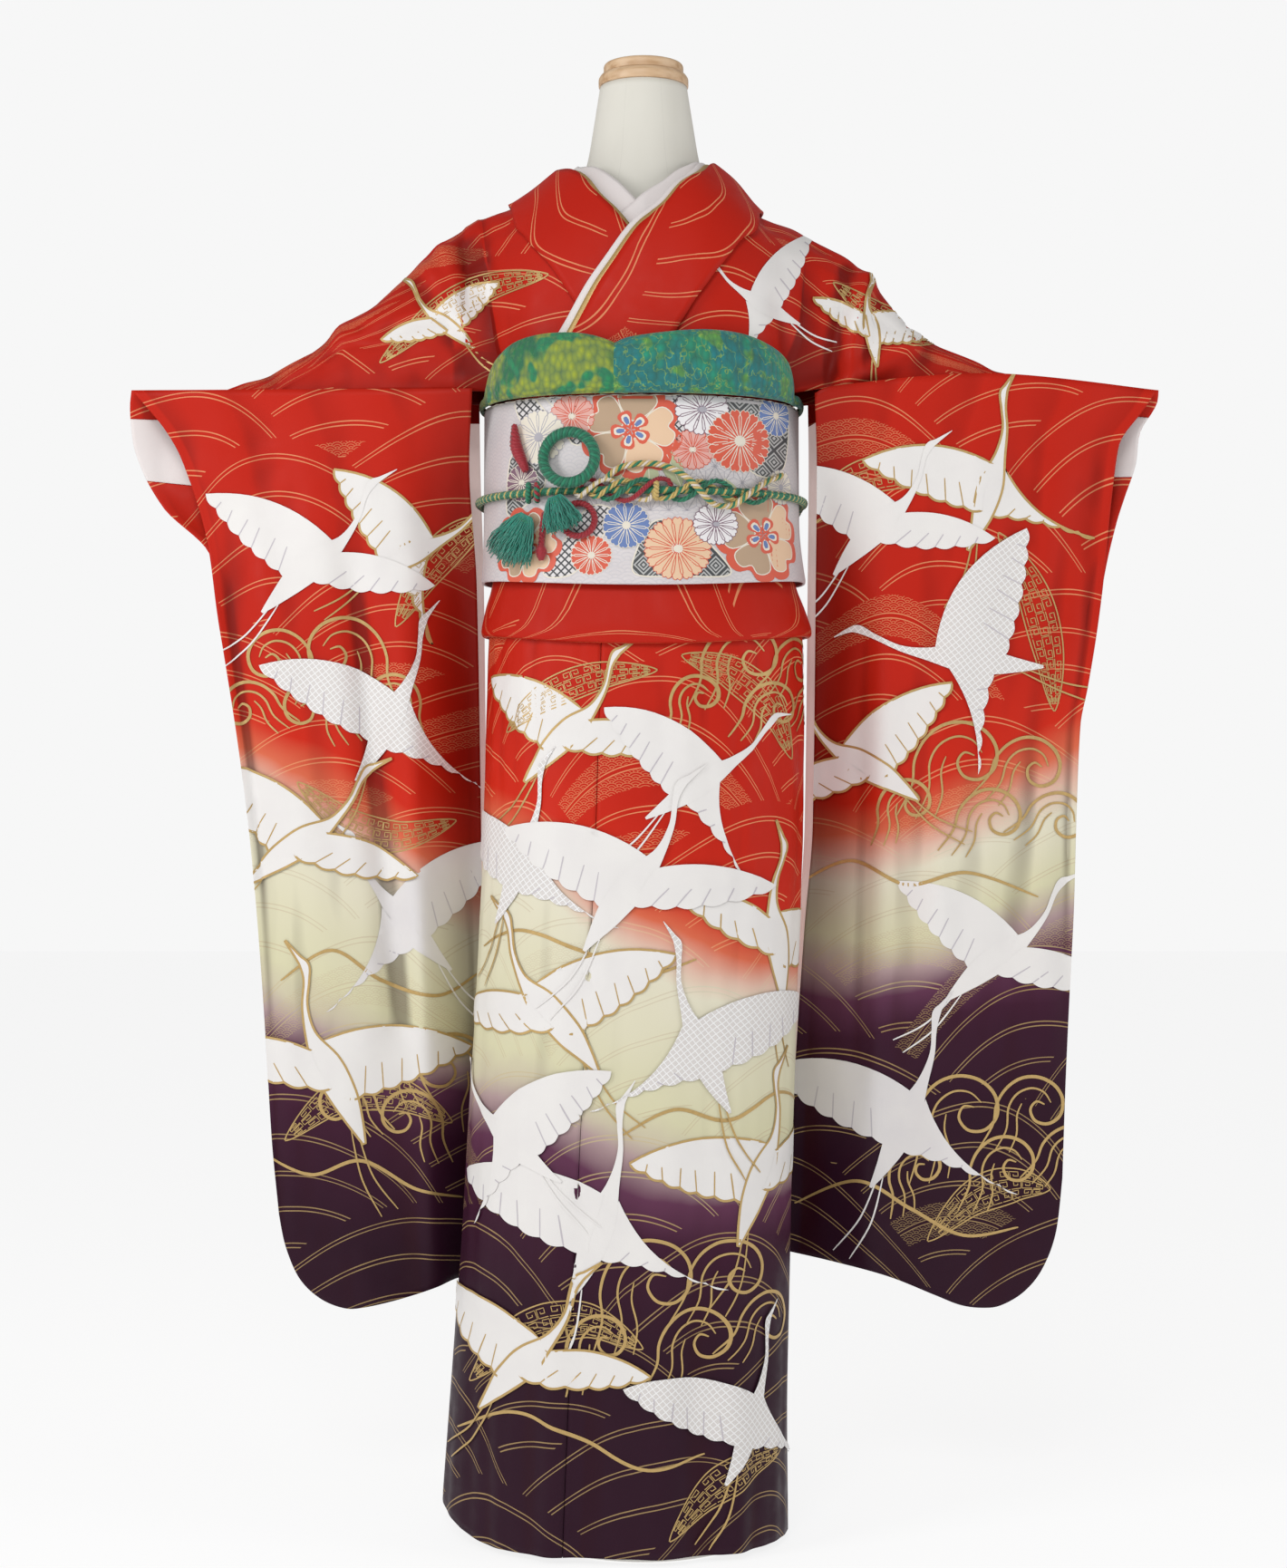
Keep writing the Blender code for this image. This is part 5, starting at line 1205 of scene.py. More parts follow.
# Dye of each side: distance from the middle, then heights where red ends, cream starts,
# cream ends, purple is deep and plum is darkest
SKIRT_DYE = (
    (-0.20, 0.745, 0.665, 0.455, 0.400, 0.310),
    (-0.13, 0.730, 0.655, 0.460, 0.405, 0.315),
    (0.00, 0.640, 0.560, 0.400, 0.350, 0.290),
    (0.15, 0.585, 0.515, 0.370, 0.335, 0.280),
    (0.20, 0.580, 0.510, 0.365, 0.330, 0.275),
)
LEFT_DYE = (
    (-0.48, 0.810, 0.725, 0.550, 0.500, 0.400),
    (-0.42, 0.805, 0.725, 0.550, 0.500, 0.400),
    (-0.30, 0.760, 0.660, 0.510, 0.460, 0.370),
    (-0.17, 0.670, 0.580, 0.470, 0.425, 0.350),
)
RIGHT_DYE = (
    (0.16, 0.715, 0.640, 0.575, 0.525, 0.470),
    (0.25, 0.725, 0.650, 0.580, 0.530, 0.480),
    (0.35, 0.770, 0.685, 0.610, 0.560, 0.500),
    (0.45, 0.820, 0.720, 0.640, 0.585, 0.510),
)
DYE_LEVELS = (0.17, 0.40, 0.58, 0.72, 0.90)


def dye_at(rows, x, height):
    """Share of the way from red to plum at a place."""
    height += 0.010 * ripple(x, height, 0.09, 5.0)
    heights = [table(rows, x, column) for column in range(1, 6)]
    if height >= heights[0]:
        return max(DYE_LEVELS[0] - (height - heights[0]) * 2.0, 0.0)
    steps = list(zip(heights, DYE_LEVELS))
    for (high, one), (low, two) in zip(steps, steps[1:]):
        if height >= low:
            return one + (two - one) * (high - height) / (high - low)
    return min(DYE_LEVELS[-1] + (heights[-1] - height) * 1.2, 1.0)


def dress(piece, slot, *nodes):
    """Rides a piece on the body in place of its nodes. The slot is not used."""
    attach(piece, "root")
    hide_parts(*nodes)
    return piece


def as_sheet(piece, slot, node):
    """Cloth piece ridden on the body in place of its node."""
    return dress(piece, slot, node)


# Grid of the skirt: rows, degrees to a step round it; radius that turns angles into metres
SKIRT_ROWS, SKIRT_TURN = 130, 1.6
SKIRT_RADIUS = 0.165
# Soft unevenness of the skirt: rise, size, stretch of angle and of height
SKIRT_DRIFT = (1.6 * MM, 0.060, 120.0, 0.30)
SKIRT_RIPPLE = (0.7 * MM, 0.035, 90.0, 0.9)
RIPPLE_FOOT, RIPPLE_RUN = 0.45, 0.3
FLARE_TURN = 50.0
OVER_RUN = 22.0
SEAM_ANGLE = 0.12
# Edges of the under panels
UNDER_SEAM, UNDER_EDGE = 17.0, 66.0

# Waist tuck: height, distance of its outer face from the bed at the row and at its inner
# face in mm, lift of the fold in mm; dip in front, rise of its waves, length
TUCK_PATH = (
    (0.915, 6.0, 7.8), (0.8880, 6.8, 8.6), (0.8850, 10.6, 10.6),
    (0.8890, 13.8, 12.0), (0.9050, 14.2, 12.4), (0.962, 13.8, 12.0),
)
TUCK_LIFTS = (0.0, 0.8, 1.9, 0.9, 0.0, 0.0)
TUCK_ROWS = 26
TUCK_DIP = 0.012
TUCK_WAVE = 0.6 * MM

# Collar bands: shares of the width that a whole collar, a slim and a wide trim take
WHOLE, SLIM, WIDE = (0.0, 1.0, 15), (-0.06, 0.20, 7), (-0.135, 0.20, 8)
INNER_COLLAR_CLOTH = 1.3 * MM
# The folded back of a band is marked by an offset of its flat place
BAND_OFFSET = 3.1

# Bodice: columns of the body part, degrees to a row, gain of its creases over the solids',
# cloth, turn and run where a panel comes out from under its collar
BODY_COLUMNS, BODY_TURN = 56, 2.4
CREASE_GAIN = 1.7
BODICE_CLOTH = 2.0 * MM
TUCK_TURN, TUCK_RUN = 150.0, 10.0
# Past the body the shoulder cloth comes down to the bed
WING_START, WING_RUN = 0.170, 0.080
# Ripples of the bodice: rise, stretch of the turn, size, seed, where they start
BODY_RIPPLES = ((2.2 * MM, 400.0, 0.045, 2.0, 0.10), (1.0 * MM, 300.0, 0.022, 6.0, 0.08))
RIPPLE_EASE = 0.05
# Column whose length is the panel's
RUN_COLUMN = 20
# Foot of the seam between panel and collar, on the left and on the right
LEFT_PANEL_FOOT, RIGHT_PANEL_FOOT = 0.045, -0.050

# Painted shade of the sleeves near the body: strength, share of the width, height and run where it
# sets in, height and run where it fades by half
BODY_SHADE, SHADE_WIDTH = 0.70, 0.26
SHADE_FOOT, SHADE_FOOT_RUN = 0.40, 0.25
SHADE_HEAD, SHADE_HEAD_RUN = 0.98, 0.12
# Flat place of a sleeve stands off the body's by this much
SLEEVE_OFFSET = 1.7
SLEEVE_COLUMNS, SLEEVE_ROWS = 100, 132
# Linings of a sleeve: word, look, slot, places and shares with their counts
EDGE_PLACES, EDGE_SHARES = (0.0, 0.16, 12), (0.13, 0.965, 200)
CUFF_PLACES, CUFF_SHARES = (0.77, 1.0, 24), (0.89, 0.965, 30)


def skirt_panel(name, start, end, level, flare=False):
    """Skirt panel between two edges that are tables of height and angle."""
    steps = 3 + round(abs(table(end, 0.5) - table(start, 0.5)) / SKIRT_TURN)
    inner, outer, spots, dye = [], [], [], []
    middle = 0.5 * SKIRT_TOP
    for share in spread(0.0, 1.0, SKIRT_ROWS):
        lists = [[], [], [], []]
        for place in spread(0.0, 1.0, steps):
            guess = table(start, middle) + (table(end, middle) - table(start, middle)) * place
            height = hem(guess) + (SKIRT_TOP - hem(guess)) * share
            low, high = table(start, height), table(end, height)
            angle = low + (high - low) * place
            lift = level(angle)
            if flare:
                lift += table(FREE_EDGE, height, 2) * ease((-angle - FLARE_TURN) / FLARE_TURN)
            rise, size, around, up = SKIRT_DRIFT
            lift += rise * ripple(angle / around, height * up, size, 1.0)
            rise, size, around, up = SKIRT_RIPPLE
            lift += (rise * ripple(angle / around, height * up, size, 4.0)
                     * ease((height - RIPPLE_FOOT) / RIPPLE_RUN))
            point = column(angle, height, lift)
            arc = math.radians(angle) * SKIRT_RADIUS
            for items, value in zip(lists, (point, column(angle, height, lift + SILK), (arc, height),
                                            dye_at(SKIRT_DYE, point.x, height))):
                items.append(value)
        for grid, items in zip((inner, outer, spots, dye), lists):
            grid.append(items)
    piece = shell("cloth_" + name, inner, outer, DYED_LOOK, spots, dye)
    return as_sheet(piece, "dyed_silk", name)


def fixed(angle, shift=0.0):
    """Panel edge at one angle."""
    return ((0.0, angle + shift), (1.0, angle + shift))


def seam_step(rows, shift):
    """Edge table moved by an angle."""
    return tuple((row[0], row[1] + shift) for row in rows)


def over_level(angle):
    """The over panel starts at the side seam on the bed and rises over the under panel."""
    return SKIRT_OVER * ease((SIDE_SEAM - angle) / OVER_RUN)


def make_skirt():
    """Six panels round the form: two back, under front and over front with their overlaps."""
    seam = SEAM_ANGLE
    on_bed_level = under(SKIRT_UNDER)
    return [
        skirt_panel("skirt_back_left", fixed(-180.0, seam / 2.0), fixed(-SIDE_SEAM, -seam), on_bed_level),
        skirt_panel("skirt_back_right", fixed(SIDE_SEAM, seam), fixed(180.0, -seam / 2.0), on_bed_level),
        skirt_panel("skirt_front_under", fixed(-SIDE_SEAM), fixed(UNDER_SEAM), on_bed_level),
        skirt_panel("overlap_under", fixed(UNDER_SEAM, 2 * seam), fixed(UNDER_EDGE), on_bed_level),
        skirt_panel("skirt_front_over", seam_step(OKUMI_SEAM, seam), fixed(SIDE_SEAM, -seam), over_level),
        skirt_panel("overlap_over", FREE_EDGE, seam_step(OKUMI_SEAM, -seam), over_level, flare=True),
    ]


def make_waist_tuck():
    """Cloth folded up under the sash, a ring with a soft fold at its foot."""
    path = smooth_path(TUCK_PATH, TUCK_ROWS)
    thick = [point[0] for point in smooth_path([(lift, 0.0, 0.0) for lift in TUCK_LIFTS], TUCK_ROWS)]
    angles = spread(-180.0, 178.0, 180)
    outside, inside, spots = [], [], []
    for row, ((height, far, near), lift) in enumerate(zip(path, thick)):
        drop = [TUCK_DIP * ease(1.0 - abs(angle) / 90.0) * ease((0.95 - height) / 0.04)
                for angle in angles]
        wave = [TUCK_WAVE * ripple(angle / 25.0, height * 4.0, 0.4, 3.0) for angle in angles]
        outside.append([column(angle, height - fall, far * MM + rise)
                        for angle, fall, rise in zip(angles, drop, wave)])
        inside.append([column(angle, height - fall + lift * MM, near * MM + rise)
                       for angle, fall, rise in zip(angles, drop, wave)])
        spots.append([(math.radians(angle) * SKIRT_RADIUS, 0.9 + 0.0045 * row) for angle in angles])
    piece = shell("cloth_waist_tuck", inside, outside, RED_LOOK, spots, ring=True)
    as_sheet(piece, "red_silk", "waist_tuck")


def finer_rows(rows, count):
    """Collar rows on smooth curves through the given rows."""
    edges = smooth_path([row[:2] + (0.0,) for row in rows], count)
    others = smooth_path([row[2:] + (0.0,) for row in rows], count)
    return [(one.x, one.y, two.x, two.y) for one, two in zip(edges, others)]


def band(node, rows, shares, level, thick, look, slot):
    """Collar band over the rows, between shares of its width."""
    inner, outer, spots = [], [], []
    run = 0.0
    last = None
    for x_in, turn_in, x_out, turn_out in finer_rows(rows, 6 * len(rows)):
        inner_row, outer_row = [], []
        for share in shares:
            x = x_in + (x_out - x_in) * share
            turn = turn_in + (turn_out - turn_in) * share
            lift = level(turn)
            inner_row.append(on_bed(x, turn, lift))
            outer_row.append(on_bed(x, turn, lift + thick))
        run += (outer_row[0] - last).length if last else 0.0
        last = outer_row[0]
        width = (outer_row[-1] - outer_row[0]).length
        spots.append([(run, share * width + BAND_OFFSET * thick / MM) for share in shares])
        inner.append(inner_row)
        outer.append(outer_row)
    piece = shell("cloth_" + node, inner, outer, look, spots)
    return as_sheet(piece, slot, node)


def make_collars():
    """Red collars with their gold and white layers, and the white inner collar."""
    rows = {"inner_left": INNER_LEFT_ROWS, "inner_right": INNER_RIGHT_ROWS,
            "left": LEFT_ROWS, "right": RIGHT_ROWS}
    for node, line, shares, level, thick, look, slot, count in (
            ("inner_collar_left", "inner_left", WHOLE, under(INNER_COLLAR_UNDER), INNER_COLLAR_CLOTH,
             WHITE_LOOK, "white_silk", None),
            ("inner_collar_right", "inner_right", WHOLE, under(INNER_COLLAR_OVER), INNER_COLLAR_CLOTH,
             WHITE_LOOK, "white_silk", None),
            ("collar_left", "left", WHOLE, under(COLLAR_UNDER), COLLAR_CLOTH, RED_LOOK, "red_silk", None),
            ("collar_right", "right", WHOLE, over(COLLAR_OVER), COLLAR_CLOTH, RED_LOOK, "red_silk", None),
            ("collar_trim_left", "left", SLIM, under(BODICE_UNDER), TRIM_CLOTH,
             GOLD_LOOK, "gold_cloth", -2),
            ("collar_trim_white", "right", WIDE, over(BODICE_OVER), TRIM_CLOTH,
             WHITE_LOOK, "white_silk", -3),
            ("collar_trim_right", "right", SLIM, over(TRIM_GOLD), TRIM_CLOTH,
             GOLD_LOOK, "gold_cloth", -3)):
        band(node, rows[line][:count], spread(*shares), level, thick, look, slot)


def bodice(node, side, edge, level, creases):
    """Body part and shoulder part of a panel, which share the edge between them."""
    turns = []
    for one, two in zip(BODICE_TURNS, BODICE_TURNS[1:]):
        turns += spread(one, two, max(round((two - one) / BODY_TURN), 1) + 1)[:-1]
    turns.append(BODICE_TURNS[-1])
    wings = spread(*WING_STATIONS)
    inner, outer, spots = [], [], []
    run, last = 0.0, None
    for turn in turns:
        lift = 180.0 - turn if turn > 90.0 else turn
        start = table(edge, turn) - side * PANEL_TUCK * ease((TUCK_TURN - turn) / TUCK_RUN)
        end = side * table(BODY_SIDE, lift)
        stations = spread(start, end, BODY_COLUMNS) + [side * x for x in wings]
        inner_row, outer_row = [], []
        for x in stations:
            out = level(turn)
            out -= (out - BODICE_UNDER) * ease((abs(x) - WING_START) / WING_RUN)
            if turn < 90.0:
                out += CREASE_GAIN * crease_height(x, bed(x, turn).z, creases)
            for rise, stretch, size, seed, begin in BODY_RIPPLES:
                out += rise * ripple(x, turn / stretch, size, seed) * ease((abs(x) - begin) / RIPPLE_EASE)
            inner_row.append(on_bed(x, turn, out))
            outer_row.append(on_bed(x, turn, out + BODICE_CLOTH))
        run += (outer_row[RUN_COLUMN] - last).length if last else 0.0
        last = outer_row[RUN_COLUMN]
        spots.append([(x, run) for x in stations])
        inner.append(inner_row)
        outer.append(outer_row)
    piece = shell("cloth_" + node, inner, outer, RED_LOOK, spots,
                  keep=lambda row, place: place < BODY_COLUMNS - 1
                  or WING_TURNS[0] <= turns[row] < WING_TURNS[1])
    return as_sheet(piece, "red_silk", node)


def make_bodice():
    """Two body panels with shoulder and back."""
    return [bodice("bodice_left", -1.0, panel_edge(LEFT_ROWS, LEFT_PANEL_FOOT), under(BODICE_UNDER),
                   CREASES_LEFT),
            bodice("bodice_right", 1.0, panel_edge(RIGHT_ROWS, RIGHT_PANEL_FOOT), over(BODICE_OVER),
                   CREASES_RIGHT)]


def measured(points):
    """Dense smooth line through points, with the length run at each of its points."""
    dense = smooth_path([(*point, 0.0) for point in points], 16 * len(points))
    runs = [0.0]
    for one, two in zip(dense, dense[1:]):
        runs.append(runs[-1] + (two - one).length)
    return dense, runs


def along(line, share):
    """Point at a share of the length of a measured line."""
    dense, runs = line
    run = share * runs[-1]
    index = min(max(bisect.bisect_right(runs, run) - 1, 0), len(runs) - 2)
    part = (run - runs[index]) / (runs[index + 1] - runs[index])
    point = dense[index].lerp(dense[index + 1], part)
    return point.x, point.y


def sleeve_style(side, inner, outer, foot, top, depth, folds):
    """Lines and tables of one layer of a sleeve, worked out once."""
    rows_in = tuple((z, x) for x, z in inner)
    rows_out = tuple((z, x) for x, z in outer)
    top_line = measured((inner[-1],) + top + (outer[-1],))
    return side, rows_in, rows_out, foot, measured(foot), top_line, depth, folds


def sleeve_point(style, back, place, share, lift=0.0):
    """Outer face of a sleeve layer: place runs from the body outward, share from foot to top."""
    side, rows_in, rows_out, foot, foot_line, top_line, depth, folds = style
    z_in = rows_in[0][0] + (rows_in[-1][0] - rows_in[0][0]) * share
    z_out = rows_out[0][0] + (rows_out[-1][0] - rows_out[0][0]) * share
    sides = (table(rows_in, z_in), z_in), (table(rows_out, z_out), z_out)
    ends = along(foot_line, place), along(top_line, place)
    near, far = 1.0 - place, 1.0 - share
    x, z = (near * sides[0][axis] + place * sides[1][axis] + far * ends[0][axis]
            + share * ends[1][axis]
            - near * far * rows_in[0][1 - axis] - place * far * rows_out[0][1 - axis]
            - near * share * rows_in[-1][1 - axis] - place * share * rows_out[-1][1 - axis]
            for axis in (0, 1))
    front_y = across(depth, z, place)
    room = across(SLEEVE_ROOM, z, place)
    flat = 2.0 * SILK + SEAM_GAP
    rise = max(z - table(foot, x), 0.0) / SLEEVE_CLOSE
    closed = max(flat, flat + (room - flat) * math.sin(min(rise, 1.0) * math.pi / 2.0))
    y = front_y + room / 2.0 + (closed / 2.0 if back else -closed / 2.0)
    edge = (ease(place * EDGE_EASE) * ease((1.0 - place) * EDGE_EASE) * ease(rise)
            * ease((1.0 - share) * TOP_EASE))
    relief = sum(size * math.exp(-((x - at - lean * (z - FOLD_MIDDLE)) / width) ** 2)
                 * ease((z - foot_z) / FOLD_END) * ease((head_z - z) / FOLD_END)
                 for at, lean, width, size, foot_z, head_z in folds)
    relief += SLEEVE_WAVE * ripple(x, z * 0.30, 0.060, 7.0 + side + back)
    relief += (SLEEVE_SLANT * ripple(x * 0.8 + 0.5 * z, z, 0.032, 3.0 + side)
               * ease((z - SLANT_FOOT) / SLANT_RUN))
    relief += SLEEVE_RIPPLE * ripple(x, z * 0.45, 0.022, 5.0 + back)
    y += edge * relief + lift
    scale = 1.0 + y / EYE_DISTANCE
    return Vector((side * x * scale, y, EYE_HEIGHT + (z - EYE_HEIGHT) * scale))


# Soft folds that hang down the sleeves: distance from the middle, lean, spread, depth,
# foot height, top height
LEFT_FOLDS = (
    (0.262, 0.10, 0.015, 10.0 * MM, 0.46, 1.00),
    (0.230, 0.06, 0.013, -6.0 * MM, 0.42, 0.97),
    (0.338, 0.16, 0.022, -5.5 * MM, 0.48, 1.04),
    (0.385, 0.22, 0.016, 5.0 * MM, 0.58, 1.05),
)
RIGHT_FOLDS = (
    (0.218, 0.02, 0.014, 6.0 * MM, 0.38, 0.97),
    (0.296, 0.08, 0.022, -6.0 * MM, 0.42, 1.02),
    (0.380, 0.14, 0.018, 6.0 * MM, 0.50, 1.05),
)
LEFT_SLEEVE = [sleeve_style(-1.0, inner, outer, LEFT_FOOT, (), LEFT_DEPTH, LEFT_FOLDS)
               for inner, outer in ((LEFT_INNER, LEFT_OUTER), (LEFT_INNER_BACK, LEFT_OUTER_BACK))]
RIGHT_TOP = ((0.200, 1.137), (0.3465, 1.148))
RIGHT_SLEEVE = [sleeve_style(1.0, inner, outer, RIGHT_FOOT, RIGHT_TOP, RIGHT_DEPTH, RIGHT_FOLDS)
                for inner, outer in ((RIGHT_INNER, RIGHT_OUTER), (RIGHT_INNER_BACK, RIGHT_OUTER_BACK))]


def sleeve_layer(node, style, back, dye_rows, look, slot, places, shares, lift=0.0, thick=SILK):
    """Layer of a sleeve, or a lining that lies inside it by a distance."""
    inward = -1.0 if back else 1.0
    inner, outer, spots, dye, extra = [], [], [], [], []
    for share in shares:
        row = [sleeve_point(style, back, place, share, inward * lift) for place in places]
        outer.append(row)
        inner.append([sleeve_point(style, back, place, share, inward * (lift + thick))
                      for place in places])
        spots.append([(point.x + SLEEVE_OFFSET * style[0], point.z) for point in row])
        dye.append([dye_at(dye_rows, point.x, point.z) for point in row])
        # Painted shade that darkens the sleeve near the body
        extra.append([BODY_SHADE * ease((SHADE_WIDTH - place) / SHADE_WIDTH)
                      * ease((point.z - SHADE_FOOT) / SHADE_FOOT_RUN)
                      * (1.0 - 0.5 * ease((point.z - SHADE_HEAD) / SHADE_HEAD_RUN))
                      for place, point in zip(places, row)])
    piece = shell("cloth_" + node, inner, outer, look, spots, dye, extra=extra)
    return as_sheet(piece, slot, node)


def make_sleeves():
    """Sleeves as front and back layers, with the linings that show at their open edges."""
    inside = SILK + SEAM_GAP
    layers = []
    for word, styles, rows in (("left", LEFT_SLEEVE, LEFT_DYE), ("right", RIGHT_SLEEVE, RIGHT_DYE)):
        node = "sleeve_%s_" % word
        grid = spread(0.0, 1.0, SLEEVE_COLUMNS), spread(0.0, 1.0, SLEEVE_ROWS)
        for part, style in zip(("front", "back"), styles):
            layers.append(sleeve_layer(node + part, style, part == "back", rows, DYED_LOOK, "dyed_silk",
                                       *grid))
        for part, look, slot, places, shares in (
                ("edge_lining", PINK_LOOK, "pink_silk", EDGE_PLACES, EDGE_SHARES),
                ("cuff_lining", WHITE_LOOK, "white_silk", CUFF_PLACES, CUFF_SHARES)):
            sleeve_layer(node + part, styles[1], True, rows, look, slot, spread(*places),
                         spread(*shares), inside, LINING)
    return layers


STRIP_COLUMNS = 40


def strip(node, path, width, thick, look, slot, lift=0.0, rows=60):
    """Cloth strip that follows a path of y and height, with its sides bowed to the body."""
    line = smooth_path([(0.0, y, z) for y, z in path], rows)
    inner, outer, spots = [], [], []
    run = 0.0
    for index, middle in enumerate(line):
        before, after = line[max(index - 1, 0)], line[min(index + 1, len(line) - 1)]
        ahead = (after - before).normalized()
        normal = Vector((0.0, -ahead.z, ahead.y))
        inner_row, outer_row = [], []
        for x in spread(-width / 2.0, width / 2.0, STRIP_COLUMNS):
            point = Vector((x, middle.y - DRUM_BOW * x ** 2, middle.z)) + normal * lift
            outer_row.append(point)
            inner_row.append(point - normal * thick)
        run += (middle - before).length
        inner.append(inner_row)
        outer.append(outer_row)
        spots.append([(point.x, run) for point in outer_row])
    piece = shell("cloth_" + node, inner, outer, look, spots)
    return as_sheet(piece, slot, node)


# Sash: degrees and columns round it, shares of its height at its edges, rows between, soft
# edge, radius that turns angles into metres, cord along its top edge, cloth of the knot
SASH_ANGLES = (-180.0, 177.5, 144)
SASH_EDGE = (0.0, 0.008, 0.02)
SASH_ROWS = 44
SASH_RADIUS = 0.155
PIPING = 1.3 * MM
KNOT_CLOTH = 3.0 * MM


def make_sash():
    """Sash wound round the waist, its drum knot and the cloth that hangs below it."""
    angles = spread(*SASH_ANGLES)
    inner, outer, spots = [], [], []
    ends = tuple(1.0 - share for share in reversed(SASH_EDGE))
    for share in SASH_EDGE + tuple(spread(0.05, 0.95, SASH_ROWS)) + ends:
        soft = SASH_SOFT * (1.0 - min(share, 1.0 - share, SASH_EDGE[-1]) / SASH_EDGE[-1]) ** 2
        inner_row, outer_row = [], []
        for angle in angles:
            foot = SASH_FOOT - SASH_DIP * ease(1.0 - abs(angle) / 90.0)
            height = foot + (SASH_TOP - foot) * share
            inner_row.append(column(angle, height, SASH))
            outer_row.append(column(angle, height, SASH + SASH_CLOTH - soft))
        inner.append(inner_row)
        outer.append(outer_row)
        spots.append([(math.radians(angle) * SASH_RADIUS, point.z)
                      for angle, point in zip(angles, outer_row)])
    wrap = shell("cloth_sash_wrap", inner, outer, SASH_LOOK, spots, ring=True)
    as_sheet(wrap, "sash_brocade", "sash_wrap")
    piping = [column(angle, SASH_TOP, SASH + 0.6 * SASH_CLOTH) for angle in spread(-180.0, 176.0, 90)]
    edge = braid("sash_piping", piping, PIPING, (WHITE_CORD_LOOK, WHITE_CORD_LOOK), 120, closed=True)
    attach(edge, "root")
    drum = strip("sash_drum", DRUM_PATH, DRUM_WIDTH, KNOT_CLOTH, SASH_LOOK, "sash_brocade")
    strip("sash_flap", FLAP_PATH, FLAP_WIDTH, KNOT_CLOTH, SASH_LOOK, "sash_brocade")
    strip("sash_hand", HAND_PATH, HAND_WIDTH, HAND_CLOTH, SASH_LOOK, "sash_brocade")
    return wrap, drum


def tube_faces(base, count, sides, closed=False):
    """Faces between rings of points from a base on, and both caps where the tube has ends."""
    faces = []
    for index in range(count if closed else count - 1):
        low, high = base + index * sides, base + (index + 1) % count * sides
        for corner in range(sides):
            after = (corner + 1) % sides
            faces.append((low + corner, low + after, high + after, high + corner))
    if not closed:
        last = base + (count - 1) * sides
        faces += [tuple(reversed(range(base, base + sides))), tuple(range(last, last + sides))]
    return faces


def loft(name, rings, look, spots=None):
    """Closed form over rings of points, capped at both ends."""
    points = [point for ring in rings for point in ring]
    return add_mesh(name, points, tube_faces(0, len(rings), len(rings[0])), look, spots)


def frames_on(path, closed=False):
    """Side and up directions square to a path at each of its points."""
    count = len(path)
    result = []
    for index in range(count):
        before = path[index - 1] if closed or index else path[0]
        after = path[(index + 1) % count] if closed else path[min(index + 1, count - 1)]
        ahead = (after - before).normalized()
        side = ahead.cross(Vector((0.0, 1.0, 0.0)) if abs(ahead.y) < 0.8 else Vector((0.0, 0.0, 1.0)))
        side.normalize()
        result.append((side, side.cross(ahead).normalized()))
    return result


STRAND_SIDES = 6


def strand_rings(path, radii, turns=0.0, reach=0.0, start=0.0, sides=STRAND_SIDES, closed=False):
    """Rings of a strand that winds round a path at a reach from it."""
    rings, centres = [], []
    count = len(path)
    for index, (point, (side, up)) in enumerate(zip(path, frames_on(path, closed))):
        angle = start + math.tau * turns * index / (count if closed else count - 1)
        size = reach(index) if callable(reach) else reach
        centres.append(point + side * math.cos(angle) * size + up * math.sin(angle) * size)
    for index, (centre, (side, up)) in enumerate(zip(centres, frames_on(centres, closed))):
        radius = radii(index) if callable(radii) else radii
        rings.append([centre + side * math.cos(math.tau * corner / sides) * radius
                      + up * math.sin(math.tau * corner / sides) * radius
                      for corner in range(sides)])
    return rings


# Radius of a strand as a share of its cord, by the number of strands
STRAND_SIZES = {2: 0.48, 3: 0.44, 4: 0.385}


def braid(name, path, radius, strands, turns, closed=False, swell=None):
    """Round cord of strands that wind round its path; strands lists their materials."""
    points, faces, looks, picks = [], [], [], []
    count = len(strands)
    thin = radius * STRAND_SIZES[count]
    for place, look in enumerate(strands):
        size = (lambda index: swell(index) * (radius - thin)) if swell else radius - thin
        width = (lambda index: swell(index) * thin) if swell else thin
        rings = strand_rings(path, width, turns, size, math.tau * place / count, closed=closed)
        faces += tube_faces(len(points), len(rings), STRAND_SIDES, closed)
        points += [point for ring in rings for point in ring]
        if look not in looks:
            looks.append(look)
        picks += [looks.index(look)] * (len(faces) - len(picks))
    piece = add_mesh(name, points, faces, looks[0])
    for look in looks[1:]:
        piece.data.materials.append(look)
    piece.data.polygons.foreach_set("material_index", picks)
    return piece


WRAPS = (("cord_wrap_knot_left", -0.1095, (GREEN_CORD_LOOK, GREEN_CORD_LOOK)),
         ("cord_wrap_knot_right", -0.1010, (RED_CORD_LOOK, GREEN_CORD_LOOK)),
         ("cord_wrap_gold", 0.0120, (GOLD_CORD_LOOK, GOLD_CORD_LOOK)))

# Scarf rolls: rings, sides, thickness where folds set in with its run, height of the folds,
# radius that turns angles into metres, width of a side on the cloth
ROLL_RINGS, ROLL_SIDES = 150, 48
ROLL_FLAT, ROLL_RUN = 6.0 * MM, 10.0 * MM
ROLL_FOLD = 2.0 * MM
ROLL_RADIUS, ROLL_STEP = 0.16, 2.3 * MM


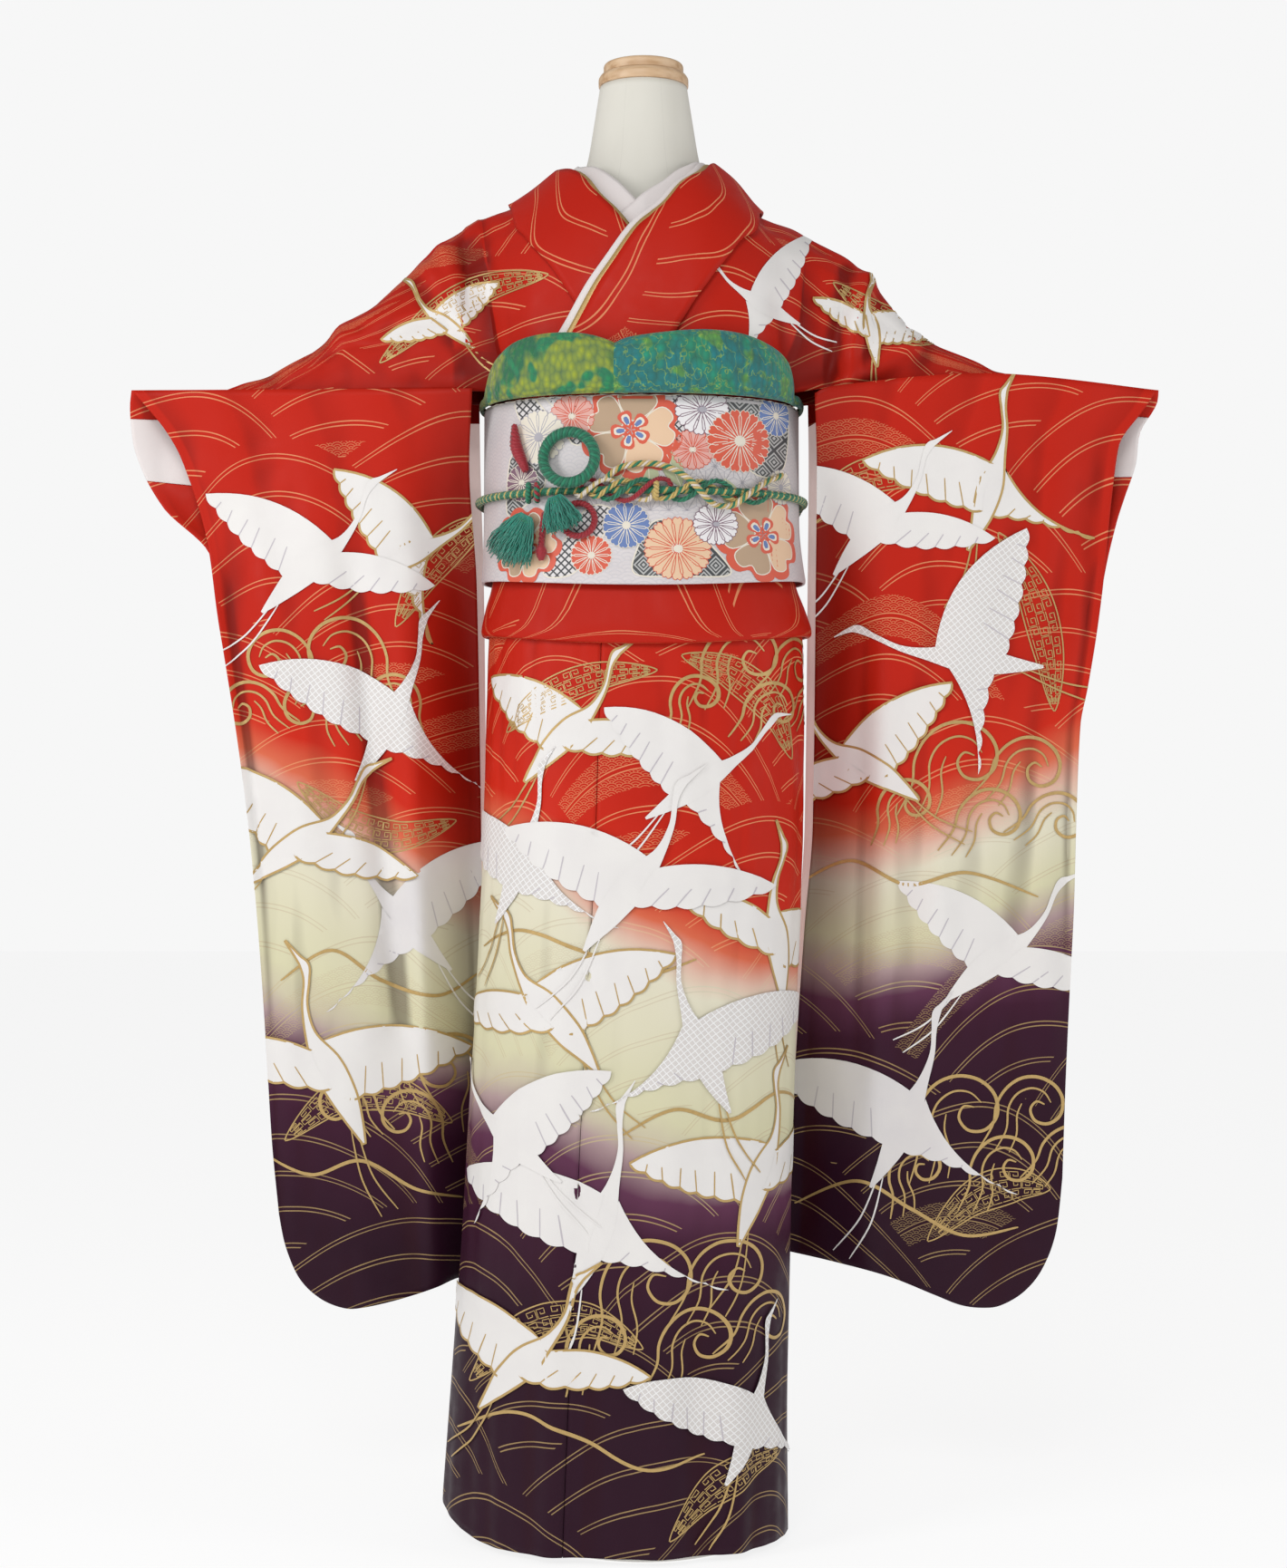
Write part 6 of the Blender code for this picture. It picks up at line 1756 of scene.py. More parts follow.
def scarf_roll(node, rows, look, slot):
    """Padded roll of scarf from the front dip round one side, drawn in by soft folds."""
    rings, spots = [], []
    for angle, top, thick in smooth_path(rows, ROLL_RINGS):
        full = ease((thick - ROLL_FLAT) / ROLL_RUN)
        ring = []
        for corner in range(ROLL_SIDES):
            turn = math.tau * corner / ROLL_SIDES
            height = (SCARF_FOOT + top) / 2.0 - math.cos(turn) * (top - SCARF_FOOT) / 2.0
            fold = (ROLL_FOLD * full * ripple(angle / 11.0, height * 34.0, 1.0, 9.0)
                    * max(math.sin(turn), 0.0))
            out = SCARF_BED + thick / 2.0 + power(math.sin(turn), 0.8) * thick / 2.0 + fold
            point = column(angle, SASH_TOP, out)
            ring.append(Vector((point.x, point.y, height)))
            spots.append((math.radians(angle) * ROLL_RADIUS, corner * ROLL_STEP))
        rings.append(ring)
    piece = loft("cloth_" + node, rings, look, spots=spots)
    dress(piece, slot, node)


def make_scarf():
    """Scarf: two padded rolls in front and the strip that passes over the drum."""
    scarf_roll("scarf_left", SCARF_LEFT, GREEN_LOOK, "green_crepe")
    scarf_roll("scarf_right", SCARF_RIGHT, TEAL_LOOK, "teal_crepe")
    strip("scarf_back", DRUM_PATH[2:6], DRUM_WIDTH, SCARF_BACK_CLOTH, TEAL_LOOK, "teal_crepe",
          SCARF_BACK_CLOTH + CORD_REST, rows=30)


def belt_path():
    """Middle line of the cord round the sash and over the drum."""
    reach = SASH + SASH_CLOTH + BELT_RADIUS + CORD_REST
    front = [column(angle, BELT_HEIGHT, reach) for angle in spread(-98.0, 98.0, 29)]
    back = [Vector(point) for point in BELT_BACK]
    mirrored = [Vector((-point.x, point.y, point.z)) for point in reversed(back[:-1])]
    return smooth_path(front + back + mirrored, 620, ring=True)


# Thin strands round the belt: name, start, end, looks, rise, shift along it
TWINED = (
    ("twine_red", -0.062, 0.030, (RED_CORD_LOOK, RED_CORD_LOOK, RED_CORD_LOOK), 0.0105, 0.0),
    ("twine_white", -0.066, 0.012, (WHITE_CORD_LOOK, GOLD_CORD_LOOK, WHITE_CORD_LOOK), 0.0098, 0.018),
    ("twine_gold", -0.056, 0.100, (GOLD_CORD_LOOK, GOLD_CORD_LOOK, GREEN_CORD_LOOK), 0.0085, 0.036),
    ("twine_green", -0.048, 0.128, (GREEN_CORD_LOOK, DARK_CORD_LOOK, GREEN_CORD_LOOK), 0.0095, 0.052),
)
# Length of one twist, radius, share of the length over which an end comes up, how far a strand
# stands off the belt in radii of the belt
TWINE_STEP = 0.070
TWINE_RADIUS = 2.6 * MM
TWINE_END = 0.08
TWINE_OUT = 1.7


def loop_on_sash(middle, size, count, lift, rise):
    """Round path on the sash that stands off it more at its foot than at its top."""
    path = []
    for index in range(count):
        angle = math.tau * index / count
        path.append(on_sash(middle[0] + size * math.sin(angle), middle[1] + size * math.cos(angle),
                            lift + rise * (1.0 - math.cos(angle))))
    return path


def make_cords():
    """Braided cord round the sash and drum, with the loops, ends and wraps of its knot."""
    green, gold, red = GREEN_CORD_LOOK, GOLD_CORD_LOOK, RED_CORD_LOOK
    belt = braid("braid_belt", belt_path(), BELT_RADIUS, (green, DARK_CORD_LOOK, green, gold), 88,
                 closed=True)
    dress(belt, "green_cord", "cord_belt")
    strand = smooth_path([on_sash(*row) for row in GOLD_STRAND], 170)
    dress(braid("braid_gold_strand", strand, GOLD_RADIUS, (gold, green, gold, WHITE_CORD_LOOK), 15),
          "gold_cord", "cord_gold_strand")
    for name, start, end, looks, rise, shift in TWINED:
        path = []
        for share in spread(0.0, 1.0, 120):
            x = start + (end - start) * share
            angle = math.tau * (x - shift) / TWINE_STEP
            swell = ease(share / TWINE_END) * ease((1.0 - share) / TWINE_END)
            out = BELT_RADIUS * TWINE_OUT * (0.5 + 0.5 * math.cos(angle))
            path.append(on_sash(x, BELT_HEIGHT + rise * math.sin(angle) * swell,
                                CORD_REST + TWINE_RADIUS + out * swell))
        twined = braid(name, path, TWINE_RADIUS, looks, 14)
        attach(twined, "root")
    ring = loop_on_sash(RING_MIDDLE, RING_SIZE, 150, RING_RADIUS - CORD_REST, RING_RISE)
    dress(braid("braid_loop_green", ring, RING_RADIUS, (green, DARK_CORD_LOOK, green, DARK_CORD_LOOK),
                13, closed=True), "green_cord", "cord_loop_green")
    loop = loop_on_sash(RED_LOOP_MIDDLE, RED_LOOP_SIZE, 110, RED_RADIUS + CORD_REST, 0.0)
    dress(braid("braid_loop_red", loop, RED_RADIUS, (red, red, red), 10, closed=True),
          "red_cord", "cord_loop_red")
    for node, rows, radii in (("cord_end_red", RED_END, RED_END_RADII),
                              ("cord_stem_red", RED_STEM, RED_STEM_RADII)):
        path = smooth_path([on_sash(*row) for row in rows], 60)
        sizes = [point[0] for point in smooth_path([(size, 0.0, 0.0) for size in radii], 60)]
        piece = braid(node.replace("cord_", "braid_"), path, 1.0, (red, red, red), 6,
                      swell=lambda index: sizes[index])
        dress(piece, "red_cord", node)
    for name, x, looks in WRAPS:
        path = []
        for turn in spread(-95.0, 95.0, 46):
            rise = WRAP_SIZE * math.sin(math.radians(turn))
            lift = CORD_REST + BELT_RADIUS + WRAP_SIZE * math.cos(math.radians(turn))
            path.append(on_sash(x, BELT_HEIGHT + rise, lift))
        dress(braid(name.replace("cord_", "braid_"), path, WRAP_RADIUS, looks, 4),
              "green_cord", name)


# Strands of a tassel for each one of its solid, across and deep, sides and points of a strand,
# how far it starts inside the head, and seed of the strands' disorder
TUFT_COLUMNS, TUFT_ROWS = 4, 3
HAIR_SIDES, STRAND_POINTS = 4, 10
TUFT_BACK = 0.012
TUFT_SEED = 3


def make_tassels():
    """Two tufts of fine strands, each drawn out of a tied head."""
    noise.seed_set(TUFT_SEED)
    for name, root, heading, length, fan, rows, columns in TASSELS:
        side = (-heading[1], heading[0])
        rows, columns = TUFT_ROWS * rows, TUFT_COLUMNS * columns
        faces, points = [], []
        for row in range(rows):
            for spot in range(columns):
                across = 2.0 * (spot + 0.5) / columns - 1.0
                deep = 2.0 * (row + 0.5) / rows - 1.0
                stray = noise.noise_vector(Vector((across * 23.0, deep * 17.0, 2.0))) * 1.6
                reach = length * (0.90 + 0.22 * stray.x - 0.22 * across ** 2)
                path = []
                for share in spread(0.0, 1.0, STRAND_POINTS):
                    curl = 0.0011 * share * math.sin(share * 16.0 + 40.0 * stray.x)
                    wide = (TASSEL_HEAD[0] * 0.5 + fan * 0.60 * share ** 0.7) * across
                    wide += 0.0045 * stray.y * share + curl
                    lift = root[2] + (TASSEL_HEAD[1] * 0.8 + 0.005 * share) * deep
                    lift += 0.0034 * math.sin(share * 3.0) + 0.0030 * stray.z * share
                    ahead = -TUFT_BACK + (reach + TUFT_BACK) * share
                    path.append(on_sash(root[0] + heading[0] * ahead + side[0] * wide,
                                        root[1] + heading[1] * ahead + side[1] * wide,
                                        max(lift, root[2] - 0.004)))
                *walls, _, end = tube_faces(len(points), STRAND_POINTS, HAIR_SIDES)
                faces += walls + [end]
                for ring in strand_rings(path, STRAND_RADIUS, sides=HAIR_SIDES):
                    points += ring
        tuft = add_mesh("strands_" + name, points, faces, TASSEL_LOOK)
        dress(tuft, "green_cord", name)
        band_ring = []
        for index in range(40):
            angle = math.tau * index / 40
            wide = 0.0078 * math.cos(angle)
            band_ring.append(on_sash(root[0] - heading[0] * 0.006 + side[0] * wide,
                                     root[1] - heading[1] * 0.006 + side[1] * wide,
                                     root[2] + 0.0052 * math.sin(angle)))
        dress(braid("tie_" + name, band_ring, 0.0016, (GREEN_CORD_LOOK, GREEN_CORD_LOOK), 8, closed=True),
              "green_cord")


# Sides of the turned pieces, degrees from which their edges stay sharp, steps round a corner
TURNED_SIDES, TURNED_SHARP = 96, 35.0
ROUND_STEPS = 4


def turned(name, node, rows, look, slot, middle):
    """Round piece on an upright axis from rows of height and radius."""
    rings = [[Vector((radius * math.cos(math.tau * corner / TURNED_SIDES),
                      middle + radius * math.sin(math.tau * corner / TURNED_SIDES), height))
              for corner in range(TURNED_SIDES)] for height, radius in rows]
    piece = loft(name, rings, look)
    piece.data.set_sharp_from_angle(angle=math.radians(TURNED_SHARP))
    return dress(piece, slot, node)


def rounded(rows, size):
    """Rows of a turned profile with its corners rounded by about a size."""
    rows = ((rows[0][0], 0.5 * rows[0][1]),) + rows + ((rows[-1][0], 0.5 * rows[-1][1]),)
    result = [rows[0]]
    for before, corner, after in zip(rows, rows[1:], rows[2:]):
        here = Vector(corner)
        one = here + (Vector(before) - here).normalized() * size
        two = here + (Vector(after) - here).normalized() * size
        for share in spread(0.0, 1.0, ROUND_STEPS):
            result.append(tuple(one.lerp(here, share).lerp(here.lerp(two, share), share)))
    return result + [rows[-1]]


# Dress form: rows, columns round it, radius that turns angles into metres, where it is drawn in
# from the cloth (by how much, below which height, over which run), height up to which the body's
# columns hold, where the chest and the round neck set in with their runs
FORM_ROWS, FORM_ANGLES, FORM_RADIUS = 120, (-180.0, 177.0, 120), 0.13
FORM_DRAWN_IN = ((6.0 * MM, 0.824, 0.1), (18.0 * MM, 0.712, 0.012))
COLUMN_TOP = 1.13
FORM_CHEST, CHEST_RUN = 1.12, 0.04
NECK_FOOT, NECK_RUN = 1.25, 0.08


def make_form():
    """Limbless form with its wooden neck cap, pole and round base."""
    rings, spots = [], []
    for height in spread(FORM_FOOT, FORM[-1][0], FORM_ROWS):
        ring = []
        for angle in spread(*FORM_ANGLES):
            spots.append((math.radians(angle) * FORM_RADIUS, height))
            gap = FORM_GAP + sum(more * ease((below - height) / run) for more, below, run in FORM_DRAWN_IN)
            low = column(angle, min(height, COLUMN_TOP), -gap)
            if height <= FORM_CHEST:
                ring.append(low)
                continue
            blend_up = ease((height - NECK_FOOT) / NECK_RUN)
            exponent = 2.0 / (2.25 - 0.25 * blend_up)
            sine, cosine = math.sin(math.radians(angle)), math.cos(math.radians(angle))
            high = Vector((table(COLUMN, height, 1) * (1.0 - blend_up)
                           + table(FORM, height, 1) * power(sine, exponent),
                           table(FORM, height, 3) - table(FORM, height, 2) * power(cosine, exponent),
                           height))
            share = ease((height - FORM_CHEST) / CHEST_RUN)
            ring.append(Vector((*low.lerp(high, share).xy, height)))
        rings.append(ring)
    body = loft("form_skin", rings, FORM_LOOK, spots=spots)
    dress(body, "form_cloth", "form_body")
    for name, node, rows, look, slot, middle in (
            ("cap_lower", "neck_cap_lower", rounded(CAP_LOWER_LINE, 1.5 * MM), WOOD_LOOK, "light_wood",
             CAP_MIDDLE),
            ("cap_upper", "neck_cap_upper", rounded(CAP_UPPER_LINE, 1.2 * MM), WOOD_LOOK, "light_wood",
             CAP_MIDDLE),
            ("pole", "form_pole", [(height, POLE_RADIUS) for height, *_ in POLE], PAINT_LOOK,
             "base_paint", 0.0),
            ("base", "form_base", rounded(BASE, 2.0 * MM), PAINT_LOOK, "base_paint", 0.0)):
        turned(name, node, rows, look, slot, middle)


# Motifs laid on the cloth: cranes, gold wave crests and the flowers of the sash.
# Their shapes are in a unit frame, x to the right and y up, and smooth between their points.

# Poses of a flying crane. Spine from the tip of the beak to the tail: x, y, half width.
# Wings: front root, tip, back root, bow of the leading and the trailing edge, feathers.
# Legs: root, bend, foot.
POSES = {
    "rising": (
        ((0.53, 1.02, 0.003), (0.41, 0.905, 0.020), (0.345, 0.84, 0.036), (0.315, 0.72, 0.022),
         (0.30, 0.52, 0.022), (0.22, 0.30, 0.045), (0.06, 0.08, 0.120), (-0.10, -0.14, 0.110),
         (-0.22, -0.33, 0.065), (-0.32, -0.50, 0.012)),
        (((0.14, 0.26), (-1.06, 0.40), (-0.12, -0.16), 0.12, 0.05, 7),
         ((0.20, 0.18), (1.10, 0.10), (0.00, -0.10), 0.10, 0.07, 6)),
        (((-0.24, -0.38), (-0.42, -0.74), (-0.66, -0.98)), ((-0.20, -0.40), (-0.34, -0.78), (-0.54, -1.06))),
    ),
    "gliding": (
        ((-1.06, 0.24, 0.003), (-0.93, 0.295, 0.020), (-0.85, 0.30, 0.034), (-0.72, 0.235, 0.022),
         (-0.52, 0.13, 0.024), (-0.28, 0.07, 0.055), (0.00, 0.03, 0.120), (0.24, -0.02, 0.100),
         (0.46, -0.05, 0.060), (0.68, -0.07, 0.012)),
        (((-0.16, 0.02), (0.10, -0.96), (0.26, -0.06), -0.09, -0.04, 5),
         ((-0.22, 0.12), (0.58, 1.10), (0.34, 0.02), 0.14, 0.04, 7)),
        (((0.52, -0.08), (0.88, -0.22), (1.20, -0.28)), ((0.48, -0.10), (0.82, -0.28), (1.12, -0.40))),
    ),
    "banking": (
        ((-0.62, 1.04, 0.003), (-0.50, 0.94, 0.020), (-0.44, 0.88, 0.035), (-0.39, 0.74, 0.022),
         (-0.33, 0.54, 0.023), (-0.20, 0.32, 0.050), (-0.02, 0.08, 0.120), (0.14, -0.14, 0.105),
         (0.28, -0.31, 0.060), (0.42, -0.46, 0.012)),
        (((-0.20, 0.18), (-0.80, -0.78), (0.10, -0.20), -0.12, -0.04, 6),
         ((-0.10, 0.26), (1.10, 0.74), (0.16, -0.14), 0.13, 0.05, 7)),
        (((0.34, -0.38), (0.56, -0.70), (0.84, -0.92)), ((0.30, -0.40), (0.48, -0.76), (0.72, -1.02))),
    ),
}

# Cranes: cloth, distance to the right and height of the middle, size, turn, mirrored, pose, finish
CRANES = (
    ("sleeve_left", -0.226, 0.968, 0.094, 16.0, True, "gliding", "gold"),
    ("sleeve_left", -0.330, 0.956, 0.112, -14.0, False, "rising", "plain"),
    ("sleeve_left", -0.250, 0.800, 0.108, 10.0, True, "banking", "tied"),
    ("sleeve_left", -0.342, 0.680, 0.110, -20.0, False, "rising", "gold"),
    ("sleeve_left", -0.238, 0.600, 0.104, 4.0, False, "banking", "pale"),
    ("sleeve_left", -0.308, 0.450, 0.124, -8.0, True, "rising", "gold"),
    ("sleeve_right", 0.346, 1.030, 0.100, 20.0, True, "banking", "gold"),
    ("sleeve_right", 0.232, 0.994, 0.106, -10.0, False, "rising", "plain"),
    ("sleeve_right", 0.316, 0.862, 0.118, 2.0, False, "gliding", "tied"),
    ("sleeve_right", 0.222, 0.758, 0.104, 24.0, True, "rising", "gold"),
    ("sleeve_right", 0.350, 0.566, 0.110, -18.0, False, "rising", "plain"),
    ("sleeve_right", 0.262, 0.402, 0.116, 12.0, True, "banking", "pale"),
    ("skirt", -0.076, 0.786, 0.100, -10.0, False, "rising", "gold"),
    ("skirt", 0.058, 0.742, 0.096, 26.0, True, "gliding", "plain"),
    ("skirt", -0.120, 0.660, 0.100, 14.0, True, "banking", "tied"),
    ("skirt", -0.014, 0.640, 0.122, -4.0, False, "rising", "plain"),
    ("skirt", 0.128, 0.586, 0.104, -24.0, True, "rising", "gold"),
    ("skirt", -0.086, 0.520, 0.116, 6.0, True, "rising", "gold"),
    ("skirt", 0.052, 0.486, 0.106, -16.0, False, "banking", "tied"),
    ("skirt", -0.132, 0.400, 0.098, -28.0, False, "gliding", "plain"),
    ("skirt", 0.112, 0.362, 0.112, 12.0, False, "rising", "gold"),
    ("skirt", -0.040, 0.318, 0.120, 18.0, True, "banking", "plain"),
    ("skirt", -0.112, 0.186, 0.108, -8.0, False, "rising", "gold"),
    ("skirt", 0.104, 0.128, 0.098, 16.0, True, "banking", "tied"),
    ("shoulder_left", -0.196, 1.196, 0.060, 18.0, True, "rising", "gold"),
    ("shoulder_right", 0.118, 1.214, 0.066, 22.0, False, "banking", "plain"),
    ("shoulder_right", 0.226, 1.190, 0.060, -24.0, True, "rising", "gold"),
    ("sleeve_left_back", -0.330, 0.950, 0.112, 10.0, True, "rising", "gold"),
    ("sleeve_left_back", -0.300, 0.560, 0.108, -12.0, False, "banking", "plain"),
    ("sleeve_right_back", 0.320, 0.860, 0.110, -16.0, False, "rising", "plain"),
    ("sleeve_right_back", 0.330, 0.540, 0.110, 8.0, True, "banking", "gold"),
    ("skirt_back", 0.070, 0.600, 0.110, 12.0, False, "rising", "gold"),
    ("skirt_back", -0.070, 0.450, 0.105, -10.0, True, "banking", "plain"),
    ("skirt_back", 0.050, 0.260, 0.104, 6.0, False, "gliding", "tied"),
    ("shoulder_back", -0.110, 1.215, 0.072, -10.0, False, "rising", "gold"),
)

# Gold wave crests: cloth, x and height of the middle, size, turn, mirrored
CRESTS = (
    ("sleeve_left", -0.318, 0.830, 0.080, 4.0, True),
    ("sleeve_left", -0.218, 0.420, 0.082, -8.0, True),
    ("sleeve_right", 0.334, 0.722, 0.084, -6.0, False),
    ("sleeve_right", 0.344, 0.374, 0.086, 6.0, False),
    ("skirt", 0.110, 0.826, 0.070, -4.0, False),
    ("skirt", 0.036, 0.226, 0.092, 4.0, False),
    ("skirt_back", -0.030, 0.350, 0.095, 4.0, False),
    ("sleeve_left_back", -0.250, 0.395, 0.090, 4.0, False),
    ("sleeve_right_back", 0.260, 0.395, 0.090, 0.0, True),
)
# One wave head in a unit frame: its outer and inner line and the drop that it throws
WAVE_LINES = (
    ((-1.30, -1.05), (-0.98, -0.42), (-0.92, 0.12), (-0.70, 0.56), (-0.32, 0.86), (0.14, 0.92), (0.56, 0.74),
     (0.80, 0.38), (0.76, -0.04), (0.46, -0.28), (0.12, -0.22), (-0.02, 0.06), (0.12, 0.28), (0.34, 0.22)),
    ((-0.90, -1.12), (-0.62, -0.52), (-0.60, 0.06), (-0.40, 0.44), (-0.04, 0.62), (0.30, 0.54), (0.50, 0.28)),
    ((-0.50, -1.10), (-0.34, -0.62), (-0.36, -0.12), (-0.26, 0.20)),
)
# Wave heads of one crest: middle, size, turn
WAVE_HEADS = (
    (-0.30, 0.40, 0.56, 6.0), (0.52, 0.42, 0.44, -10.0), (0.14, -0.22, 0.42, -4.0),
    (0.92, -0.14, 0.38, -22.0), (-0.86, -0.16, 0.36, 14.0),
)
# Gold contour lines: cloth and the points of each line
CONTOURS = (
    ("sleeve_left", ((-0.360, 0.545), (-0.310, 0.575), (-0.260, 0.545), (-0.205, 0.530), (-0.165, 0.552))),
    ("sleeve_left", ((-0.376, 0.372), (-0.330, 0.352), (-0.280, 0.366), (-0.226, 0.338), (-0.180, 0.330))),
    ("sleeve_right", ((0.152, 0.640), (0.206, 0.664), (0.262, 0.640), (0.322, 0.652), (0.392, 0.628))),
    ("sleeve_right", ((0.150, 0.324), (0.212, 0.346), (0.266, 0.318), (0.318, 0.292), (0.372, 0.300))),
    ("skirt", ((-0.172, 0.582), (-0.120, 0.600), (-0.060, 0.582), (0.000, 0.560), (0.050, 0.574))),
    ("skirt", ((-0.020, 0.408), (0.030, 0.432), (0.080, 0.420), (0.130, 0.442), (0.176, 0.430))),
    ("skirt", ((-0.180, 0.112), (-0.120, 0.140), (-0.060, 0.120), (0.000, 0.092), (0.060, 0.104))),
    ("skirt_back", ((-0.140, 0.300), (-0.060, 0.335), (0.020, 0.318), (0.090, 0.342), (0.140, 0.330))),
    ("sleeve_left_back", ((-0.360, 0.340), (-0.300, 0.362), (-0.230, 0.346), (-0.170, 0.362))),
    ("sleeve_right_back", ((0.160, 0.362), (0.230, 0.346), (0.300, 0.366), (0.390, 0.340))),
)
# Crescents filled with a key pattern: cloth, width at the middle, points of the middle line
BANDS = (
    ("skirt", 0.030, ((-0.140, 0.790), (-0.098, 0.822), (-0.045, 0.842), (0.014, 0.848))),
    ("skirt", 0.034, ((0.036, 0.862), (0.080, 0.846), (0.116, 0.814), (0.140, 0.764))),
    ("skirt", 0.038, ((-0.168, 0.160), (-0.112, 0.216), (-0.056, 0.232), (0.000, 0.206))),
    ("skirt", 0.034, ((0.024, 0.024), (0.066, 0.068), (0.104, 0.090), (0.146, 0.096))),
    ("sleeve_left", 0.036, ((-0.246, 0.896), (-0.216, 0.950), (-0.182, 0.986), (-0.146, 1.004))),
    ("sleeve_left", 0.034, ((-0.344, 0.742), (-0.292, 0.700), (-0.244, 0.688), (-0.186, 0.704))),
    ("sleeve_left", 0.038, ((-0.356, 0.386), (-0.302, 0.430), (-0.244, 0.432), (-0.190, 0.404))),
    ("sleeve_right", 0.036, ((0.156, 0.992), (0.204, 1.038), (0.262, 1.050), (0.318, 1.028))),
    ("sleeve_right", 0.034, ((0.352, 0.990), (0.384, 0.936), (0.402, 0.872), (0.408, 0.812))),
    ("sleeve_right", 0.038, ((0.282, 0.286), (0.326, 0.328), (0.368, 0.342), (0.404, 0.338))),
    ("shoulder_left", 0.030, ((-0.262, 1.158), (-0.206, 1.206), (-0.152, 1.234), (-0.094, 1.246))),
    ("shoulder_right", 0.028, ((0.188, 1.238), (0.232, 1.206), (0.268, 1.188), (0.300, 1.182))),
    ("sleeve_left_back", 0.036, ((-0.350, 0.810), (-0.298, 0.766), (-0.246, 0.752), (-0.190, 0.768))),
    ("sleeve_right_back", 0.036, ((0.176, 0.992), (0.224, 1.034), (0.282, 1.040), (0.340, 1.012))),
    ("skirt_back", 0.038, ((-0.130, 0.690), (-0.074, 0.734), (0.000, 0.750), (0.074, 0.732))),
    ("shoulder_back", 0.030, ((0.030, 1.180), (0.080, 1.222), (0.136, 1.232), (0.190, 1.214))),
)
# One hook of the key pattern in a unit cell, and the lean of its upright lines
KEY = ((0.06, 0.10), (0.94, 0.10), (0.94, 0.90), (0.30, 0.90), (0.30, 0.44), (0.66, 0.44), (0.66, 0.62))
KEY_LINE = 0.85 * MM
INK_STEP = 0.0045
FILL_STEP = 0.0052
FILL_LIFT = 0.55 * MM
PART_LIFT = 0.14 * MM
LINE_LIFT = 0.10 * MM
OUTLINE_WIDTH = 2.3 * MM
CONTOUR_WIDTH = 3.6 * MM

# Least slope to the line of sight on which a motif is laid
GRAZING = 0.13
# Cloths whose motifs go round the body, its upright axis, and how far across a spot has to be
# for one radian round it
ROUND_CLOTHS = ("skirt", "skirt_back", "sash")
AXIS = (-0.008, 0.0)
AXIS_REACH = 0.128
# Bow of a feather's end; widths of a crest's lines in outlines, step of its points
FEATHER_RISE = 0.026
CREST_WIDTHS = (1.5, 0.95, 0.8)
CREST_STEP = 0.003
# Flowers of the sash: height of the lowest over the cloth, of one layer over the next, width of
# their lines, tone of the lines of a daisy by its own tone, side of a hemp leaf
SASH_LIFT = 0.30 * MM
SASH_STEP = 0.05 * MM
SASH_INK = 0.7 * MM
TONE_INK = {"plum": "cream", "cream": "silver", "coral": "cream", "silver": "plum", "rose": "coral",
            "peach": "coral", "blue": "cream", "white": "plum"}
LEAF_CELL = 0.0165
# Where a petal begins, as a share of its flower's radius
PETAL_FOOT = 0.12


def tree_of(pieces):
    """Search tree of the faces of some pieces."""
    points, faces = [], []
    for piece in pieces:
        base = len(points)
        points += [vertex.co.copy() for vertex in piece.data.vertices]
        faces += [tuple(base + index for index in face.vertices) for face in piece.data.polygons]
    return BVHTree.FromPolygons(points, faces)


def sight(spot, back, round_axis):
    """Start and direction of the line that lays a spot, from the eye or level towards the axis."""
    side = 1.0 if back else -1.0
    if not round_axis:
        eye = Vector((0.0, side * EYE_DISTANCE, EYE_HEIGHT))
        return eye, (Vector((spot[0], 0.0, spot[1])) - eye).normalized()
    angle = (spot[0] - AXIS[0]) / AXIS_REACH
    ahead = Vector((-math.sin(angle), -side * math.cos(angle), 0.0))
    return Vector((AXIS[0], AXIS[1], spot[1])) - ahead, ahead


def laid(tree, spot, lift, back, round_axis=False):
    """Point on the cloth along the line through a spot of the upright middle plane."""
    eye, ahead = sight(spot, back, round_axis)
    hit, normal, _, _ = tree.ray_cast(eye, ahead, 1.0 if round_axis else 2.0 * EYE_DISTANCE)
    if hit is None:
        return None
    if normal.dot(ahead) > 0.0:
        normal = -normal
    return hit + normal * lift if normal.dot(ahead) < -GRAZING else None


def placed(points, x, z, size, turn, mirrored):
    """Points of the unit frame moved to their place."""
    cosine, sine = math.cos(math.radians(turn)), math.sin(math.radians(turn))
    flip = -1.0 if mirrored else 1.0
    return [(x + size * (flip * across * cosine - up * sine),
             z + size * (flip * across * sine + up * cosine)) for across, up in points]


def curve_of(points, ring=False, step=INK_STEP):
    """Smooth line through flat points at even steps."""
    length = sum(math.dist(one, two) for one, two in zip(points, points[1:]))
    count = max(int(length / step), 4)
    return [(point.x, point.y) for point in smooth_path([(*point, 0.0) for point in points], count, ring)]


def ribbon(path, width, ring=False, taper=False):
    """Flat points and faces of a line of some width."""
    points, faces = [], []
    count = len(path)
    for index, (x, z) in enumerate(path):
        before = path[index - 1] if ring or index else path[0]
        after = path[(index + 1) % count] if ring else path[min(index + 1, count - 1)]
        along_x, along_z = after[0] - before[0], after[1] - before[1]
        length = max(math.hypot(along_x, along_z), 1e-9)
        half = 0.5 * width * (math.sin(math.pi * (index + 1) / (count + 1)) ** 0.35 if taper else 1.0)
        for side in (-half, half):
            points.append((x - along_z / length * side, z + along_x / length * side))
    for index in range(count if ring else count - 1):
        after = (index + 1) % count
        faces.append((2 * index, 2 * after, 2 * after + 1, 2 * index + 1))
    return points, faces


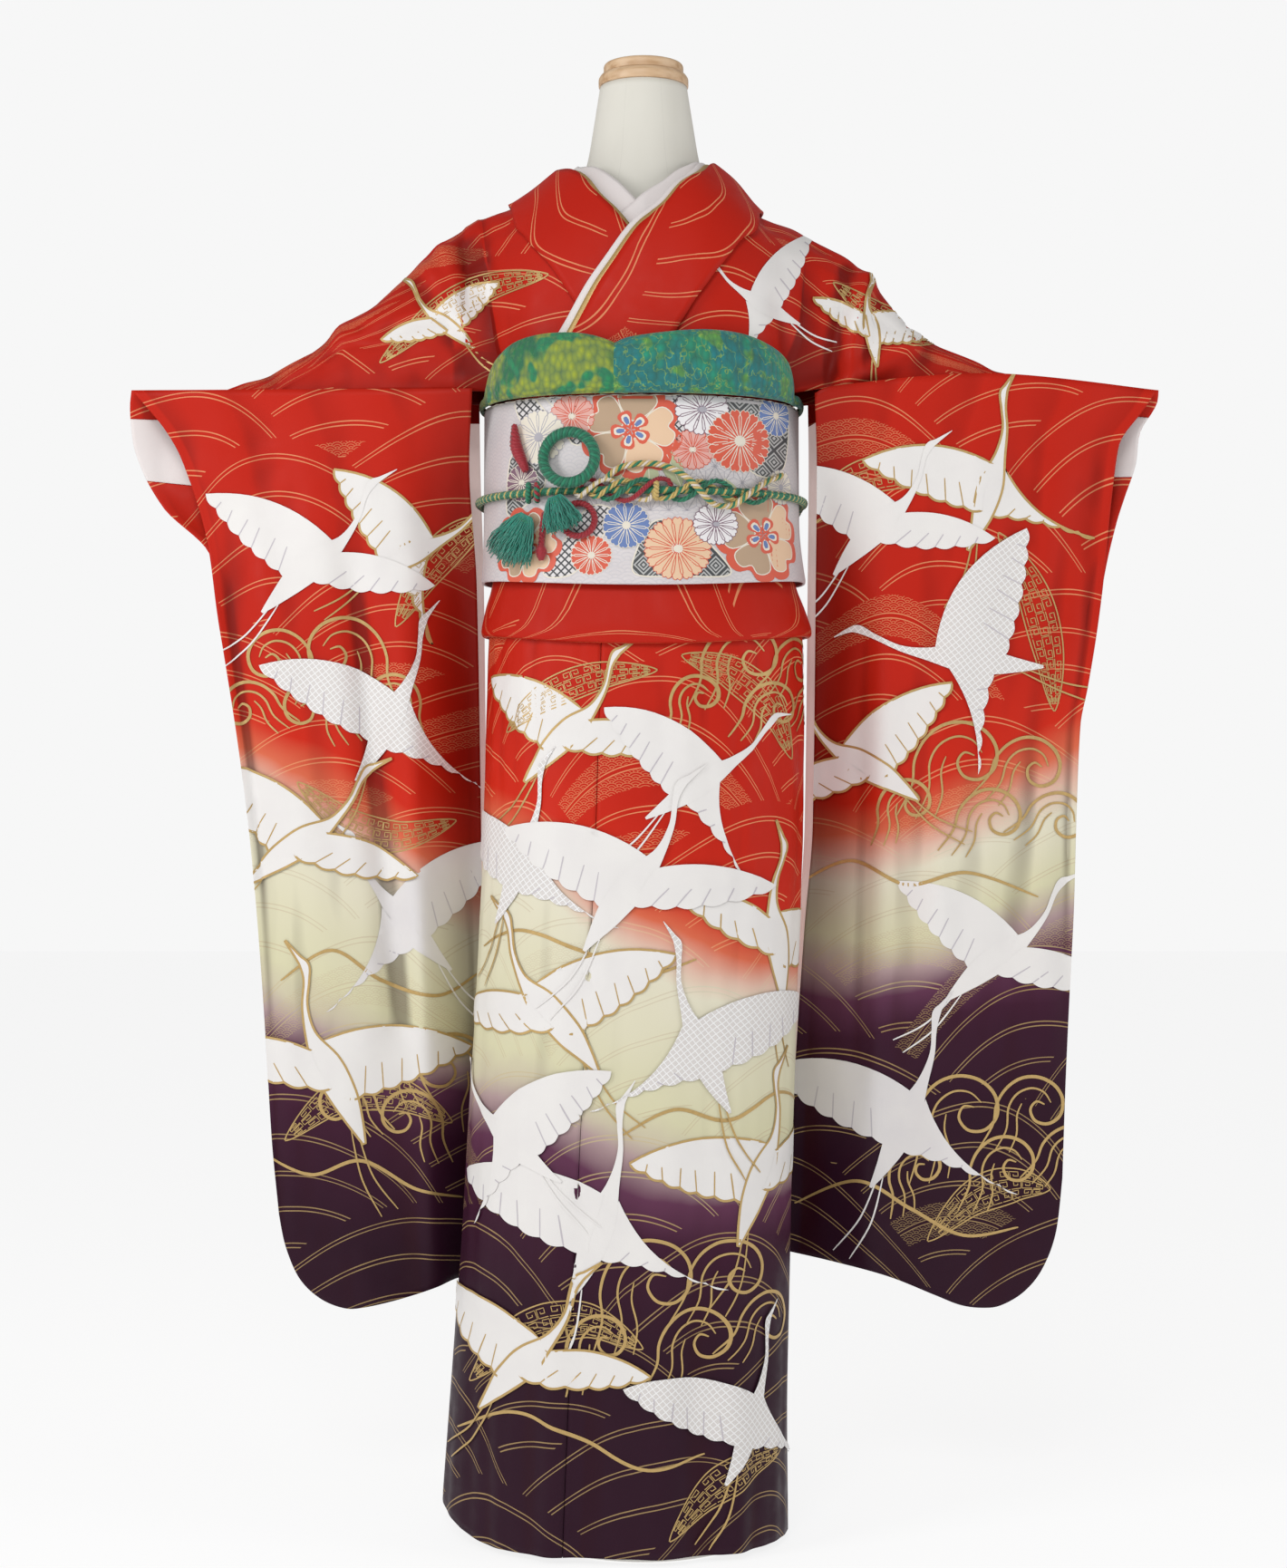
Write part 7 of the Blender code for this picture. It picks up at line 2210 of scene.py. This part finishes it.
def filled(outline):
    """Flat points and faces of the inside of an outline."""
    low_x, high_x = min(p[0] for p in outline), max(p[0] for p in outline)
    low_z, high_z = min(p[1] for p in outline), max(p[1] for p in outline)
    inner = [Vector((low_x + FILL_STEP * column, low_z + FILL_STEP * row))
             for column in range(1, int((high_x - low_x) / FILL_STEP) + 1)
             for row in range(1, int((high_z - low_z) / FILL_STEP) + 1)]
    rim = [Vector(point) for point in outline]
    points, _, faces, _, _, _ = geometry.delaunay_2d_cdt(
        rim + inner, [], [list(range(len(rim)))], 1, 1e-6)
    return [tuple(point) for point in points], [tuple(face) for face in faces]


def bow(one, two, rise, count):
    """Points from one to two on a curve that stands off their line at its middle."""
    along_x, along_y = two[0] - one[0], two[1] - one[1]
    return [(one[0] + along_x * share - along_y * rise * 4.0 * share * (1.0 - share),
             one[1] + along_y * share + along_x * rise * 4.0 * share * (1.0 - share))
            for share in spread(0.0, 1.0, count)]


def wing(root, tip, back, lead, trail, feathers):
    """Outline of a wing with rounded feather ends, and the line between each two feathers."""
    ahead, behind = Vector(tip) - Vector(root), Vector(back) - Vector(root)
    sign = 1.0 if ahead.x * behind.y - ahead.y * behind.x < 0.0 else -1.0
    front = bow(root, tip, sign * lead, 14)
    rear = bow(tip, back, sign * trail, 9 * feathers + 1)
    outline, marks = list(front), []
    for index, (x, y) in enumerate(rear[1:], 1):
        share = index / (9.0 * feathers)
        near = rear[index - 1]
        along_x, along_y = x - near[0], y - near[1]
        length = math.hypot(along_x, along_y)
        rise = sign * FEATHER_RISE * abs(math.sin(math.pi * feathers * share))
        outline.append((x - along_y / length * rise, y + along_x / length * rise))
        if index % 9 == 0 and index < 9 * feathers:
            other = front[round(13 * (1.0 - share * 0.85))]
            marks.append(((x, y), (x + (other[0] - x) * 0.42, y + (other[1] - y) * 0.42)))
    return outline, marks


def draw_band(layers, width, line):
    """Crescent with a key pattern between its two outlines."""
    path = curve_of(line, step=0.002)
    count = len(path)
    cells = round(count * 0.002 / (width / 3.0))

    def spot(share, side):
        place = min(max(share, 0.0), 0.9999) * (count - 1)
        low = int(place)
        (x, z), (next_x, next_z) = path[low], path[low + 1]
        length = math.hypot(next_x - x, next_z - z)
        half = 0.5 * width * math.sin(math.pi * share) ** 0.9 * side
        return (x + (next_x - x) * (place - low) - (next_z - z) / length * half,
                z + (next_z - z) * (place - low) + (next_x - x) / length * half)

    for side in (-1.0, 1.0):
        layers["gold"].add(ribbon([spot(share, side) for share in spread(0.002, 0.998, 60)], 1.5 * KEY_LINE),
                           FILL_LIFT)
    for cell in range(1, cells - 1):
        for row in range(3):
            flip = (cell + row) % 2
            hook = [spot((cell + (1.0 - u if flip else u)) / cells, (2.0 * (row + v) / 3.0 - 1.0) * 0.86)
                    for u, v in KEY]
            points = [start for one, two in zip(hook, hook[1:]) for start in (one, tuple(
                0.5 * (a + b) for a, b in zip(one, two)))] + [hook[-1]]
            layers["gold"].add(ribbon(points, KEY_LINE), FILL_LIFT)


def spine_outline(spine):
    """Outline round a line of points with half widths."""
    line = smooth_path(spine, 56)
    left, right = [], []
    for index, point in enumerate(line):
        before, after = line[max(index - 1, 0)], line[min(index + 1, len(line) - 1)]
        along = Vector((after.x - before.x, after.y - before.y)).normalized() * max(point.z, 0.002)
        left.append((point.x - along.y, point.y + along.x))
        right.append((point.x + along.y, point.y - along.x))
    return left + right[::-1]


class Layer:
    """Flat shapes gathered for one cloth and one finish, each with its own lift."""

    def __init__(self, look):
        self.look = look
        self.points, self.lifts, self.faces = [], [], []

    def add(self, shape, lift):
        """Adds flat points and faces at a distance from the cloth."""
        base = len(self.points)
        self.points += shape[0]
        self.lifts += [lift] * len(shape[0])
        self.faces += [tuple(base + index for index in face) for face in shape[1]]

    def lay(self, name, tree, back, slot, round_axis):
        """Lays the shapes on the cloth and cuts them where the cloth ends."""
        spots = [laid(tree, point, lift, back, round_axis) for point, lift in zip(self.points, self.lifts)]
        kept, flat, cuts, faces = [], [], {}, []

        def keep(key, spot, point):
            if key not in cuts:
                cuts[key] = len(kept)
                kept.append(spot)
                flat.append(point)
            return cuts[key]

        def cut(on, off):
            near, far = 0.0, 1.0
            spot = spots[on]
            for _ in range(7):
                share = 0.5 * (near + far)
                point = [one + (two - one) * share for one, two in zip(self.points[on], self.points[off])]
                found = laid(tree, point, self.lifts[on], back, round_axis)
                near, far, spot = (share, far, found) if found else (near, share, spot)
            return keep((on, off), spot, self.points[on]) if near else keep(on, spots[on], self.points[on])

        for face in self.faces:
            loop = []
            for one, two in zip(face, face[1:] + face[:1]):
                if spots[one]:
                    loop.append(keep(one, spots[one], self.points[one]))
                if bool(spots[one]) != bool(spots[two]):
                    loop.append(cut(one, two) if spots[one] else cut(two, one))
            loop = list(dict.fromkeys(loop))
            if len(loop) > 2 and max((kept[one] - kept[two]).length
                                     for one, two in zip(loop, loop[1:] + loop[:1])) < 4.0 * FILL_STEP:
                faces.append(tuple(loop))
        piece = add_mesh(name, kept, faces, self.look, flat)
        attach(piece, "root")
        return piece


def draw_crane(layers, order, x, z, size, turn, mirrored, pose, finish):
    """One crane, far wing first, with gold outlines and feather lines where its finish is gold."""
    spine, wings, legs = POSES[pose]
    lift = FILL_LIFT + order * 4.0 * PART_LIFT
    fill = layers[finish if finish in ("tied", "pale") else "white"]
    for leg in legs:
        path = curve_of(placed(leg, x, z, size, turn, mirrored))
        layers["white" if finish in ("plain", "pale") else "gold"].add(
            ribbon(path, OUTLINE_WIDTH * 0.75, taper=True), lift)
    parts = [wing(*wings[0]), (spine_outline(spine), ()), wing(*wings[1])]
    for step, (outline, marks) in enumerate(parts):
        rim = placed(outline, x, z, size, turn, mirrored)
        level = lift + step * PART_LIFT
        fill.add(filled(rim), level)
        if finish == "gold":
            layers["gold"].add(ribbon(rim, OUTLINE_WIDTH, ring=True), level + LINE_LIFT)
        for mark in marks:
            path = curve_of(placed(mark, x, z, size, turn, mirrored))
            layers["gold" if finish == "gold" else "shade"].add(
                ribbon(path, OUTLINE_WIDTH * 0.55, taper=True), level + LINE_LIFT)


def draw_crest(layers, x, z, size, turn, mirrored):
    """Gold wave crest of several curling heads."""
    for head_x, head_y, head_size, head_turn in WAVE_HEADS:
        for index, line in enumerate(WAVE_LINES):
            head = placed(line, head_x, head_y, head_size, head_turn, False)
            path = curve_of(placed(head, x, z, size, turn, mirrored), step=CREST_STEP)
            layers["gold"].add(ribbon(path, OUTLINE_WIDTH * CREST_WIDTHS[index], taper=True),
                               LINE_LIFT + FILL_LIFT)


# Blossoms of the sash: kind, middle, size, turn
BLOSSOMS = (
    ("blossom", -0.012, 1.074, 0.046, 6.0), ("blossom", 0.108, 0.978, 0.044, 30.0),
    ("blossom", -0.112, 0.968, 0.036, 14.0),
    ("daisy", 0.052, 1.094, 0.024, 6.0, "white"), ("daisy", 0.086, 1.066, 0.030, 0.0, "coral"),
    ("daisy", 0.044, 1.056, 0.019, 10.0, "rose"), ("daisy", 0.124, 1.094, 0.020, 4.0, "blue"),
    ("daisy", 0.030, 0.962, 0.030, 9.0, "peach"), ("daisy", 0.064, 0.986, 0.020, 0.0, "white"),
    ("daisy", -0.016, 0.984, 0.022, 5.0, "blue"), ("daisy", -0.048, 0.956, 0.019, 12.0, "coral"),
    ("daisy", -0.066, 1.088, 0.021, 8.0, "rose"), ("daisy", -0.098, 1.070, 0.026, 3.0, "cream"),
    ("daisy", -0.116, 1.028, 0.018, 0.0, "plum"), ("daisy", 0.130, 1.026, 0.017, 7.0, "cream"),
)
# Blossoms of the drum at the back
BACK_BLOSSOMS = (
    ("blossom", -0.034, 1.000, 0.056, 12.0), ("daisy", 0.052, 1.040, 0.034, 8.0, "peach"),
    ("daisy", 0.058, 0.962, 0.026, 0.0, "coral"), ("daisy", 0.016, 1.060, 0.019, 4.0, "blue"),
    ("daisy", -0.086, 0.950, 0.021, 9.0, "rose"), ("daisy", 0.014, 0.936, 0.017, 0.0, "plum"),
    ("daisy", -0.086, 1.058, 0.019, 0.0, "cream"),
)
# Leaves: foot, tip, bow
LEAVES = (
    ((0.018, 1.058), (0.034, 1.020), 0.22), ((0.004, 1.050), (0.006, 1.008), -0.22),
    ((-0.012, 1.046), (-0.030, 1.012), 0.24), ((0.086, 0.994), (0.072, 1.030), -0.22),
    ((-0.090, 0.980), (-0.066, 1.006), 0.24),
)
# Fields of the sash: pattern and outline
FIELDS = (
    ("diamond", ((0.064, 1.116), (0.104, 1.112), (0.140, 1.104), (0.138, 1.052), (0.116, 1.034),
                 (0.092, 1.042), (0.072, 1.078))),
    ("diamond", ((-0.008, 0.938), (0.030, 0.936), (0.074, 0.938), (0.066, 0.958), (0.040, 0.984),
                 (0.010, 0.988), (-0.006, 0.962))),
    ("diamond", ((-0.134, 1.000), (-0.112, 1.006), (-0.092, 1.024), (-0.098, 1.046), (-0.128, 1.056))),
    ("net", ((-0.126, 1.112), (-0.110, 1.114), (-0.084, 1.084), (-0.074, 1.060), (-0.096, 1.060),
             (-0.116, 1.084))),
    ("net", ((-0.098, 1.116), (-0.082, 1.117), (-0.060, 1.088), (-0.048, 1.066), (-0.066, 1.062),
             (-0.076, 1.088))),
    ("net", ((0.024, 1.118), (0.038, 1.118), (0.036, 1.090), (0.046, 1.066), (0.028, 1.052), (0.026, 1.088))),
    ("net", ((-0.092, 0.940), (-0.066, 0.938), (-0.044, 0.964), (-0.028, 0.996), (-0.050, 1.002),
             (-0.072, 0.972))),
)
# Net of hemp leaves: its area (left, right, foot, top)
STAR_AREA = (-0.060, 0.128, 0.998, 1.060)
# Leaves, fields and net of the drum
BACK_LEAVES = (((0.014, 0.986), (0.050, 1.012), 0.22), ((0.012, 0.972), (0.036, 0.936), 0.24),
               ((-0.084, 1.020), (-0.102, 1.052), 0.22), ((-0.062, 0.950), (-0.096, 0.926), 0.22))
BACK_FIELDS = (
    ("diamond", ((-0.108, 1.116), (-0.020, 1.118), (-0.006, 1.098), (-0.040, 1.070), (-0.090, 1.030),
                 (-0.112, 0.990))),
    ("net", ((0.004, 1.118), (0.036, 1.118), (0.058, 1.092), (0.052, 1.070), (0.018, 1.078))),
    ("net", ((0.052, 1.117), (0.088, 1.115), (0.106, 1.082), (0.096, 1.056), (0.068, 1.080))),
    ("diamond", ((0.074, 0.930), (0.108, 0.930), (0.112, 0.986), (0.096, 1.018), (0.082, 0.980))),
)
BACK_STARS = (-0.105, 0.075, 0.922, 0.990)


def petal(reach, half, notch, turn, foot=PETAL_FOOT):
    """Outline of one petal from the middle outwards, with a notch at its end."""
    side = ((foot, 0.05 * half), (0.42 * reach, 0.62 * half), (0.74 * reach, half),
            (0.94 * reach, 0.78 * half), (reach, 0.38 * half))
    points = side + ((reach * (1.0 - notch), 0.0),) + tuple((along, -across) for along, across in side[::-1])
    cosine, sine = math.cos(math.radians(turn)), math.sin(math.radians(turn))
    return [(along * cosine - across * sine, along * sine + across * cosine) for along, across in points]


def draw_daisy(layers, order, x, z, size, turn, tone):
    """Round flower of narrow petals with a dark line round each."""
    count = 14 if size < 0.03 else 18
    half = 0.98 * math.pi / count
    lift = SASH_LIFT + order * 2.0 * SASH_STEP
    for step in range(count):
        outline = placed(petal(1.0, half, 0.05, 360.0 * step / count), x, z, size, turn, False)
        layers[tone].add(filled(outline), lift)
        layers[TONE_INK[tone]].add(ribbon(outline, SASH_INK, ring=True), lift + SASH_STEP)
    disc = placed([(0.17 * math.cos(math.tau * step / 12), 0.17 * math.sin(math.tau * step / 12))
                   for step in range(12)], x, z, size, turn, False)
    layers["silver" if tone in ("cream", "white") else "cream"].add(filled(disc), lift + SASH_STEP)


def draw_blossom(layers, order, x, z, size, turn):
    """Large blossom of five heart-shaped petals in two tones with a broad coral rim."""
    lift = SASH_LIFT + order * 2.0 * SASH_STEP

    def outline(*shape, smooth=True):
        """Outline of a petal in its place."""
        points = placed(petal(*shape), x, z, size, turn, False)
        return curve_of(points, True, CREST_STEP) if smooth else points

    for step in range(5):
        angle, above = 72.0 * step, 0.3 * SASH_STEP * step
        layers["coral"].add(filled(outline(1.0, 0.54, 0.13, angle)), lift + above)
        inside = outline(0.86, 0.40, 0.13, angle, 0.2)
        layers["sand" if step in (1, 2, 3) else "peach"].add(filled(inside), lift + SASH_STEP + above)
        layers["cream"].add(ribbon(inside, 1.5 * SASH_INK, ring=True), lift + 2.0 * SASH_STEP + above)
    for step in range(5):
        angle = 72.0 * step + 36.0
        layers["coral"].add(filled(outline(0.40, 0.15, 0.0, angle, 0.02)), lift + 4.0 * SASH_STEP)
        layers["cream"].add(filled(outline(0.34, 0.085, 0.0, angle, 0.10, smooth=False)),
                            lift + 4.6 * SASH_STEP)
        layers["blue"].add(filled(outline(0.29, 0.050, 0.0, angle, 0.13, smooth=False)),
                           lift + 5.2 * SASH_STEP)


def draw_leaf(layers, foot, tip, rise):
    """Pointed leaf with a middle vein."""
    outline = bow(foot, tip, rise, 10) + bow(tip, foot, rise, 10)[1:-1]
    layers["leaf"].add(filled(outline), SASH_LIFT)
    layers["cream"].add(ribbon(bow(foot, tip, 0.0, 6), SASH_INK, taper=True), SASH_LIFT + SASH_STEP)


def draw_stars(layers, area):
    """Faint net of six-pointed hemp leaves."""
    left, right, low, high = area
    rise = LEAF_CELL * math.sqrt(0.75)
    for row in range(int((high - low) / rise)):
        for column in range(int((right - left) / LEAF_CELL)):
            shift = 0.5 * LEAF_CELL * (row % 2)
            x, z = left + column * LEAF_CELL + shift, low + row * rise
            corners = ((x, z), (x + LEAF_CELL, z), (x + 0.5 * LEAF_CELL, z + rise))
            other = ((x + LEAF_CELL, z), (x + 1.5 * LEAF_CELL, z + rise), (x + 0.5 * LEAF_CELL, z + rise))
            for three in (corners, other):
                middle = (sum(p[0] for p in three) / 3.0, sum(p[1] for p in three) / 3.0)
                for index, corner in enumerate(three):
                    for end in (middle, three[index - 1]):
                        layers["silver"].add(ribbon([corner, end], 0.42 * MM), SASH_LIFT * 0.5)


# Panels that carry the motifs of each cloth
CLOTHS = {
    "skirt": ("skirt_front_over", "overlap_over", "skirt_back_left", "skirt_back_right"),
    "skirt_back": ("skirt_back_left", "skirt_back_right", "skirt_front_over", "overlap_over"),
    "sleeve_left": ("sleeve_left_front",),
    "sleeve_right": ("sleeve_right_front",),
    "sleeve_left_back": ("sleeve_left_back",),
    "sleeve_right_back": ("sleeve_right_back",),
    "shoulder_right": ("bodice_right",),
    "shoulder_left": ("bodice_left",),
    "shoulder_back": ("bodice_left",),
}


def lay_all(cloth, layers, tree, back, slots):
    """Lays each layer that has shapes."""
    return [layer.lay("motif_%s_%s" % (cloth, word), tree, back, slots.get(word, slots[""]),
                      cloth in ROUND_CLOTHS)
            for word, layer in layers.items() if layer.faces]


def sash_flowers(cloth, tree, back, rows, fields, leaves, area):
    """Figured fields, star net, leaves and flowers of one part of the sash."""
    layers = {tone: Layer(look) for tone, look in SASH_TONES.items()}
    draw_stars(layers, area)
    for kind, outline in fields:
        rim = curve_of(outline, True)
        layers[kind].add(filled(rim), SASH_LIFT * 0.7)
        layers["cream"].add(ribbon(rim, 2.0 * SASH_INK, ring=True), SASH_LIFT * 0.9)
    for leaf in leaves:
        draw_leaf(layers, *leaf)
    for order, (kind, *row) in enumerate(rows):
        (draw_blossom if kind == "blossom" else draw_daisy)(layers, order % 5, *row)
    return lay_all(cloth, layers, tree, back, {"": "sash_brocade"})


def make_motifs(panels, wrap, drum):
    """Cranes, crests and contour lines on each cloth, and the flowers of the sash."""
    by_name = {piece.name.replace("cloth_", ""): piece for piece in panels}
    laid_on = {}
    for cloth, names in CLOTHS.items():
        layers = {"white": Layer(CRANE_LOOK), "pale": Layer(PALE_LOOK), "tied": Layer(KANOKO_LOOK),
                  "shade": Layer(SHADE_LOOK), "gold": Layer(GOLD_LOOK)}
        for where, width, line in BANDS:
            if where == cloth:
                draw_band(layers, width, line)
        for where, line in CONTOURS:
            if where == cloth:
                layers["gold"].add(ribbon(curve_of(line), CONTOUR_WIDTH, taper=True), FILL_LIFT)
        for row in CRESTS:
            if row[0] == cloth:
                draw_crest(layers, *row[1:])
        for order, row in enumerate([row for row in CRANES if row[0] == cloth]):
            draw_crane(layers, order % 4, *row[1:])
        tree = tree_of([by_name[name] for name in names])
        laid_on.setdefault(names[0], []).extend(lay_all(
            cloth, layers, tree, cloth.endswith("_back"), {"": "white_silk", "gold": "gold_cloth"}))
    laid_on["sash_wrap"] = sash_flowers(
        "sash", tree_of([wrap]), False, BLOSSOMS, FIELDS, LEAVES, STAR_AREA)
    laid_on["sash_drum"] = sash_flowers(
        "drum", tree_of([drum]), True, BACK_BLOSSOMS, BACK_FIELDS, BACK_LEAVES, BACK_STARS)
    return laid_on


# Stage, light and camera

EYE = Vector((0.0, -EYE_DISTANCE, EYE_HEIGHT))
# Pixels of the photo from foot to top, scale in the middle plane, height of the film
PHOTO_TALL = 1730.0
METRES_PER_PIXEL = 0.0009
FILM = 36.0
# Brightness of the surroundings as seen and as light, glow, half side and height of the floor
SEEN_LIGHT, ROOM_LIGHT = 0.93, 0.30
FLOOR_GLOW = 0.83
FLOOR_REACH, FLOOR_HEIGHT = 9.0, -0.5 * MM
# Lights: name, place, size, power; they point at one place
LIGHTS = (
    ("light_left", (-2.4, -1.7, 1.7), (0.9, 1.6), 30.0),
    ("light_right", (2.6, -1.0, 1.5), (0.8, 1.6), 13.0),
    ("light_front", (-0.5, -3.3, 2.7), (1.3, 1.0), 40.0),
)
LIT_PLACE = Vector((0.0, 0.0, 0.75))


def soft_light(name, place, size, energy):
    """Large soft panel of light."""
    data = bpy.data.lights.new(name, "AREA")
    data.shape = "RECTANGLE"
    data.size, data.size_y = size
    data.energy = energy
    lamp = bpy.data.objects.new(name, data)
    lamp.location = place
    lamp.rotation_euler = (LIT_PLACE - Vector(place)).to_track_quat("-Z", "Y").to_euler()
    bpy.context.collection.objects.link(lamp)


def make_stage():
    """Pale floor, even surroundings, soft lights and the camera."""
    look, _, shader = new_look("floor", 0.9, colour=(0.20, 0.20, 0.20))
    shader.inputs["Emission Color"].default_value = (1.0, 1.0, 1.0, 1.0)
    shader.inputs["Emission Strength"].default_value = FLOOR_GLOW
    corners = [(x * FLOOR_REACH, y * FLOOR_REACH, FLOOR_HEIGHT)
               for x, y in ((-1.0, -1.0), (1.0, -1.0), (1.0, 1.0), (-1.0, 1.0))]
    floor = add_mesh("floor", corners, [(0, 1, 2, 3)], look)
    world = bpy.data.worlds.new("studio")
    world.use_nodes = True
    around = world.node_tree
    around.nodes["Background"].inputs[0].default_value = (1.0, 1.0, 1.0, 1.0)
    seen = add_node(around, "LightPath").outputs[0]
    around.links.new(sum_of(around, "MULTIPLY_ADD", seen, SEEN_LIGHT - ROOM_LIGHT, ROOM_LIGHT),
                     around.nodes["Background"].inputs[1])
    bpy.context.scene.world = world
    bpy.context.scene.view_settings.view_transform = "Standard"
    for row in LIGHTS:
        soft_light(*row)
    data = bpy.data.cameras.new("camera")
    data.sensor_fit = "VERTICAL"
    data.sensor_height = FILM
    data.lens = FILM * EYE_DISTANCE / (PHOTO_TALL * METRES_PER_PIXEL)
    data.dof.use_dof = False
    camera = bpy.data.objects.new("camera", data)
    camera.location = EYE
    camera.rotation_euler = (math.radians(90.0), 0.0, 0.0)
    bpy.context.collection.objects.link(camera)
    bpy.context.scene.camera = camera


def main():
    """Dresses the frame."""
    make_waist_tuck()
    make_collars()
    panels = make_skirt() + make_bodice() + make_sleeves()
    wrap, drum = make_sash()
    make_scarf()
    make_cords()
    make_tassels()
    make_form()
    motifs = make_motifs(panels, wrap, drum)
    make_stage()


main()
